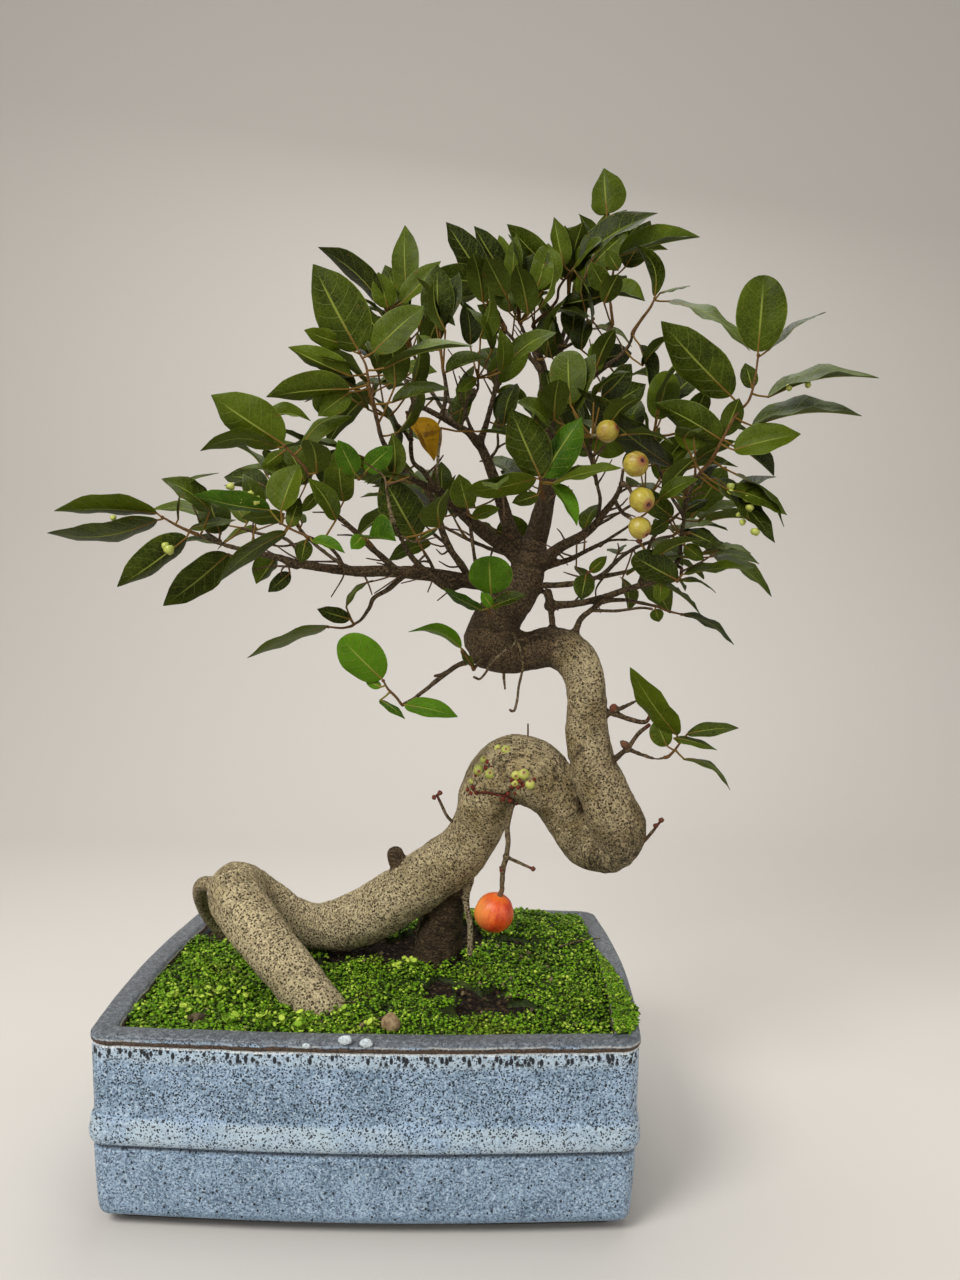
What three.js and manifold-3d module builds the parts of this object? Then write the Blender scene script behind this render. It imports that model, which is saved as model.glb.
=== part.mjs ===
// Cluster fig (Ficus racemosa) grown as a bonsai, in an oblong glazed pot.
// Millimetres, +Z up, the front of the tree faces -Y. Heights are drawn from a level 9 mm above the
// table, so that the rim is at 140, and the finished tree is set down on z = 0.
// The tree is drawn as it is seen from the front: a route point is [across, down, depth], where
// across and down are places in a front view 960 wide and 1280 high, and depth is the distance
// in millimetres behind the middle of the pot.
import * as THREE from 'three';
import { mergeVertices } from 'three/addons/utils/BufferGeometryUtils.js';
import Module from 'manifold-3d';

const wasm = await Module();
wasm.setup();

// Driving sizes
const POT_LENGTH = 414;
const POT_WIDTH = 316;
const POT_HEIGHT = 149;
const RIM_LEVEL = 140;
const POT_MIDDLE = { x: -2.5, y: 8 };
const POT_CORNER_RADIUS = 17;
const SIDE_BOW = 8;
const TABLE_LEVEL = RIM_LEVEL - POT_HEIGHT;
const FOOT_HEIGHT = 8.5;
const FOOT_OUTER_INSET = 22;
const FOOT_INNER_INSET = 45;
const FRONT_GAP = { from: -62, to: 75 };
const SIDE_GAP = { from: -45, to: 45 };
const DRAIN_HOLE = { x: 95, radius: 10 };
const INNER_FLOOR = 18;
const WALL = { rim: 18, surface: 20.2, floor: 26 };
const CLEARANCE = 0.3;
const ROOT_CLEARANCE = 0.4;
const MOSS_THICKNESS = 6;
const BLADE_THICKNESS = 0.8;
const PETIOLE_RADIUS = 0.85;
const ROOT_RADIUS = 0.45;
const SHOOT_TIP_RADIUS = 0.8;
const STEM_LEAD = 1.5;
const RIPE_FIG_RADIUS = 17;
const TRUNK_SIDES = 10;
const LIMB_RADIUS = 3.3;
const TWIG_TOLERANCE = 2;
const TWIG_ROOT_SHARE = 0.6;
const LONG_BLADE = 82;
const SHORT_BLADE = 52;

// The front view: where its eye stands, and how it looks at the tree
const EYE = new THREE.Vector3(79, -850, 453.5);
const FOCAL = 960;
const VIEW_CENTRE = { across: 480, down: 640 };
const PITCH = THREE.MathUtils.degToRad(1.5);
const ROLL = THREE.MathUtils.degToRad(0.8);
const VIEW_RIGHT = new THREE.Vector3(
  Math.cos(ROLL), Math.sin(ROLL) * Math.sin(PITCH), Math.sin(ROLL) * Math.cos(PITCH));
const VIEW_DOWN = new THREE.Vector3(
  Math.sin(ROLL), -Math.cos(ROLL) * Math.sin(PITCH), -Math.cos(ROLL) * Math.cos(PITCH));
const VIEW_FORWARD = new THREE.Vector3(0, Math.cos(PITCH), -Math.sin(PITCH));

// Pot wall from the outer foot line up to the rim: [level, distance out from the outline]
const POT_OUTSIDE = [
  [-1, -16], [5, -6], [52, -2.8], [55, -4.3], [57.5, -0.6], [65, 0.9], [74, -0.2], [78.5, -2.2],
  [128, -1.2], [131, -2.4], [133, -0.4], [137.5, 0], [RIM_LEVEL, -2.5],
];
const POT_INSIDE = [
  [RIM_LEVEL, -15], [138.5, -WALL.rim], [130, -20], [INNER_FLOOR, -WALL.floor],
];

// Trunk from the buried root at the front, round the low bend and the knot, up to the head:
// [across, down, depth, radius]
const TRUNK = [
  [336, 1038, -70, 22], [314, 1004, -68, 21.5], [294, 976, -61, 21.5], [272, 949, -49, 22],
  [252, 922, -35, 22.5], [238, 901, -20, 23.5], [234, 889, -2, 23.5], [248, 890, 18, 21.5],
  [270, 902, 33, 20], [294, 919, 41, 20], [322, 926, 46, 21.5], [363, 917, 42, 26.5],
  [414, 886, 30, 26.5], [458, 854, 20, 25.5], [480, 822, 13, 23.5], [490, 789, 6, 26.5],
  [510, 771, 2, 31.5], [532, 773, 0, 31], [554, 791, 2, 26.5], [570, 817, 6, 23],
  [586, 838, 4, 25], [608, 842, -6, 27], [618, 828, -16, 25], [607, 800, -24, 22.5],
  [594, 766, -22, 20], [587, 735, -18, 18.5], [587, 702, -12, 17], [584, 676, -6, 17.5],
  [572, 656, 0, 18.5], [552, 647, 6, 18.5], [530, 651, 12, 17.5], [508, 650, 18, 22],
  [492, 642, 22, 26], [497, 620, 24, 22], [512, 600, 23, 19], [524, 582, 22, 17],
  [530, 564, 21, 14.5], [533, 548, 20, 13],
];
// The trunk turns sharply at these points, where one stretch ends in the next
const TRUNK_ELBOWS = [6, 21, 32];

// Roots that leave the trunk and go down into the soil: [first radius, last radius, route]
const ROOTS = {
  back_root: [7, 6.5, [[222, 886, 4], [204, 884, 20], [200, 895, 40], [208, 915, 65],
    [228, 942, 87], [234, 968, 92]]],
  root_mass: [13, 23, [[450, 884, 28], [446, 911, 32], [440, 938, 35], [437, 964, 36]]],
  right_root: [3.5, 3, [[470, 880, 16], [466, 900, 14], [470, 925, 10], [470, 955, 10]]],
  inner_root: [5, 5, [[430, 895, 28], [424, 918, 40], [420, 945, 46], [420, 966, 46]]],
};

// Limbs, branches and twigs: [first radius, last radius, route]
const BRANCHES = {
  main_left: [8, 1.7, [[520, 584, 22], [492, 583, 16], [468, 581, 8], [440, 576, -2], [410, 573, -12],
    [386, 571, -18], [353, 571, -26], [305, 565, -36], [280, 558, -40], [250, 551, -44],
    [225, 545, -48], [196, 534, -52]]],
  left_low: [2.6, 1.3, [[405, 574, -12], [398, 581, -8], [387, 590, -2], [374, 598, 4],
    [369, 608, 8], [362, 619, 12], [353, 625, 14]]],
  grey_left: [4.2, 2, [[462, 582, 6], [448, 588, -8], [432, 577, -22], [420, 566, -34],
    [408, 552, -46], [398, 532, -58], [392, 520, -64]]],
  grey_tip: [1.9, 0.9, [[393, 522, -63], [389, 503, -70], [386, 483, -76]]],
  facing: [1.8, 1.2, [[436, 576, -4], [430, 562, -20], [424, 552, -32]]],
  arch: [8, 2.2, [[524, 562, 21], [508, 549, 20], [492, 538, 16], [476, 526, 10], [460, 511, 2],
    [446, 498, -6], [436, 489, -12], [424, 485, -18], [412, 479, -24], [400, 473, -30],
    [388, 464, -36]]],
  arch_fork: [2.6, 1.2, [[437, 490, -12], [424, 472, -22], [413, 462, -28], [411, 446, -30],
    [411, 432, -30], [408, 421, -28]]],
  fork_side: [1.8, 1.2, [[411, 440, -30], [403, 430, -34], [392, 420, -40], [386, 416, -44]]],
  cross: [3.2, 2.6, [[470, 579, 10], [462, 566, 0], [450, 549, -8], [442, 530, -14],
    [437, 510, -16], [428, 491, -16], [424, 485, -18]]],
  big_left: [2.4, 1.7, [[410, 478, -25], [401, 464, -36], [390, 452, -48], [382, 440, -58],
    [378, 424, -66]]],
  left_mid: [3, 1.6, [[400, 573, -15], [385, 560, -20], [368, 545, -26], [352, 529, -32],
    [336, 515, -38], [322, 503, -44], [314, 488, -50], [306, 470, -56]]],
  left_mid_low: [1.4, 1.1, [[330, 510, -41], [325, 503, -30], [322, 496, -24]]],
  bright_low: [1.6, 1.1, [[384, 559, -20], [378, 552, -40], [371, 545, -56]]],
  left_far: [1.8, 1.2, [[305, 565, -36], [297, 550, -18], [284, 538, -8], [262, 534, -2],
    [242, 528, 4]]],
  left_centre: [1.7, 1.2, [[345, 571, -27], [338, 556, -44], [325, 544, -56], [309, 537, -64]]],
  left_round: [1.4, 1.1, [[228, 546, -47], [222, 544, -36], [220, 540, -30]]],
  left_under: [1.6, 1.2, [[262, 553, -42], [248, 556, -34], [236, 556, -28]]],
  left_hang: [1.5, 1.1, [[303, 565, -36], [297, 568, -26], [290, 566, -20]]],
  centre_left: [8, 4.2, [[528, 560, 21], [514, 540, 22], [507, 520, 24], [502, 503, 26],
    [496, 485, 28], [491, 470, 28], [485, 455, 26], [478, 441, 24]]],
  upper_left: [4, 1.8, [[479, 444, 24], [468, 432, 16], [455, 425, 10], [441, 417, 4],
    [428, 410, 2], [416, 404, 0], [408, 388, 4], [402, 370, 8]]],
  mid_top_left: [2, 1.4, [[441, 417, 4], [445, 403, -2], [446, 388, -8], [443, 370, -12]]],
  rise: [3.4, 2, [[479, 444, 24], [485, 428, 28], [490, 410, 32], [495, 390, 36],
    [498, 368, 38], [503, 345, 40], [505, 330, 40]]],
  curl_twig: [1.8, 1.1, [[472, 432, 20], [466, 414, 10], [467, 400, 4], [477, 391, -2],
    [478, 378, -6]]],
  dark_twig: [1.6, 0.9, [[488, 462, 27], [497, 448, 10], [498, 432, 2], [498, 418, -2]]],
  dark_spur: [1.1, 0.8, [[497, 448, 10], [504, 444, 8], [510, 442, 6]]],
  dead_up: [1.5, 0.9, [[440, 493, -9], [437, 475, -34], [439, 450, -48], [441, 428, -56]]],
  hang_link: [1.6, 1.6, [[470, 520, 8], [472, 540, -4], [475, 560, 4], [478, 578, 14]]],
  red_twig: [1.4, 1.2, [[452, 502, -1], [456, 500, -10], [470, 496, -15], [495, 495, -26],
    [513, 489, -34]]],
  main_up: [12, 6, [[531, 560, 20], [534, 545, 24], [541, 520, 34], [546, 495, 42],
    [549, 465, 48], [549, 440, 50], [549, 418, 50]]],
  front_stem: [6, 2.6, [[536, 545, 22], [540, 525, 4], [544, 508, -24], [543, 496, -48]]],
  up_left: [4.6, 2.2, [[549, 430, 50], [545, 400, 50], [541, 372, 48], [534, 352, 44],
    [526, 338, 40], [520, 322, 36]]],
  up_mid: [3.2, 2, [[548, 402, 50], [545, 372, 54], [538, 348, 56], [534, 326, 56]]],
  up_right: [3, 1.8, [[553, 405, 50], [556, 380, 54], [558, 355, 58], [563, 335, 62],
    [568, 318, 66]]],
  side_twig: [1.8, 1.2, [[559, 350, 59], [573, 343, 48], [586, 337, 44], [590, 328, 44]]],
  right_arm: [4, 2, [[552, 412, 50], [570, 397, 46], [590, 379, 40], [605, 367, 34],
    [620, 356, 28], [629, 345, 24], [633, 333, 20]]],
  arm_leaf: [1.4, 1.1, [[592, 377, 40], [596, 372, 32]]],
  twig_up: [2, 1.5, [[596, 374, 39], [601, 358, 38], [606, 342, 36], [612, 325, 34]]],
  right_front: [6.5, 2.4, [[530, 566, 20], [548, 556, 6], [562, 546, -8], [578, 538, -18],
    [592, 528, -28], [603, 514, -38], [614, 500, -48], [622, 484, -58]]],
  right_blunt: [3.4, 1.4, [[545, 566, 16], [568, 560, 4], [590, 549, -10], [608, 541, -24],
    [625, 540, -34], [639, 541, -42]]],
  right_blunt_fork: [1.6, 1, [[600, 545, -18], [620, 532, -30], [637, 520, -40]]],
  right_middle: [3, 1.6, [[528, 586, 20], [570, 584, 8], [600, 577, -2], [631, 571, -10]]],
  right_low_arm: [4, 1.9, [[548, 606, 20], [580, 603, 10], [608, 596, 0], [630, 588, -8],
    [651, 583, -16], [668, 569, -22], [679, 560, -26], [681, 540, -30], [684, 516, -32],
    [686, 494, -34]]],
  right_rise: [1.9, 1.5, [[685, 505, -34], [692, 486, -44], [701, 472, -52]]],
  low_spur: [1.6, 1.3, [[673, 565, -24], [681, 568, -38], [681, 574, -44]]],
  right_side: [1.4, 1.1, [[682, 533, -30], [686, 533, -38]]],
  right_riser: [3.4, 2.6, [[573, 640, 4], [580, 620, 2], [590, 611, 0], [603, 601, 0], [608, 596, 0]]],
  right_under: [2, 1.3, [[603, 601, 0], [625, 600, 6], [640, 603, 8], [655, 606, 10]]],
  right_bare: [1.5, 1.1, [[590, 610, 0], [615, 611, -6], [640, 608, -10], [652, 609, -12]]],
  right_inner: [2, 1.4, [[640, 585, -13], [646, 560, -12], [652, 540, -12], [664, 526, -14],
    [675, 517, -16]]],
  right_up_round: [1.6, 1.1, [[684, 516, -32], [668, 490, -10], [656, 460, -4], [653, 436, -8]]],
  middle_spur: [1.5, 1.2, [[585, 581, 4], [586, 576, -8]]],
  centre_right: [1.8, 1.3, [[598, 520, -36], [600, 500, -26], [597, 484, -20], [595, 470, -18]]],
  inner_left: [1.6, 1.2, [[462, 514, 3], [465, 513, -8], [467, 514, -16]]],
  back_mid: [1.8, 1.2, [[528, 568, 30], [520, 555, 60], [514, 548, 80]]],
  centre_up_back: [1.8, 1.2, [[495, 388, 34], [500, 384, 46]]],
  side_first: [3.4, 1.6, [[600, 716, -14], [612, 712, -22], [626, 706, -28], [640, 699, -32]]],
  side_first_fork: [2.4, 1.6, [[614, 713, -22], [630, 719, -26], [645, 722, -30], [650, 716, -34]]],
  side_second: [3.6, 1.5, [[604, 766, -24], [616, 758, -36], [627, 750, -42], [640, 754, -46],
    [656, 759, -50], [666, 757, -54]]],
  side_second_fork: [2, 1.5, [[627, 750, -42], [632, 742, -42], [640, 732, -40], [649, 725, -36]]],
  low_twig: [2.6, 1.4, [[478, 660, 10], [461, 664, -6], [445, 674, -18], [428, 688, -30],
    [415, 698, -38], [404, 704, -44]]],
  low_twig_stub: [1.8, 1.2, [[446, 673, -17], [440, 675, -22], [435, 676, -26]]],
  head_spur: [2.4, 1.8, [[493, 634, 6], [490, 620, -14], [489, 612, -20]]],
  curl_spur: [1.8, 1.4, [[484, 658, 8], [477, 665, -8], [474, 669, -14]]],
  cut_stub: [9, 8, [[408, 872, 30], [398, 862, 30], [395, 853, 30]]],
  hook: [1.6, 1.2, [[456, 825, 10], [447, 816, 6], [441, 804, 4], [437, 795, 2]]],
  spike: [1, 0.7, [[528, 750, 0], [528, 733, 0], [528, 724, 0]]],
  fruit_twig: [2.6, 2.2, [[515, 800, -12], [510, 812, -22], [507, 828, -26], [508, 845, -26],
    [506, 857, -26], [503, 868, -26], [502, 880, -26], [502, 889, -24]]],
  fruit_twig_fork: [1.8, 1.2, [[505, 856, -23], [518, 862, -28], [533, 869, -30]]],
  red_tip_stub: [1.8, 1.2, [[630, 848, -14], [643, 842, -22], [652, 832, -28], [660, 822, -30]]],
  air_root_right: [1.1, 1.1, [[508, 628, 18], [517, 641, -6], [522, 655, -7], [523, 668, -3],
    [519, 685, 2], [517, 700, 2], [514, 711, 0], [510, 710, -2]]],
  air_root_left: [1.1, 1.1, [[508, 628, 18], [516, 641, -8], [503, 652, -8], [490, 664, -6],
    [486, 672, -4], [480, 679, -2], [474, 677, -2]]],
  air_root_side: [1.1, 1.1, [[508, 628, 18], [519, 640, -6], [535, 635, -8], [548, 638, -10],
    [557, 645, -8]]],
  head_spike: [1.8, 0.8, [[504, 662, 16], [504, 676, 16], [505, 689, 16]]],
  strut: [3.4, 3.2, [[548, 592, 18], [551, 610, 14], [553, 632, 10]]],
  fig_twig_high: [1.5, 1.3, [[597, 484, -20], [592, 462, -40], [590, 446, -56], [592, 437, -64]]],
  fig_twig_low: [2.2, 1.4, [[622, 484, -58], [628, 486, -66], [631, 492, -72]]],
  fig_twig_side: [1.5, 1.3, [[621, 486, -57], [622, 477, -62], [623, 471, -67]]],
  fig_twig_under: [1.8, 1.4, [[614, 500, -48], [622, 512, -60], [630, 518, -70]]],
  twig_back_left: [2.2, 1.4, [[455, 425, 10], [440, 405, 50], [425, 380, 80], [412, 350, 100]]],
  twig_back_up: [2.2, 1.4, [[541, 372, 48], [525, 352, 84], [505, 330, 110], [490, 308, 124]]],
  twig_back_top: [2, 1.4, [[558, 355, 58], [570, 335, 90], [585, 310, 116], [598, 290, 130]]],
  twig_back_right: [2.2, 1.4, [[532, 560, 22], [556, 548, 60], [590, 530, 90], [620, 512, 112],
    [645, 498, 124]]],
  twig_back_low: [2.4, 1.4, [[530, 566, 24], [512, 556, 64], [480, 545, 100], [450, 530, 126],
    [425, 515, 140]]],
  twig_back_far_left: [2, 1.4, [[353, 571, -26], [330, 556, 30], [305, 535, 60], [290, 515, 84]]],
  twig_back_centre: [2.2, 1.4, [[540, 520, 34], [545, 500, 90], [548, 480, 130], [546, 455, 160]]],
  twig_back_side: [2.2, 1.4, [[600, 577, -2], [628, 552, 40], [655, 540, 66], [672, 536, 84]]],
};

// Young figs that sit on the trunk: [across, down, radius]. Knobs on twigs have a depth too.
const BURRS = {
  young_figs: [
    [500, 747, 4.2], [508, 750, 3.8], [484, 758, 4.2], [481, 769, 4], [490, 774, 4.4],
    [517, 774, 4.4], [524, 772, 3.8], [530, 782, 4.2], [516, 782, 4.2],
  ],
  crater: [[499, 768, 7]],
  knobs: [[614, 708, -22, 4], [625, 745, -42, 4.2], [502, 869, -25, 3]],
};
const BURR_SINK = 0.3;

// Leafy shoots. A shoot grows on the end of its twig, along its stem. A leaf is
// [base across, down, depth, tip across, down, depth, half width left, half width right, bend],
// with the widths and the bend as seen in the front view, left and right of base to tip.
const SHOOTS = {
  left_tip: { twig: 'main_left', stem: [[178, 526, -58], [164, 518, -62]], leaves: [
    [157, 513, -62, 54, 511, -78, 2, 13, -6], [157, 520, -57, 47, 533, -66, 3, 10, 6],
    [187, 537, -56, 117, 587, -66, 4, 18, 0], [178, 520, -58, 219, 473, -64, 6, 6, 15],
    [190, 529, -52, 236, 520, -46, 6, 6, 0]] },
  left_round: { twig: 'left_round', stem: [[220, 535, -28]], leaves: [
    [220, 533, -28, 209, 499, -24, 17, 17, 0, 'round']] },
  left_under: { twig: 'left_under', stem: [[230, 555, -26]], leaves: [
    [228, 554, -26, 163, 606, -30, 13, 15, 0]] },
  left_hang: { twig: 'left_hang', stem: [[280, 560, -14]], leaves: [
    [290, 573, -14, 268, 592, -18, 8, 7, 0], [276, 556, -14, 256, 584, -12, 3, 16, 0, 'under']] },
  left_centre: { twig: 'left_centre', stem: [[293, 530, -68], [282, 524, -70]], leaves: [
    [281, 511, -66, 299, 464, -60, 22, 15, 0, 'under'], [270, 510, -74, 193, 495, -90, 3, 14, 0],
    [284, 514, -60, 241, 518, -50, 7, 6, 0, 'under'], [312, 541, -66, 345, 553, -74, 10, 2, 0],
    [306, 540, -64, 301, 563, -60, 9, 9, 0], [290, 527, -66, 300, 497, -60, 8, 8, 0],
    [286, 532, -74, 217, 583, -84, 4, 5, -8]] },
  left_mid: { twig: 'left_mid', stem: [[296, 458, -60], [286, 447, -64]], leaves: [
    [283, 444, -64, 211, 395, -74, 19, 27, 0], [277, 447, -60, 200, 451, -66, 5, 6, -13],
    [283, 452, -60, 262, 467, -56, 6, 7, 0], [301, 449, -62, 352, 416, -54, 8, 14, 9],
    [262, 421, -58, 311, 421, -52, 12, 4, 6]] },
  left_mid_low: { twig: 'left_mid_low', stem: [[321, 489, -19]], leaves: [
    [323, 484, -22, 341, 448, -14, 15, 14, 0], [320, 492, -18, 350, 474, -12, 8, 8, 0],
    [318, 493, -16, 302, 512, -8, 6, 6, 0]] },
  bright_pair: { twig: 'arch', stem: [[374, 468, -44], [360, 478, -52]], leaves: [
    [355, 474, -56, 338, 440, -70, 12, 12, 0], [366, 471, -56, 393, 446, -70, 12, 12, 0]] },
  bright_low: { twig: 'bright_low', stem: [[366, 540, -62]], leaves: [
    [369, 538, -64, 396, 541, -84, 24, 1, 0], [363, 536, -62, 351, 549, -70, 8, 8, 0]] },
  facing: { twig: 'facing', stem: [[418, 541, -38]], leaves: [
    [417, 538, -38, 382, 476, -48, 22, 22, 0], [419, 539, -38, 438, 529, -40, 4, 4, 0]] },
  big_left: { twig: 'big_left', stem: [[374, 404, -74], [369, 384, -80], [366, 366, -84],
    [360, 354, -86]], leaves: [
    [358, 350, -86, 313, 264, -96, 22, 31, 0], [374, 352, -84, 424, 306, -92, 20, 18, 0],
    [384, 368, -88, 473, 346, -104, 15, 2, 3], [392, 402, -82, 449, 389, -96, 14, 3, 0],
    [350, 376, -86, 288, 347, -92, 4, 16, 0], [350, 389, -84, 266, 397, -90, 3, 17, -4],
    [345, 345, -78, 304, 330, -76, 8, 8, 0], [326, 392, -74, 320, 415, -70, 12, 10, 0],
    [350, 392, -78, 318, 416, -74, 12, 12, 0]] },
  upper_left: { twig: 'upper_left', stem: [[397, 350, 12], [390, 326, 14], [386, 310, 14]], leaves: [
    [383, 305, 14, 318, 247, 6, 4, 12, -8], [402, 303, 12, 441, 261, 4, 14, 9, -2],
    [407, 295, 20, 405, 225, 24, 14, 15, 0], [388, 308, 10, 378, 272, 4, 12, 12, 0],
    [396, 330, 6, 426, 307, -4, 14, 12, 0], [404, 365, 6, 437, 372, 0, 8, 8, 0]] },
  mid_top_left: { twig: 'mid_top_left', stem: [[441, 350, -14], [440, 332, -16]], leaves: [
    [438, 325, -16, 437, 264, -20, 17, 17, 0], [442, 326, -14, 459, 272, -8, 12, 12, 0],
    [446, 372, -14, 487, 358, -26, 14, 3, 0], [436, 350, -12, 416, 336, -6, 7, 7, 0]] },
  rise: { twig: 'rise', stem: [[497, 312, 38], [489, 296, 36], [485, 284, 34]], leaves: [
    [484, 279, 34, 446, 222, 26, 9, 17, 0], [483, 283, 36, 427, 277, 30, 16, 14, 0],
    [502, 272, 40, 474, 226, 34, 4, 14, 0], [500, 318, 34, 477, 305, 28, 7, 7, 0, 'under'],
    [500, 330, 34, 481, 325, 28, 8, 8, 0], [489, 292, 38, 506, 298, 40, 8, 8, 0]] },
  curl_twig: { twig: 'curl_twig', stem: [[477, 372, -8]], leaves: [
    [476, 378, -8, 457, 392, -12, 6, 5, 0]] },
  centre_up_back: { twig: 'centre_up_back', stem: [[496, 382, 54]], leaves: [
    [488, 378, 50, 530, 352, 48, 14, 14, 0], [497, 392, 50, 530, 405, 48, 12, 3, 0]] },
  top_left: { twig: 'up_left', stem: [[518, 306, 34], [517, 292, 32]], leaves: [
    [520, 289, 32, 549, 253, 24, 16, 10, 0], [514, 290, 28, 486, 275, 16, 12, 5, 0],
    [513, 282, 30, 516, 235, 22, 9, 9, 0], [509, 280, 40, 499, 235, 54, 8, 8, 0],
    [524, 312, 38, 541, 285, 44, 13, 10, 0]] },
  top_middle: { twig: 'up_mid', stem: [[548, 311, 50], [557, 300, 46], [559, 288, 42],
    [568, 275, 36], [576, 265, 32]], leaves: [
    [554, 272, 40, 507, 224, 34, 6, 12, 0], [564, 266, 34, 554, 217, 28, 6, 12, 0],
    [580, 260, 30, 658, 213, 16, 20, 9, 2], [577, 262, 40, 585, 222, 46, 11, 10, 0],
    [576, 272, 20, 591, 325, 4, 3, 4, 5], [554, 309, 44, 590, 317, 22, 7, 6, 0]] },
  leader: { twig: 'up_right', stem: [[580, 288, 74], [594, 255, 80], [605, 222, 84]], leaves: [
    [607, 214, 84, 604, 168, 86, 12, 21, 0], [596, 250, 84, 566, 228, 96, 12, 12, 0],
    [590, 268, 80, 628, 232, 100, 14, 14, 0], [585, 280, 76, 560, 250, 100, 13, 13, 0]] },
  twig_up: { twig: 'twig_up', stem: [[611, 308, 30], [610, 297, 28], [612, 278, 24],
    [616, 262, 20]], leaves: [
    [607, 295, 30, 559, 305, 44, 4, 13, 0], [613, 294, 26, 645, 301, 18, 18, 4, 0],
    [619, 256, 22, 700, 237, 24, 20, 3, 0], [606, 290, 22, 590, 262, 14, 11, 9, 0],
    [618, 270, 18, 606, 250, 12, 8, 8, 0]] },
  side_twig: { twig: 'side_twig', stem: [[593, 320, 46]], leaves: [
    [597, 326, 50, 632, 347, 60, 6, 5, 4]] },
  arm_leaf: { twig: 'arm_leaf', stem: [[597, 370, 28]], leaves: [
    [598, 372, 30, 592, 343, 26, 8, 8, 0], [595, 368, 30, 568, 361, 24, 5, 5, 0]] },
  right_arm: { twig: 'right_arm', stem: [[641, 320, 16], [650, 308, 12], [654, 300, 10]], leaves: [
    [655, 296, 10, 635, 244, 2, 3, 7, -11], [660, 293, 8, 690, 286, 0, 2, 4, 0],
    [669, 301, 8, 750, 351, -6, 15, 12, 6], [640, 345, 8, 650, 390, 2, 14, 3, 0]] },
  long_right: { twig: 'right_rise', stem: [[712, 460, -58], [722, 440, -64], [736, 415, -70],
    [749, 400, -74], [755, 378, -78], [758, 357, -80]], leaves: [
    [758, 352, -80, 764, 275, -88, 25, 23, 0, 'round'], [768, 350, -78, 826, 312, -70, 6, 3, 2],
    [731, 396, -76, 661, 321, -84, 15, 20, 0], [752, 388, -72, 745, 363, -66, 9, 9, 0],
    [768, 397, -74, 879, 378, -90, 17, 3, 6], [752, 426, -66, 862, 416, -80, 20, 2, 5],
    [734, 450, -66, 801, 434, -84, 19, 13, 0], [746, 451, -62, 774, 476, -56, 14, 4, 0, 'under'],
    [723, 441, -62, 655, 403, -50, 8, 17, -3], [736, 474, -60, 784, 527, -50, 7, 4, 6]] },
  galled_right: { twig: 'right_low_arm', stem: [[690, 486, -36], [695, 476, -40],
    [695, 454, -42]], leaves: [
    [695, 450, -42, 690, 402, -38, 15, 20, 0], [718, 479, -50, 775, 543, -66, 17, 13, 0],
    [672, 466, -50, 577, 387, -62, 8, 8, 0]] },
  right_up_round: { twig: 'right_up_round', stem: [[655, 428, -16]], leaves: [
    [657, 419, -24, 669, 371, -20, 16, 16, 0, 'round']] },
  right_side: { twig: 'right_side', stem: [[688, 533, -44]], leaves: [
    [688, 532, -38, 718, 546, -44, 8, 9, 0], [684, 546, -34, 704, 560, -30, 8, 8, 0]] },
  low_spur: { twig: 'low_spur', stem: [[678, 580, -48]], leaves: [
    [677, 580, -48, 633, 556, -58, 12, 17, 0, 'round'], [684, 574, -46, 755, 568, -56, 9, 3, 0],
    [680, 580, -44, 716, 593, -38, 3, 3, 4], [661, 583, -40, 659, 603, -36, 9, 8, 0]] },
  right_under: { twig: 'right_under', stem: [[668, 611, 8], [680, 614, 6]], leaves: [
    [682, 614, 6, 734, 645, -4, 7, 5, 4], [655, 609, 10, 659, 622, 14, 7, 7, 0]] },
  side_low: { twig: 'side_second', stem: [[674, 751, -60], [680, 743, -66]], leaves: [
    [677, 735, -68, 630, 667, -80, 10, 12, 0], [687, 734, -72, 739, 728, -82, 7, 5, 0],
    [667, 746, -60, 656, 721, -54, 12, 10, 0, 'round'], [674, 738, -72, 717, 750, -82, 4, 4, 0],
    [684, 759, -66, 730, 790, -76, 3, 4, 8]] },
  low_twig: { twig: 'low_twig', stem: [[396, 697, -48], [388, 689, -50], [384, 682, -52]], leaves: [
    [382, 679, -52, 341, 638, -62, 20, 23, 0, 'round'], [381, 687, -50, 365, 680, -44, 5, 5, 0],
    [380, 700, -46, 405, 719, -56, 3, 4, 0], [405, 705, -46, 458, 717, -56, 11, 7, 0]] },
  curl_spur: { twig: 'curl_spur', stem: [[470, 662, -20], [463, 652, -26]], leaves: [
    [473, 667, -16, 461, 647, -26, 4, 4, 0], [461, 648, -26, 408, 632, -44, 3, 9, -11]] },
  head_spur: { twig: 'head_spur', stem: [[489, 606, -24]], leaves: [
    [491, 594, -26, 489, 556, -34, 21, 23, 0, 'round'], [492, 607, -28, 527, 595, -40, 9, 4, 0],
    [492, 607, -28, 481, 592, -34, 6, 6, 0], [482, 610, -26, 443, 588, -34, 5, 6, 0]] },
  left_low: { twig: 'left_low', stem: [[342, 628, 14], [330, 627, 12]], leaves: [
    [328, 626, 12, 247, 658, 4, 3, 6, -5], [350, 619, 8, 317, 609, 0, 8, 8, 0, 'under'],
    [346, 607, 16, 373, 580, 24, 4, 4, 4]] },
  centre_front: { twig: 'front_stem', stem: [[541, 486, -64], [540, 478, -72]], leaves: [
    [540, 476, -74, 511, 409, -88, 17, 24, 0], [543, 477, -72, 582, 417, -80, 14, 20, 0],
    [536, 478, -70, 462, 492, -54, 9, 9, 0], [553, 483, -72, 622, 468, -98, 11, 6, 0],
    [552, 484, -70, 577, 526, -76, 13, 4, 0], [538, 495, -62, 512, 503, -48, 7, 7, 0]] },
  centre_right: { twig: 'centre_right', stem: [[594, 456, -18]], leaves: [
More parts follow.
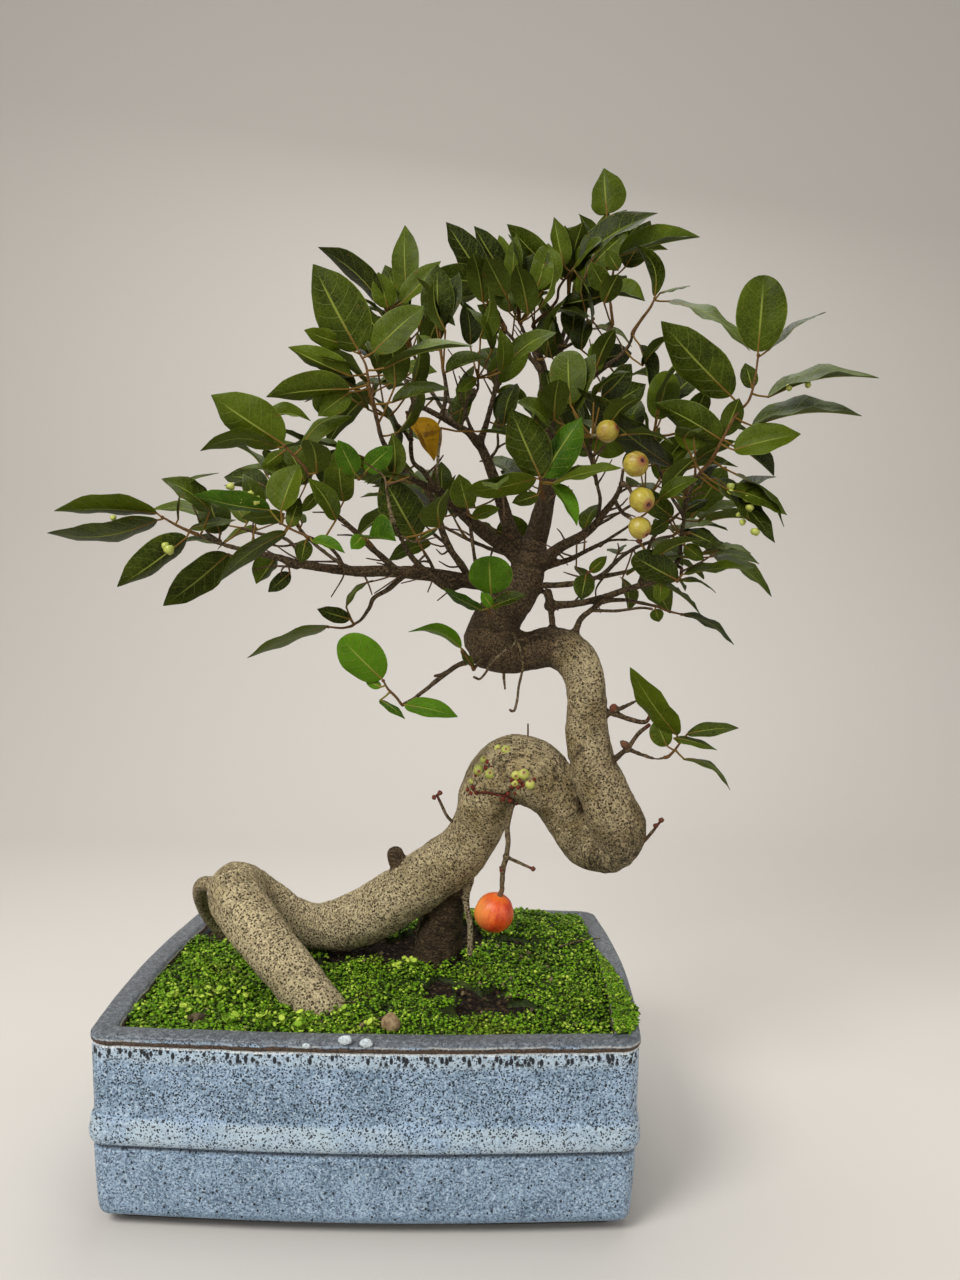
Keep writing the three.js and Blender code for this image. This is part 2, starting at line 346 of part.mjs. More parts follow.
    [596, 454, -18, 634, 414, -10, 17, 20, 0], [590, 455, -14, 565, 425, 0, 12, 12, 0],
    [600, 415, -10, 646, 384, 4, 16, 14, 0]] },
  middle_spur: { twig: 'middle_spur', stem: [[588, 573, -14]], leaves: [
    [586, 575, -12, 581, 600, -18, 11, 11, 0], [590, 572, -12, 607, 556, -20, 6, 6, 0]] },
  right_inner: { twig: 'right_inner', stem: [[683, 510, -18]], leaves: [
    [685, 511, -18, 709, 499, -10, 5, 6, 0, 'under'], [672, 517, -20, 636, 488, -28, 12, 10, 0],
    [668, 520, -22, 645, 534, -30, 8, 6, 0]] },
  inner_left: { twig: 'inner_left', stem: [[468, 512, -22]], leaves: [
    [468, 508, -30, 459, 474, -40, 14, 12, 0], [472, 518, -20, 500, 508, -14, 8, 6, 0]] },
  back_mid: { twig: 'back_mid', stem: [[512, 544, 86]], leaves: [
    [514, 540, 86, 510, 514, 82, 16, 16, 0], [506, 540, 92, 470, 520, 112, 6, 6, 0]] },
  yellow_leaf: { twig: 'arch_fork', stem: [[407, 414, -27]], leaves: [
    [412, 419, -36, 434, 461, -40, 20, 6, 0]] },
};

// Leafy shoots on the far side, whose leaves stand round the stem by a rule:
// [stem, number of leaves, leaf length]
const BACK_SHOOTS = {
  back_left: { twig: 'twig_back_left', stem: [[410, 340, 110], [406, 322, 122]], leaves: 6, size: 58 },
  back_up: { twig: 'twig_back_up', stem: [[486, 296, 132], [482, 280, 140]], leaves: 6, size: 58 },
  back_top: { twig: 'twig_back_top', stem: [[602, 278, 138], [606, 264, 146]], leaves: 6, size: 54 },
  back_right: { twig: 'twig_back_right', stem: [[656, 488, 132], [668, 474, 142]], leaves: 6, size: 60 },
  back_low: { twig: 'twig_back_low', stem: [[414, 508, 146], [400, 498, 154]], leaves: 6, size: 60 },
  back_far_left: {
    twig: 'twig_back_far_left', stem: [[282, 500, 92], [274, 484, 100]], leaves: 6, size: 56,
  },
  back_centre: { twig: 'twig_back_centre', stem: [[546, 440, 172], [544, 424, 184]], leaves: 7, size: 60 },
  back_side: { twig: 'twig_back_side', stem: [[682, 530, 92], [694, 522, 102]], leaves: 6, size: 56 },
};
const GOLDEN_ANGLE = THREE.MathUtils.degToRad(137.5);

// Figs: where the stalk meets the twig, the middle of the fruit, and its radius
const FIGS = {
  ripe_fig: { twig: 'fruit_twig', middle: [494, 913, -18], radius: RIPE_FIG_RADIUS, ripe: true },
  unripe_fig_top: { twig: 'fig_twig_high', middle: [608, 431, -72], radius: 9 },
  unripe_fig_side: { twig: 'fig_twig_side', middle: [636, 464, -84], radius: 10 },
  unripe_fig_middle: { twig: 'fig_twig_low', middle: [642, 500, -84], radius: 10 },
  unripe_fig_low: { twig: 'fig_twig_under', middle: [640, 528, -76], radius: 9 },
};

// Soil is banked up behind the trunk; moss leaves these patches bare
const SOIL_EDGE_HEIGHT = 127;
const MOUND = { x: 95, y: 92, spreadX: 125, spreadY: 72, height: 20 };
const BARE_PATCHES = [
  { x: 75, y: -45, radiusX: 36, radiusY: 14 }, { x: -168, y: 112, radiusX: 40, radiusY: 44 },
  { x: -5, y: 52, radiusX: 62, radiusY: 20 },
];
const PEBBLE = { x: 14, y: -118, radius: 8.5, lift: 4.5 };
const SURFACE_RINGS = [1, 0.76, 0.42];

const COLOURS = {
  pot: [0x87a5c3, 0.25], soil: [0x4a3a2c, 0.95], ground_cover: [0x6f8a2c, 0.95],
  pebble: [0xb39a78, 0.8], tree_wood: [0x9a8a72, 0.85], leaf: [0x3f5a18, 0.45],
  yellow_leaf: [0xcda01e, 0.5], ripe_fig: [0xdc4628, 0.4], unripe_fig: [0xbeb446, 0.5],
};

// Turns a place in the front view and a depth into a point in space
function place([across, down, depth]) {
  const right = (across - VIEW_CENTRE.across) / FOCAL;
  const below = (down - VIEW_CENTRE.down) / FOCAL;
  const ray = VIEW_FORWARD.clone().addScaledVector(VIEW_RIGHT, right).addScaledVector(VIEW_DOWN, below);
  return EYE.clone().addScaledVector(ray, (depth - EYE.y) / ray.y);
}

// Millimetres that one step of the front view covers at a depth
function viewScale(depth) {
  return (depth - EYE.y) / FOCAL;
}

// Closed body from points and triangles that all turn the same way, with its faces pointing out
function solidFrom(points, triangles) {
  let volume = 0;
  for (const [a, b, c] of triangles) {
    volume += points[a].dot(points[b].clone().cross(points[c]));
  }
  if (volume < 0) {
    triangles.forEach((triangle) => triangle.reverse());
  }
  const vertProperties = new Float32Array(points.flatMap((p) => [p.x, p.y, p.z]));
  const triVerts = new Uint32Array(triangles.flat());
  return new wasm.Manifold(new wasm.Mesh({ numProp: 3, vertProperties, triVerts }));
}

function solidOf(geometry) {
  const bare = geometry.index ? geometry.toNonIndexed() : geometry.clone();
  bare.deleteAttribute('normal');
  bare.deleteAttribute('uv');
  const merged = mergeVertices(bare, 1e-4);
  return new wasm.Manifold(new wasm.Mesh({
    numProp: 3, vertProperties: merged.attributes.position.array,
    triVerts: Uint32Array.from(merged.index.array),
  }));
}

function joined(solids) {
  return solids.reduce((whole, next) => whole.add(next));
}

// Closed body through rings of points that all run the same way round, with both ends filled.
// Below the given ring its squares are split along their other diagonal.
function loft(rings, endPoints = [null, null], turnedBelow = 0) {
  const points = rings.flat();
  const sides = rings[0].length;
  const triangles = [];
  for (let r = 0; r + 1 < rings.length; r++) {
    for (let i = 0; i < sides; i++) {
      const a = r * sides + i;
      const b = r * sides + ((i + 1) % sides);
      if (r < turnedBelow) {
        triangles.push([a, b, a + sides], [b, b + sides, a + sides]);
      } else {
        triangles.push([a, b, b + sides], [a, b + sides, a + sides]);
      }
    }
  }
  const last = (rings.length - 1) * sides;
  const fill = (first, tip, turned) => {
    const apex = tip ? points.push(tip) - 1 : first;
    for (let i = tip ? 0 : 1; i < (tip ? sides : sides - 1); i++) {
      const a = first + i;
      const b = first + ((i + 1) % sides);
      triangles.push(turned ? [apex, b, a] : [apex, a, b]);
    }
  };
  fill(0, endPoints[0], true);
  fill(last, endPoints[1], false);
  return solidFrom(points, triangles);
}

// Directions of a route at each of its points
function tangents(route) {
  return route.map((point, i) => {
    const before = route[Math.max(i - 1, 0)];
    const after = route[Math.min(i + 1, route.length - 1)];
    return after.clone().sub(before).normalize();
  });
}

// Round rod along a route: its section is carried along without twist. A domed end
// bulges past the last point by that share of the radius.
function rod(route, radii, sides, dome = 0) {
  const directions = tangents(route);
  const start = Math.abs(directions[0].z) > 0.9 ? new THREE.Vector3(1, 0, 0) : new THREE.Vector3(0, 0, 1);
  let across = start.cross(directions[0]).normalize();
  const rings = route.map((centre, i) => {
    const along = directions[i];
    across = across.clone().addScaledVector(along, -across.dot(along)).normalize();
    const up = along.clone().cross(across);
    return Array.from({ length: sides }, (_, k) => {
      const angle = (2 * Math.PI * k) / sides;
      return centre.clone().addScaledVector(across, radii[i] * Math.cos(angle))
        .addScaledVector(up, radii[i] * Math.sin(angle));
    });
  });
  if (!dome) {
    return loft(rings);
  }
  const last = route.length - 1;
  return loft(rings, [
    route[0].clone().addScaledVector(directions[0], -dome * radii[0]),
    route[last].clone().addScaledVector(directions[last], dome * radii[last]),
  ]);
}

// Radii that run evenly from one end of a route to the other
function taper(route, first, last) {
  const steps = route.map((point, i) => (i ? point.distanceTo(route[i - 1]) : 0));
  const total = steps.reduce((sum, step) => sum + step, 0);
  let run = 0;
  return steps.map((step) => {
    run += step;
    return first + ((last - first) * run) / total;
  });
}

// Pot outline at a distance out from the rim line: bowed sides and round corners
function potOutline(outset) {
  const halfX = POT_LENGTH / 2;
  const halfY = POT_WIDTH / 2;
  const points = [];
  const side = (from, to, bow, steps) => {
    for (let i = 1; i < steps; i++) {
      const t = i / steps;
      const point = from.clone().lerp(to, t);
      const outward = new THREE.Vector2(to.y - from.y, from.x - to.x).normalize();
      points.push(point.addScaledVector(outward, bow * Math.sin(Math.PI * t)));
    }
  };
  const corner = (signX, signY, startAngle) => {
    const centre = new THREE.Vector2(
      signX * (halfX - POT_CORNER_RADIUS), signY * (halfY - POT_CORNER_RADIUS));
    const radius = Math.max(POT_CORNER_RADIUS + outset, 3);
    const pull = Math.min(POT_CORNER_RADIUS + outset - radius, 0);
    for (let i = 0; i <= 3; i++) {
      const angle = startAngle + (Math.PI / 6) * i;
      const reach = new THREE.Vector2(Math.cos(angle), Math.sin(angle)).multiplyScalar(radius);
      reach.add(centre).add(new THREE.Vector2(signX * pull, signY * pull));
      points.push(reach);
    }
  };
  const x = halfX + outset;
  const y = halfY + outset;
  const inX = halfX - POT_CORNER_RADIUS;
  const inY = halfY - POT_CORNER_RADIUS;
  corner(-1, -1, Math.PI);
  side(new THREE.Vector2(-inX, -y), new THREE.Vector2(inX, -y), SIDE_BOW, 5);
  corner(1, -1, -Math.PI / 2);
  side(new THREE.Vector2(x, -inY), new THREE.Vector2(x, inY), SIDE_BOW, 4);
  corner(1, 1, 0);
  side(new THREE.Vector2(inX, y), new THREE.Vector2(-inX, y), SIDE_BOW, 5);
  corner(-1, 1, Math.PI / 2);
  side(new THREE.Vector2(-x, inY), new THREE.Vector2(-x, -inY), SIDE_BOW, 4);
  return points.map((point) => point.add(POT_MIDDLE));
}

function potRing(height, outset) {
  return potOutline(outset).map((p) => new THREE.Vector3(p.x, p.y, height));
}

// Pot: bowed wall with a raised belt and a rolled rim, on a foot ring with arched gaps
function buildPot() {
  const outside = POT_OUTSIDE.map(([height, outset]) => potRing(height, outset));
  const body = loft(outside);
  const inside = POT_INSIDE.map(([height, outset]) => (
    potRing(height === RIM_LEVEL ? height + 1 : height, outset)));
  const hollow = loft(inside.reverse());
  const footTop = TABLE_LEVEL + FOOT_HEIGHT;
  const footOutside = loft([
    potRing(TABLE_LEVEL, -FOOT_OUTER_INSET), potRing(footTop, -FOOT_OUTER_INSET + 2)]);
  const footInside = loft([
    potRing(TABLE_LEVEL - 1, -FOOT_INNER_INSET), potRing(footTop, -FOOT_INNER_INSET)]);
  const arch = (from, to, alongX) => {
    const shape = new THREE.Shape();
    shape.moveTo(from, -1);
    shape.lineTo(to, -1);
    shape.lineTo(to - 6, 5.5);
    shape.lineTo(to - 16, 7.5);
    shape.lineTo(from + 16, 7.5);
    shape.lineTo(from + 6, 5.5);
    const depth = POT_LENGTH + 20;
    const geometry = new THREE.ExtrudeGeometry(shape, { depth, bevelEnabled: false });
    geometry.translate(0, 0, -depth / 2);
    geometry.rotateX(Math.PI / 2);
    if (!alongX) {
      geometry.rotateZ(Math.PI / 2);
    }
    geometry.translate(0, 0, TABLE_LEVEL);
    return solidOf(geometry);
  };
  const feet = footOutside.subtract(footInside)
    .subtract(arch(FRONT_GAP.from, FRONT_GAP.to, true))
    .subtract(arch(SIDE_GAP.from, SIDE_GAP.to, false));
  let pot = body.subtract(hollow).add(feet);
  for (const sign of [-1, 1]) {
    const drain = new THREE.CylinderGeometry(DRAIN_HOLE.radius, DRAIN_HOLE.radius, 40, 12);
    drain.rotateX(Math.PI / 2);
    drain.translate(sign * DRAIN_HOLE.x, 0, INNER_FLOOR / 2);
    pot = pot.subtract(solidOf(drain));
  }
  return pot;
}

function soilHeight(x, y) {
  const run = ((x - MOUND.x) / MOUND.spreadX) ** 2 + ((y - MOUND.y) / MOUND.spreadY) ** 2;
  return SOIL_EDGE_HEIGHT + MOUND.height * Math.exp(-run);
}

function mossHeight(x, y) {
  const lumps = 1.4 * Math.sin(x / 17) * Math.cos(y / 13 + 1) + Math.sin(x / 9 + y / 11);
  return soilHeight(x, y) + MOSS_THICKNESS + lumps;
}

// Body between two surfaces that fills the pot from wall to wall, in rings that shrink to the
// middle
function bed(top, bottom, topShares, bottomOutset, bottomShares) {
  const ring = (outset, share, height) => potOutline(outset - CLEARANCE).map((p) => {
    const x = p.x * share;
    const y = p.y * share;
    return new THREE.Vector3(x, y, height(x, y));
  });
  const below = bottomShares.map((share) => ring(bottomOutset, share, bottom)).reverse();
  const above = topShares.map((share) => ring(-WALL.surface, share, top));
  const middle = (height) => new THREE.Vector3(0, 0, height(0, 0));
  return loft([...below, ...above], [middle(bottom), middle(top)], below.length - 1);
}

// The rooted wood, a little larger, so that soil and moss stand clear of it
function rootHoles() {
  const rows = TRUNK.slice(0, 15);
  const swollen = rows.map((row) => row[3] + ROOT_CLEARANCE);
  const first = rows.slice(0, TRUNK_ELBOWS[0] + 1);
  const second = rows.slice(TRUNK_ELBOWS[0]);
  const holes = [
    rod(first.map(place), swollen.slice(0, first.length), TRUNK_SIDES, 0.7),
    rod(second.map(place), swollen.slice(TRUNK_ELBOWS[0]), TRUNK_SIDES, 0.7),
  ];
  for (const [thick, thin, route] of Object.values(ROOTS)) {
    const points = route.map(place);
    holes.push(rod(points, taper(points, thick + ROOT_CLEARANCE, thin + ROOT_CLEARANCE), 6, 0.5));
  }
  return joined(holes);
}

function pebbleShape(grow = 0) {
  const shape = new THREE.IcosahedronGeometry(PEBBLE.radius + grow, 1);
  shape.scale(0.85, 0.8, 1);
  shape.translate(PEBBLE.x, PEBBLE.y, mossHeight(PEBBLE.x, PEBBLE.y) + PEBBLE.lift);
  return solidOf(shape);
}

function buildSoil(holes) {
  const flat = () => INNER_FLOOR + CLEARANCE;
  return bed(soilHeight, flat, SURFACE_RINGS, -WALL.floor, [1]).subtract(holes);
}

function buildMoss(holes) {
  const under = (x, y) => soilHeight(x, y) + CLEARANCE;
  let moss = bed(mossHeight, under, SURFACE_RINGS, -WALL.surface, SURFACE_RINGS).subtract(holes);
  for (const patch of BARE_PATCHES) {
    const cut = new THREE.CylinderGeometry(1, 1, 80, 9);
    cut.rotateX(Math.PI / 2);
    cut.scale(patch.radiusX, patch.radiusY, 1);
    cut.translate(patch.x, patch.y, 140);
    moss = moss.subtract(solidOf(cut));
  }
  return moss.subtract(pebbleShape(CLEARANCE));
}

// Route without the points that lie nearly straight between their neighbours
function thinned(route, tolerance) {
  const line = new THREE.Line3(route[0], route.at(-1));
  let furthest = { index: 0, distance: 0 };
  for (let i = 1; i + 1 < route.length; i++) {
    const distance = line.closestPointToPoint(route[i], true, new THREE.Vector3()).distanceTo(route[i]);
    if (distance > furthest.distance) {
      furthest = { index: i, distance };
    }
  }
  if (furthest.distance < tolerance) {
    return [route[0], route.at(-1)];
  }
  const before = thinned(route.slice(0, furthest.index + 1), tolerance);
  return [...before, ...thinned(route.slice(furthest.index), tolerance).slice(1)];
}

// Point on the near side of the trunk at a place in the front view, sunk below the bark
function barkPoint(across, down, depthBelow) {
  const ray = new THREE.Ray(EYE, place([across, down, 0]).sub(EYE).normalize());
  let nearest = Infinity;
  for (let i = 0; i + 1 < TRUNK.length; i++) {
    for (let t = 0; t < 1; t += 0.1) {
      const centre = place(TRUNK[i]).lerp(place(TRUNK[i + 1]), t);
      const radius = THREE.MathUtils.lerp(TRUNK[i][3], TRUNK[i + 1][3], t) * 0.97;
      const miss = ray.distanceSqToPoint(centre);
      if (miss < radius ** 2) {
        const middle = centre.clone().sub(EYE).dot(ray.direction);
        nearest = Math.min(nearest, middle - Math.sqrt(radius ** 2 - miss));
      }
    }
  }
  return ray.at(nearest + depthBelow, new THREE.Vector3());
}

// All the wood of the tree, grown as one: trunk, roots, limbs, twigs and the figs still in bud
function buildWood() {
  const pieces = [];
  const ends = [0, ...TRUNK_ELBOWS, TRUNK.length - 1];
  for (let i = 0; i + 1 < ends.length; i++) {
    const rows = TRUNK.slice(ends[i], ends[i + 1] + 1);
    pieces.push(rod(rows.map(place), rows.map((row) => row[3]), TRUNK_SIDES, 0.7));
  }
  for (const [thick, thin, route] of Object.values(ROOTS)) {
    const points = route.map(place);
    pieces.push(rod(points, taper(points, thick, thin), 6, 0.5));
  }
  for (const [thick, thin, route] of Object.values(BRANCHES)) {
    const points = thinned(route.map(place), TWIG_TOLERANCE);
    const radii = taper(points, thick, thin);
    if (thick > LIMB_RADIUS) {
      pieces.push(rod(points, radii, 5));
    } else {
      radii[0] *= TWIG_ROOT_SHARE;
      pieces.push(rod(points, radii, 3));
    }
  }
  for (const row of Object.values(BURRS).flat()) {
    const radius = row.at(-1);
    const burr = new THREE.IcosahedronGeometry(radius, 0);
    const centre = row.length === 4 ? place(row) : barkPoint(row[0], row[1], BURR_SINK * radius);
    burr.translate(centre.x, centre.y, centre.z);
    pieces.push(solidOf(burr));
  }
  return joined(pieces);
}

// End of a twig: the point, the direction in which it points, and its radius
function twigEnd(name) {
  const [, radius, route] = BRANCHES[name];
  const points = thinned(route.map(place), TWIG_TOLERANCE);
  return { point: points.at(-1), direction: tangents(points).at(-1), radius };
}

// Half width of a blade along its length, as a share of the widest place
function bladeShare(s, round) {
  const [a, b] = round ? [0.5, 0.5] : [0.55, 0.75];
  const widest = a / (a + b);
  return (s ** a * (1 - s) ** b) / (widest ** a * (1 - widest) ** b);
}

// A blade in space from its place in the front view: the halves that look narrow there
// are turned edge-on, the left one away and the right one near, so that both keep their width
function viewedBlade(row) {
  const [baseAcross, baseDown, baseDepth, tipAcross, tipDown, tipDepth, left, right, bend, words = ''] = row;
  const base = place([baseAcross, baseDown, baseDepth]);
  const tip = place([tipAcross, tipDown, tipDepth]);
  const scale = viewScale((baseDepth + tipDepth) / 2);
  const travel = new THREE.Vector2(tipAcross - baseAcross, tipDown - baseDown).normalize();
  const leftward = VIEW_RIGHT.clone().multiplyScalar(travel.y).addScaledVector(VIEW_DOWN, -travel.x);
  const onward = VIEW_RIGHT.clone().multiplyScalar(travel.x).addScaledVector(VIEW_DOWN, travel.y);
  const axis = tip.clone().sub(base);
  const length = axis.length();
  const width = Math.max(0.24 * length, left * scale, right * scale);
  const flatShare = Math.max(axis.dot(onward) / length, 0.2);
  const depthShare = axis.dot(VIEW_FORWARD) / length;
  const half = (seen, sign) => {
    const hidden = Math.sqrt(Math.max(width ** 2 - seen ** 2, 0)) * flatShare;
    return leftward.clone().multiplyScalar(sign * seen)
      .addScaledVector(VIEW_FORWARD, sign * hidden)
      .addScaledVector(onward, (-sign * hidden * depthShare) / flatShare);
  };
  return {
    base, tip, left: half(left * scale, 1), right: half(right * scale, -1),
    bend: leftward.clone().multiplyScalar(bend * scale),
    round: words.includes('round'),
  };
}

// One leaf: a stalk that starts inside the stem, and a thin blade bent along its midrib
function leafSolid(blade, root) {
  const { base, tip, left, right, bend, round } = blade;
  const axis = tip.clone().sub(base);
  const along = axis.clone().normalize();
  const leftUp = along.clone().cross(left).normalize();
  const rightUp = right.clone().cross(along).normalize();
  const up = leftUp.clone().add(rightUp).normalize();
  const half = BLADE_THICKNESS / 2;
  const stations = blade.flat || axis.length() < LONG_BLADE ? [0.28, 0.7] : [0.2, 0.5, 0.8];
  const flat = blade.flat || axis.length() < SHORT_BLADE;
  const points = [];
  const start = base.distanceTo(root) < 1.5 ? base.clone().addScaledVector(along, -1.5) : root;
  const stalk = base.clone().sub(start).normalize();
  const stalkUp = up.clone().applyQuaternion(new THREE.Quaternion().setFromUnitVectors(along, stalk));
  const stalkSide = stalk.clone().cross(stalkUp);
  for (const [centre, radius] of [[start, ROOT_RADIUS], [base, PETIOLE_RADIUS]]) {
    for (const turn of [0, 1, 2]) {
      const angle = (2 * Math.PI * turn) / 3;
      points.push(centre.clone().addScaledVector(stalkUp, radius * Math.cos(angle))
        .addScaledVector(stalkSide, radius * Math.sin(angle)));
    }
  }
  for (const s of stations) {
    const middle = base.clone().addScaledVector(axis, s).addScaledVector(bend, Math.sin(Math.PI * s));
    const share = bladeShare(s, round);
    const leftEdge = middle.clone().addScaledVector(left, share);
    const rightEdge = middle.clone().addScaledVector(right, share);
    const crossing = flat ? [[leftEdge, leftUp], [rightEdge, rightUp]]
      : [[leftEdge, leftUp], [middle, up], [rightEdge, rightUp]];
    const above = crossing.map(([point, normal]) => point.clone().addScaledVector(normal, half));
    const below = crossing.map(([point, normal]) => point.clone().addScaledVector(normal, -half));
    points.push(...above, ...below.reverse());
  }
  points.push(tip.clone().addScaledVector(up, half), tip.clone().addScaledVector(up, -half));
  return solidFrom(points, flat ? flatLeafTriangles() : leafTriangles(stations.length));
}

// Faces of a leaf: stalk ring to stalk ring, then to the six-point rings of the blade, then
// to the two tip points. Both faces of the blade are split along the same diagonals.
function leafTriangles(stations) {
  const triangles = [[0, 2, 1]];
  for (const k of [0, 1, 2]) {
    const next = (k + 1) % 3;
    triangles.push([k, next, 3 + next], [k, 3 + next, 3 + k]);
  }
  triangles.push([3, 7, 6], [3, 8, 7], [3, 4, 8], [4, 9, 8], [4, 10, 9], [4, 5, 10],
    [5, 11, 10], [5, 6, 11], [5, 3, 6]);
  for (let k = 0; k + 1 < stations; k++) {
    const a = 6 + 6 * k;
    const b = a + 6;
    triangles.push([a, a + 1, b + 1], [a, b + 1, b]);
    triangles.push([a + 2, b + 2, b + 1], [a + 2, b + 1, a + 1]);
    triangles.push([a + 2, a + 3, b + 3], [a + 2, b + 3, b + 2]);
    triangles.push([a + 3, a + 4, b + 4], [a + 3, b + 4, b + 3]);
    triangles.push([a + 5, b + 5, b + 4], [a + 5, b + 4, a + 4]);
    triangles.push([a + 5, a, b], [a + 5, b, b + 5]);
  }
  const e = 6 * stations;
  const tipTop = e + 6;
  const tipBottom = e + 7;
  triangles.push([e, e + 1, tipTop], [e + 1, e + 2, tipTop], [e + 3, e + 4, tipBottom],
    [e + 4, e + 5, tipBottom], [e + 2, e + 3, tipBottom], [e + 2, tipBottom, tipTop],
    [e + 5, e, tipTop], [e + 5, tipTop, tipBottom]);
  return triangles;
}

// The same for a short leaf: its two blade rings have four points and no rib
function flatLeafTriangles() {
  const triangles = [[0, 2, 1]];
  for (const k of [0, 1, 2]) {
    const next = (k + 1) % 3;
    triangles.push([k, next, 3 + next], [k, 3 + next, 3 + k]);
  }
  triangles.push([3, 7, 6], [3, 4, 7], [4, 8, 7], [4, 5, 8], [5, 9, 8], [5, 6, 9], [5, 3, 6]);
  triangles.push([6, 7, 11], [6, 11, 10], [7, 8, 12], [7, 12, 11], [8, 9, 13], [8, 13, 12],
    [9, 6, 10], [9, 10, 13]);
  triangles.push([10, 11, 14], [11, 12, 15], [11, 15, 14], [12, 13, 15], [13, 10, 14], [13, 14, 15]);
  return triangles;
}

// Route of a young stem: it starts face to face with its twig and runs through its own points
function stemRoute(shoot) {
  const end = twigEnd(shoot.twig);
  const foot = end.point.clone().addScaledVector(end.direction, CLEARANCE);
  const second = foot.clone().addScaledVector(end.direction, STEM_LEAD);
  const onward = thinned([second, ...shoot.stem.map(place)], TWIG_TOLERANCE);
  return { route: [foot, ...onward], radius: end.radius };
}

// Point of a stem that is nearest to a blade, past the foot of the stem
function nearestOnStem(route, target) {
  let best = route[1];
  for (let i = 1; i + 1 < route.length; i++) {
    const inset = i + 2 === route.length ? 1.5 / route[i].distanceTo(route[i + 1]) : 0;
    const span = new THREE.Line3(route[i], route[i + 1].clone().lerp(route[i], Math.min(inset, 0.8)));
    const candidate = span.closestPointToPoint(target, true, new THREE.Vector3());
    if (candidate.distanceTo(target) < best.distanceTo(target)) {
      best = candidate;
    }
  }
  return best;
}

// Blades by rule: a golden angle apart round the stem, leaning out from it and drooping a little
function ringBlades(route, count, size) {
  const base = route[1];
  const along = route.at(-1).clone().sub(base);
  const axis = along.clone().normalize();
  const side = new THREE.Vector3(0, 0, 1).cross(axis).normalize();
  const above = axis.clone().cross(side);
  return Array.from({ length: count }, (_, i) => {
    const turn = GOLDEN_ANGLE * i;
    const lean = THREE.MathUtils.degToRad(i === count - 1 ? 12 : 58 + 9 * Math.sin(2.4 * i));
    const root = base.clone().addScaledVector(along, 0.15 + (0.85 * i) / (count - 1));
    const outward = side.clone().multiplyScalar(Math.cos(turn)).addScaledVector(above, Math.sin(turn));
    const heading = axis.clone().multiplyScalar(Math.cos(lean)).addScaledVector(outward, Math.sin(lean));
    const length = size * (1 + 0.14 * Math.sin(1.7 * i));
    const foot = root.clone().addScaledVector(heading, 12);
    const tip = foot.clone().addScaledVector(heading, length);
    tip.z -= 0.18 * length;
    const blade = tip.clone().sub(foot).normalize();
    const across = blade.clone().cross(new THREE.Vector3(0.2, 0.1, 1)).normalize();
    const up = across.clone().cross(blade);
    const halfWidth = 0.25 * length;
    return {
      root, base: foot, tip, round: false, flat: true,
      left: across.clone().multiplyScalar(-halfWidth).addScaledVector(up, 0.3 * halfWidth),
      right: across.clone().multiplyScalar(halfWidth).addScaledVector(up, 0.3 * halfWidth),
      bend: up.clone().multiplyScalar(0.07 * length),
    };
  });
}

function shootSolid(shoot) {
  const { route, radius } = stemRoute(shoot);
  const blades = Array.isArray(shoot.leaves)
    ? shoot.leaves.map(viewedBlade).map((blade) => ({ ...blade, root: nearestOnStem(route, blade.base) }))
    : ringBlades(route, shoot.leaves, shoot.size);
  const stem = rod(route, taper(route, radius, SHOOT_TIP_RADIUS), 3);
  return joined([stem, ...blades.map((blade) => leafSolid(blade, blade.root))]);
}

// Fig: a round fruit with a short neck, turned from a profile about its stalk
function figSolid(fig) {
  const end = twigEnd(fig.twig);
  const stalkFoot = end.point.clone().addScaledVector(end.direction, CLEARANCE);
  const middle = place(fig.middle);
  const axis = middle.clone().sub(stalkFoot).normalize();
  const r = fig.radius;
  const profile = [
    [0, -0.94], [0.45, -0.88], [0.86, -0.5], [1, 0], [0.85, 0.52], [0.4, 0.95], [0, 1.08],
  ].map(([x, y]) => new THREE.Vector2(x * r, y * r));
  const body = new THREE.LatheGeometry(profile, fig.ripe ? 16 : 9);
  const turn = new THREE.Quaternion().setFromUnitVectors(new THREE.Vector3(0, -1, 0), axis);
  body.applyQuaternion(turn);
  body.translate(middle.x, middle.y, middle.z);
  const knee = stalkFoot.clone().addScaledVector(end.direction, 1.2);
  const neck = middle.clone().addScaledVector(axis, -0.8 * r);
  const stalk = rod([stalkFoot, knee, neck], [end.radius, end.radius, end.radius * 1.2], 5);
  return solidOf(body).add(stalk);
}

function meshOf(name, solid, finish) {
  const { vertProperties, triVerts } = solid.getMesh();
  const geometry = new THREE.BufferGeometry();
  geometry.setAttribute('position', new THREE.BufferAttribute(vertProperties, 3));
  geometry.setIndex(new THREE.BufferAttribute(triVerts, 1));
  const [color, roughness] = COLOURS[finish];
  const mesh = new THREE.Mesh(geometry, new THREE.MeshStandardMaterial({ color, roughness, metalness: 0 }));
  mesh.name = name;
  return mesh;
}

const bonsai = new THREE.Group();
const holes = rootHoles();
bonsai.add(
  meshOf('pot', buildPot(), 'pot'), meshOf('soil', buildSoil(holes), 'soil'),
  meshOf('ground_cover', buildMoss(holes), 'ground_cover'), meshOf('pebble', pebbleShape(), 'pebble'),
  meshOf('tree_wood', buildWood(), 'tree_wood'));
for (const [name, shoot] of Object.entries({ ...SHOOTS, ...BACK_SHOOTS })) {
  const alone = name === 'yellow_leaf';
  bonsai.add(meshOf(alone ? name : `shoot_${name}`, shootSolid(shoot), alone ? name : 'leaf'));
}
for (const [name, fig] of Object.entries(FIGS)) {
  bonsai.add(meshOf(name, figSolid(fig), fig.ripe ? name : 'unripe_fig'));
}

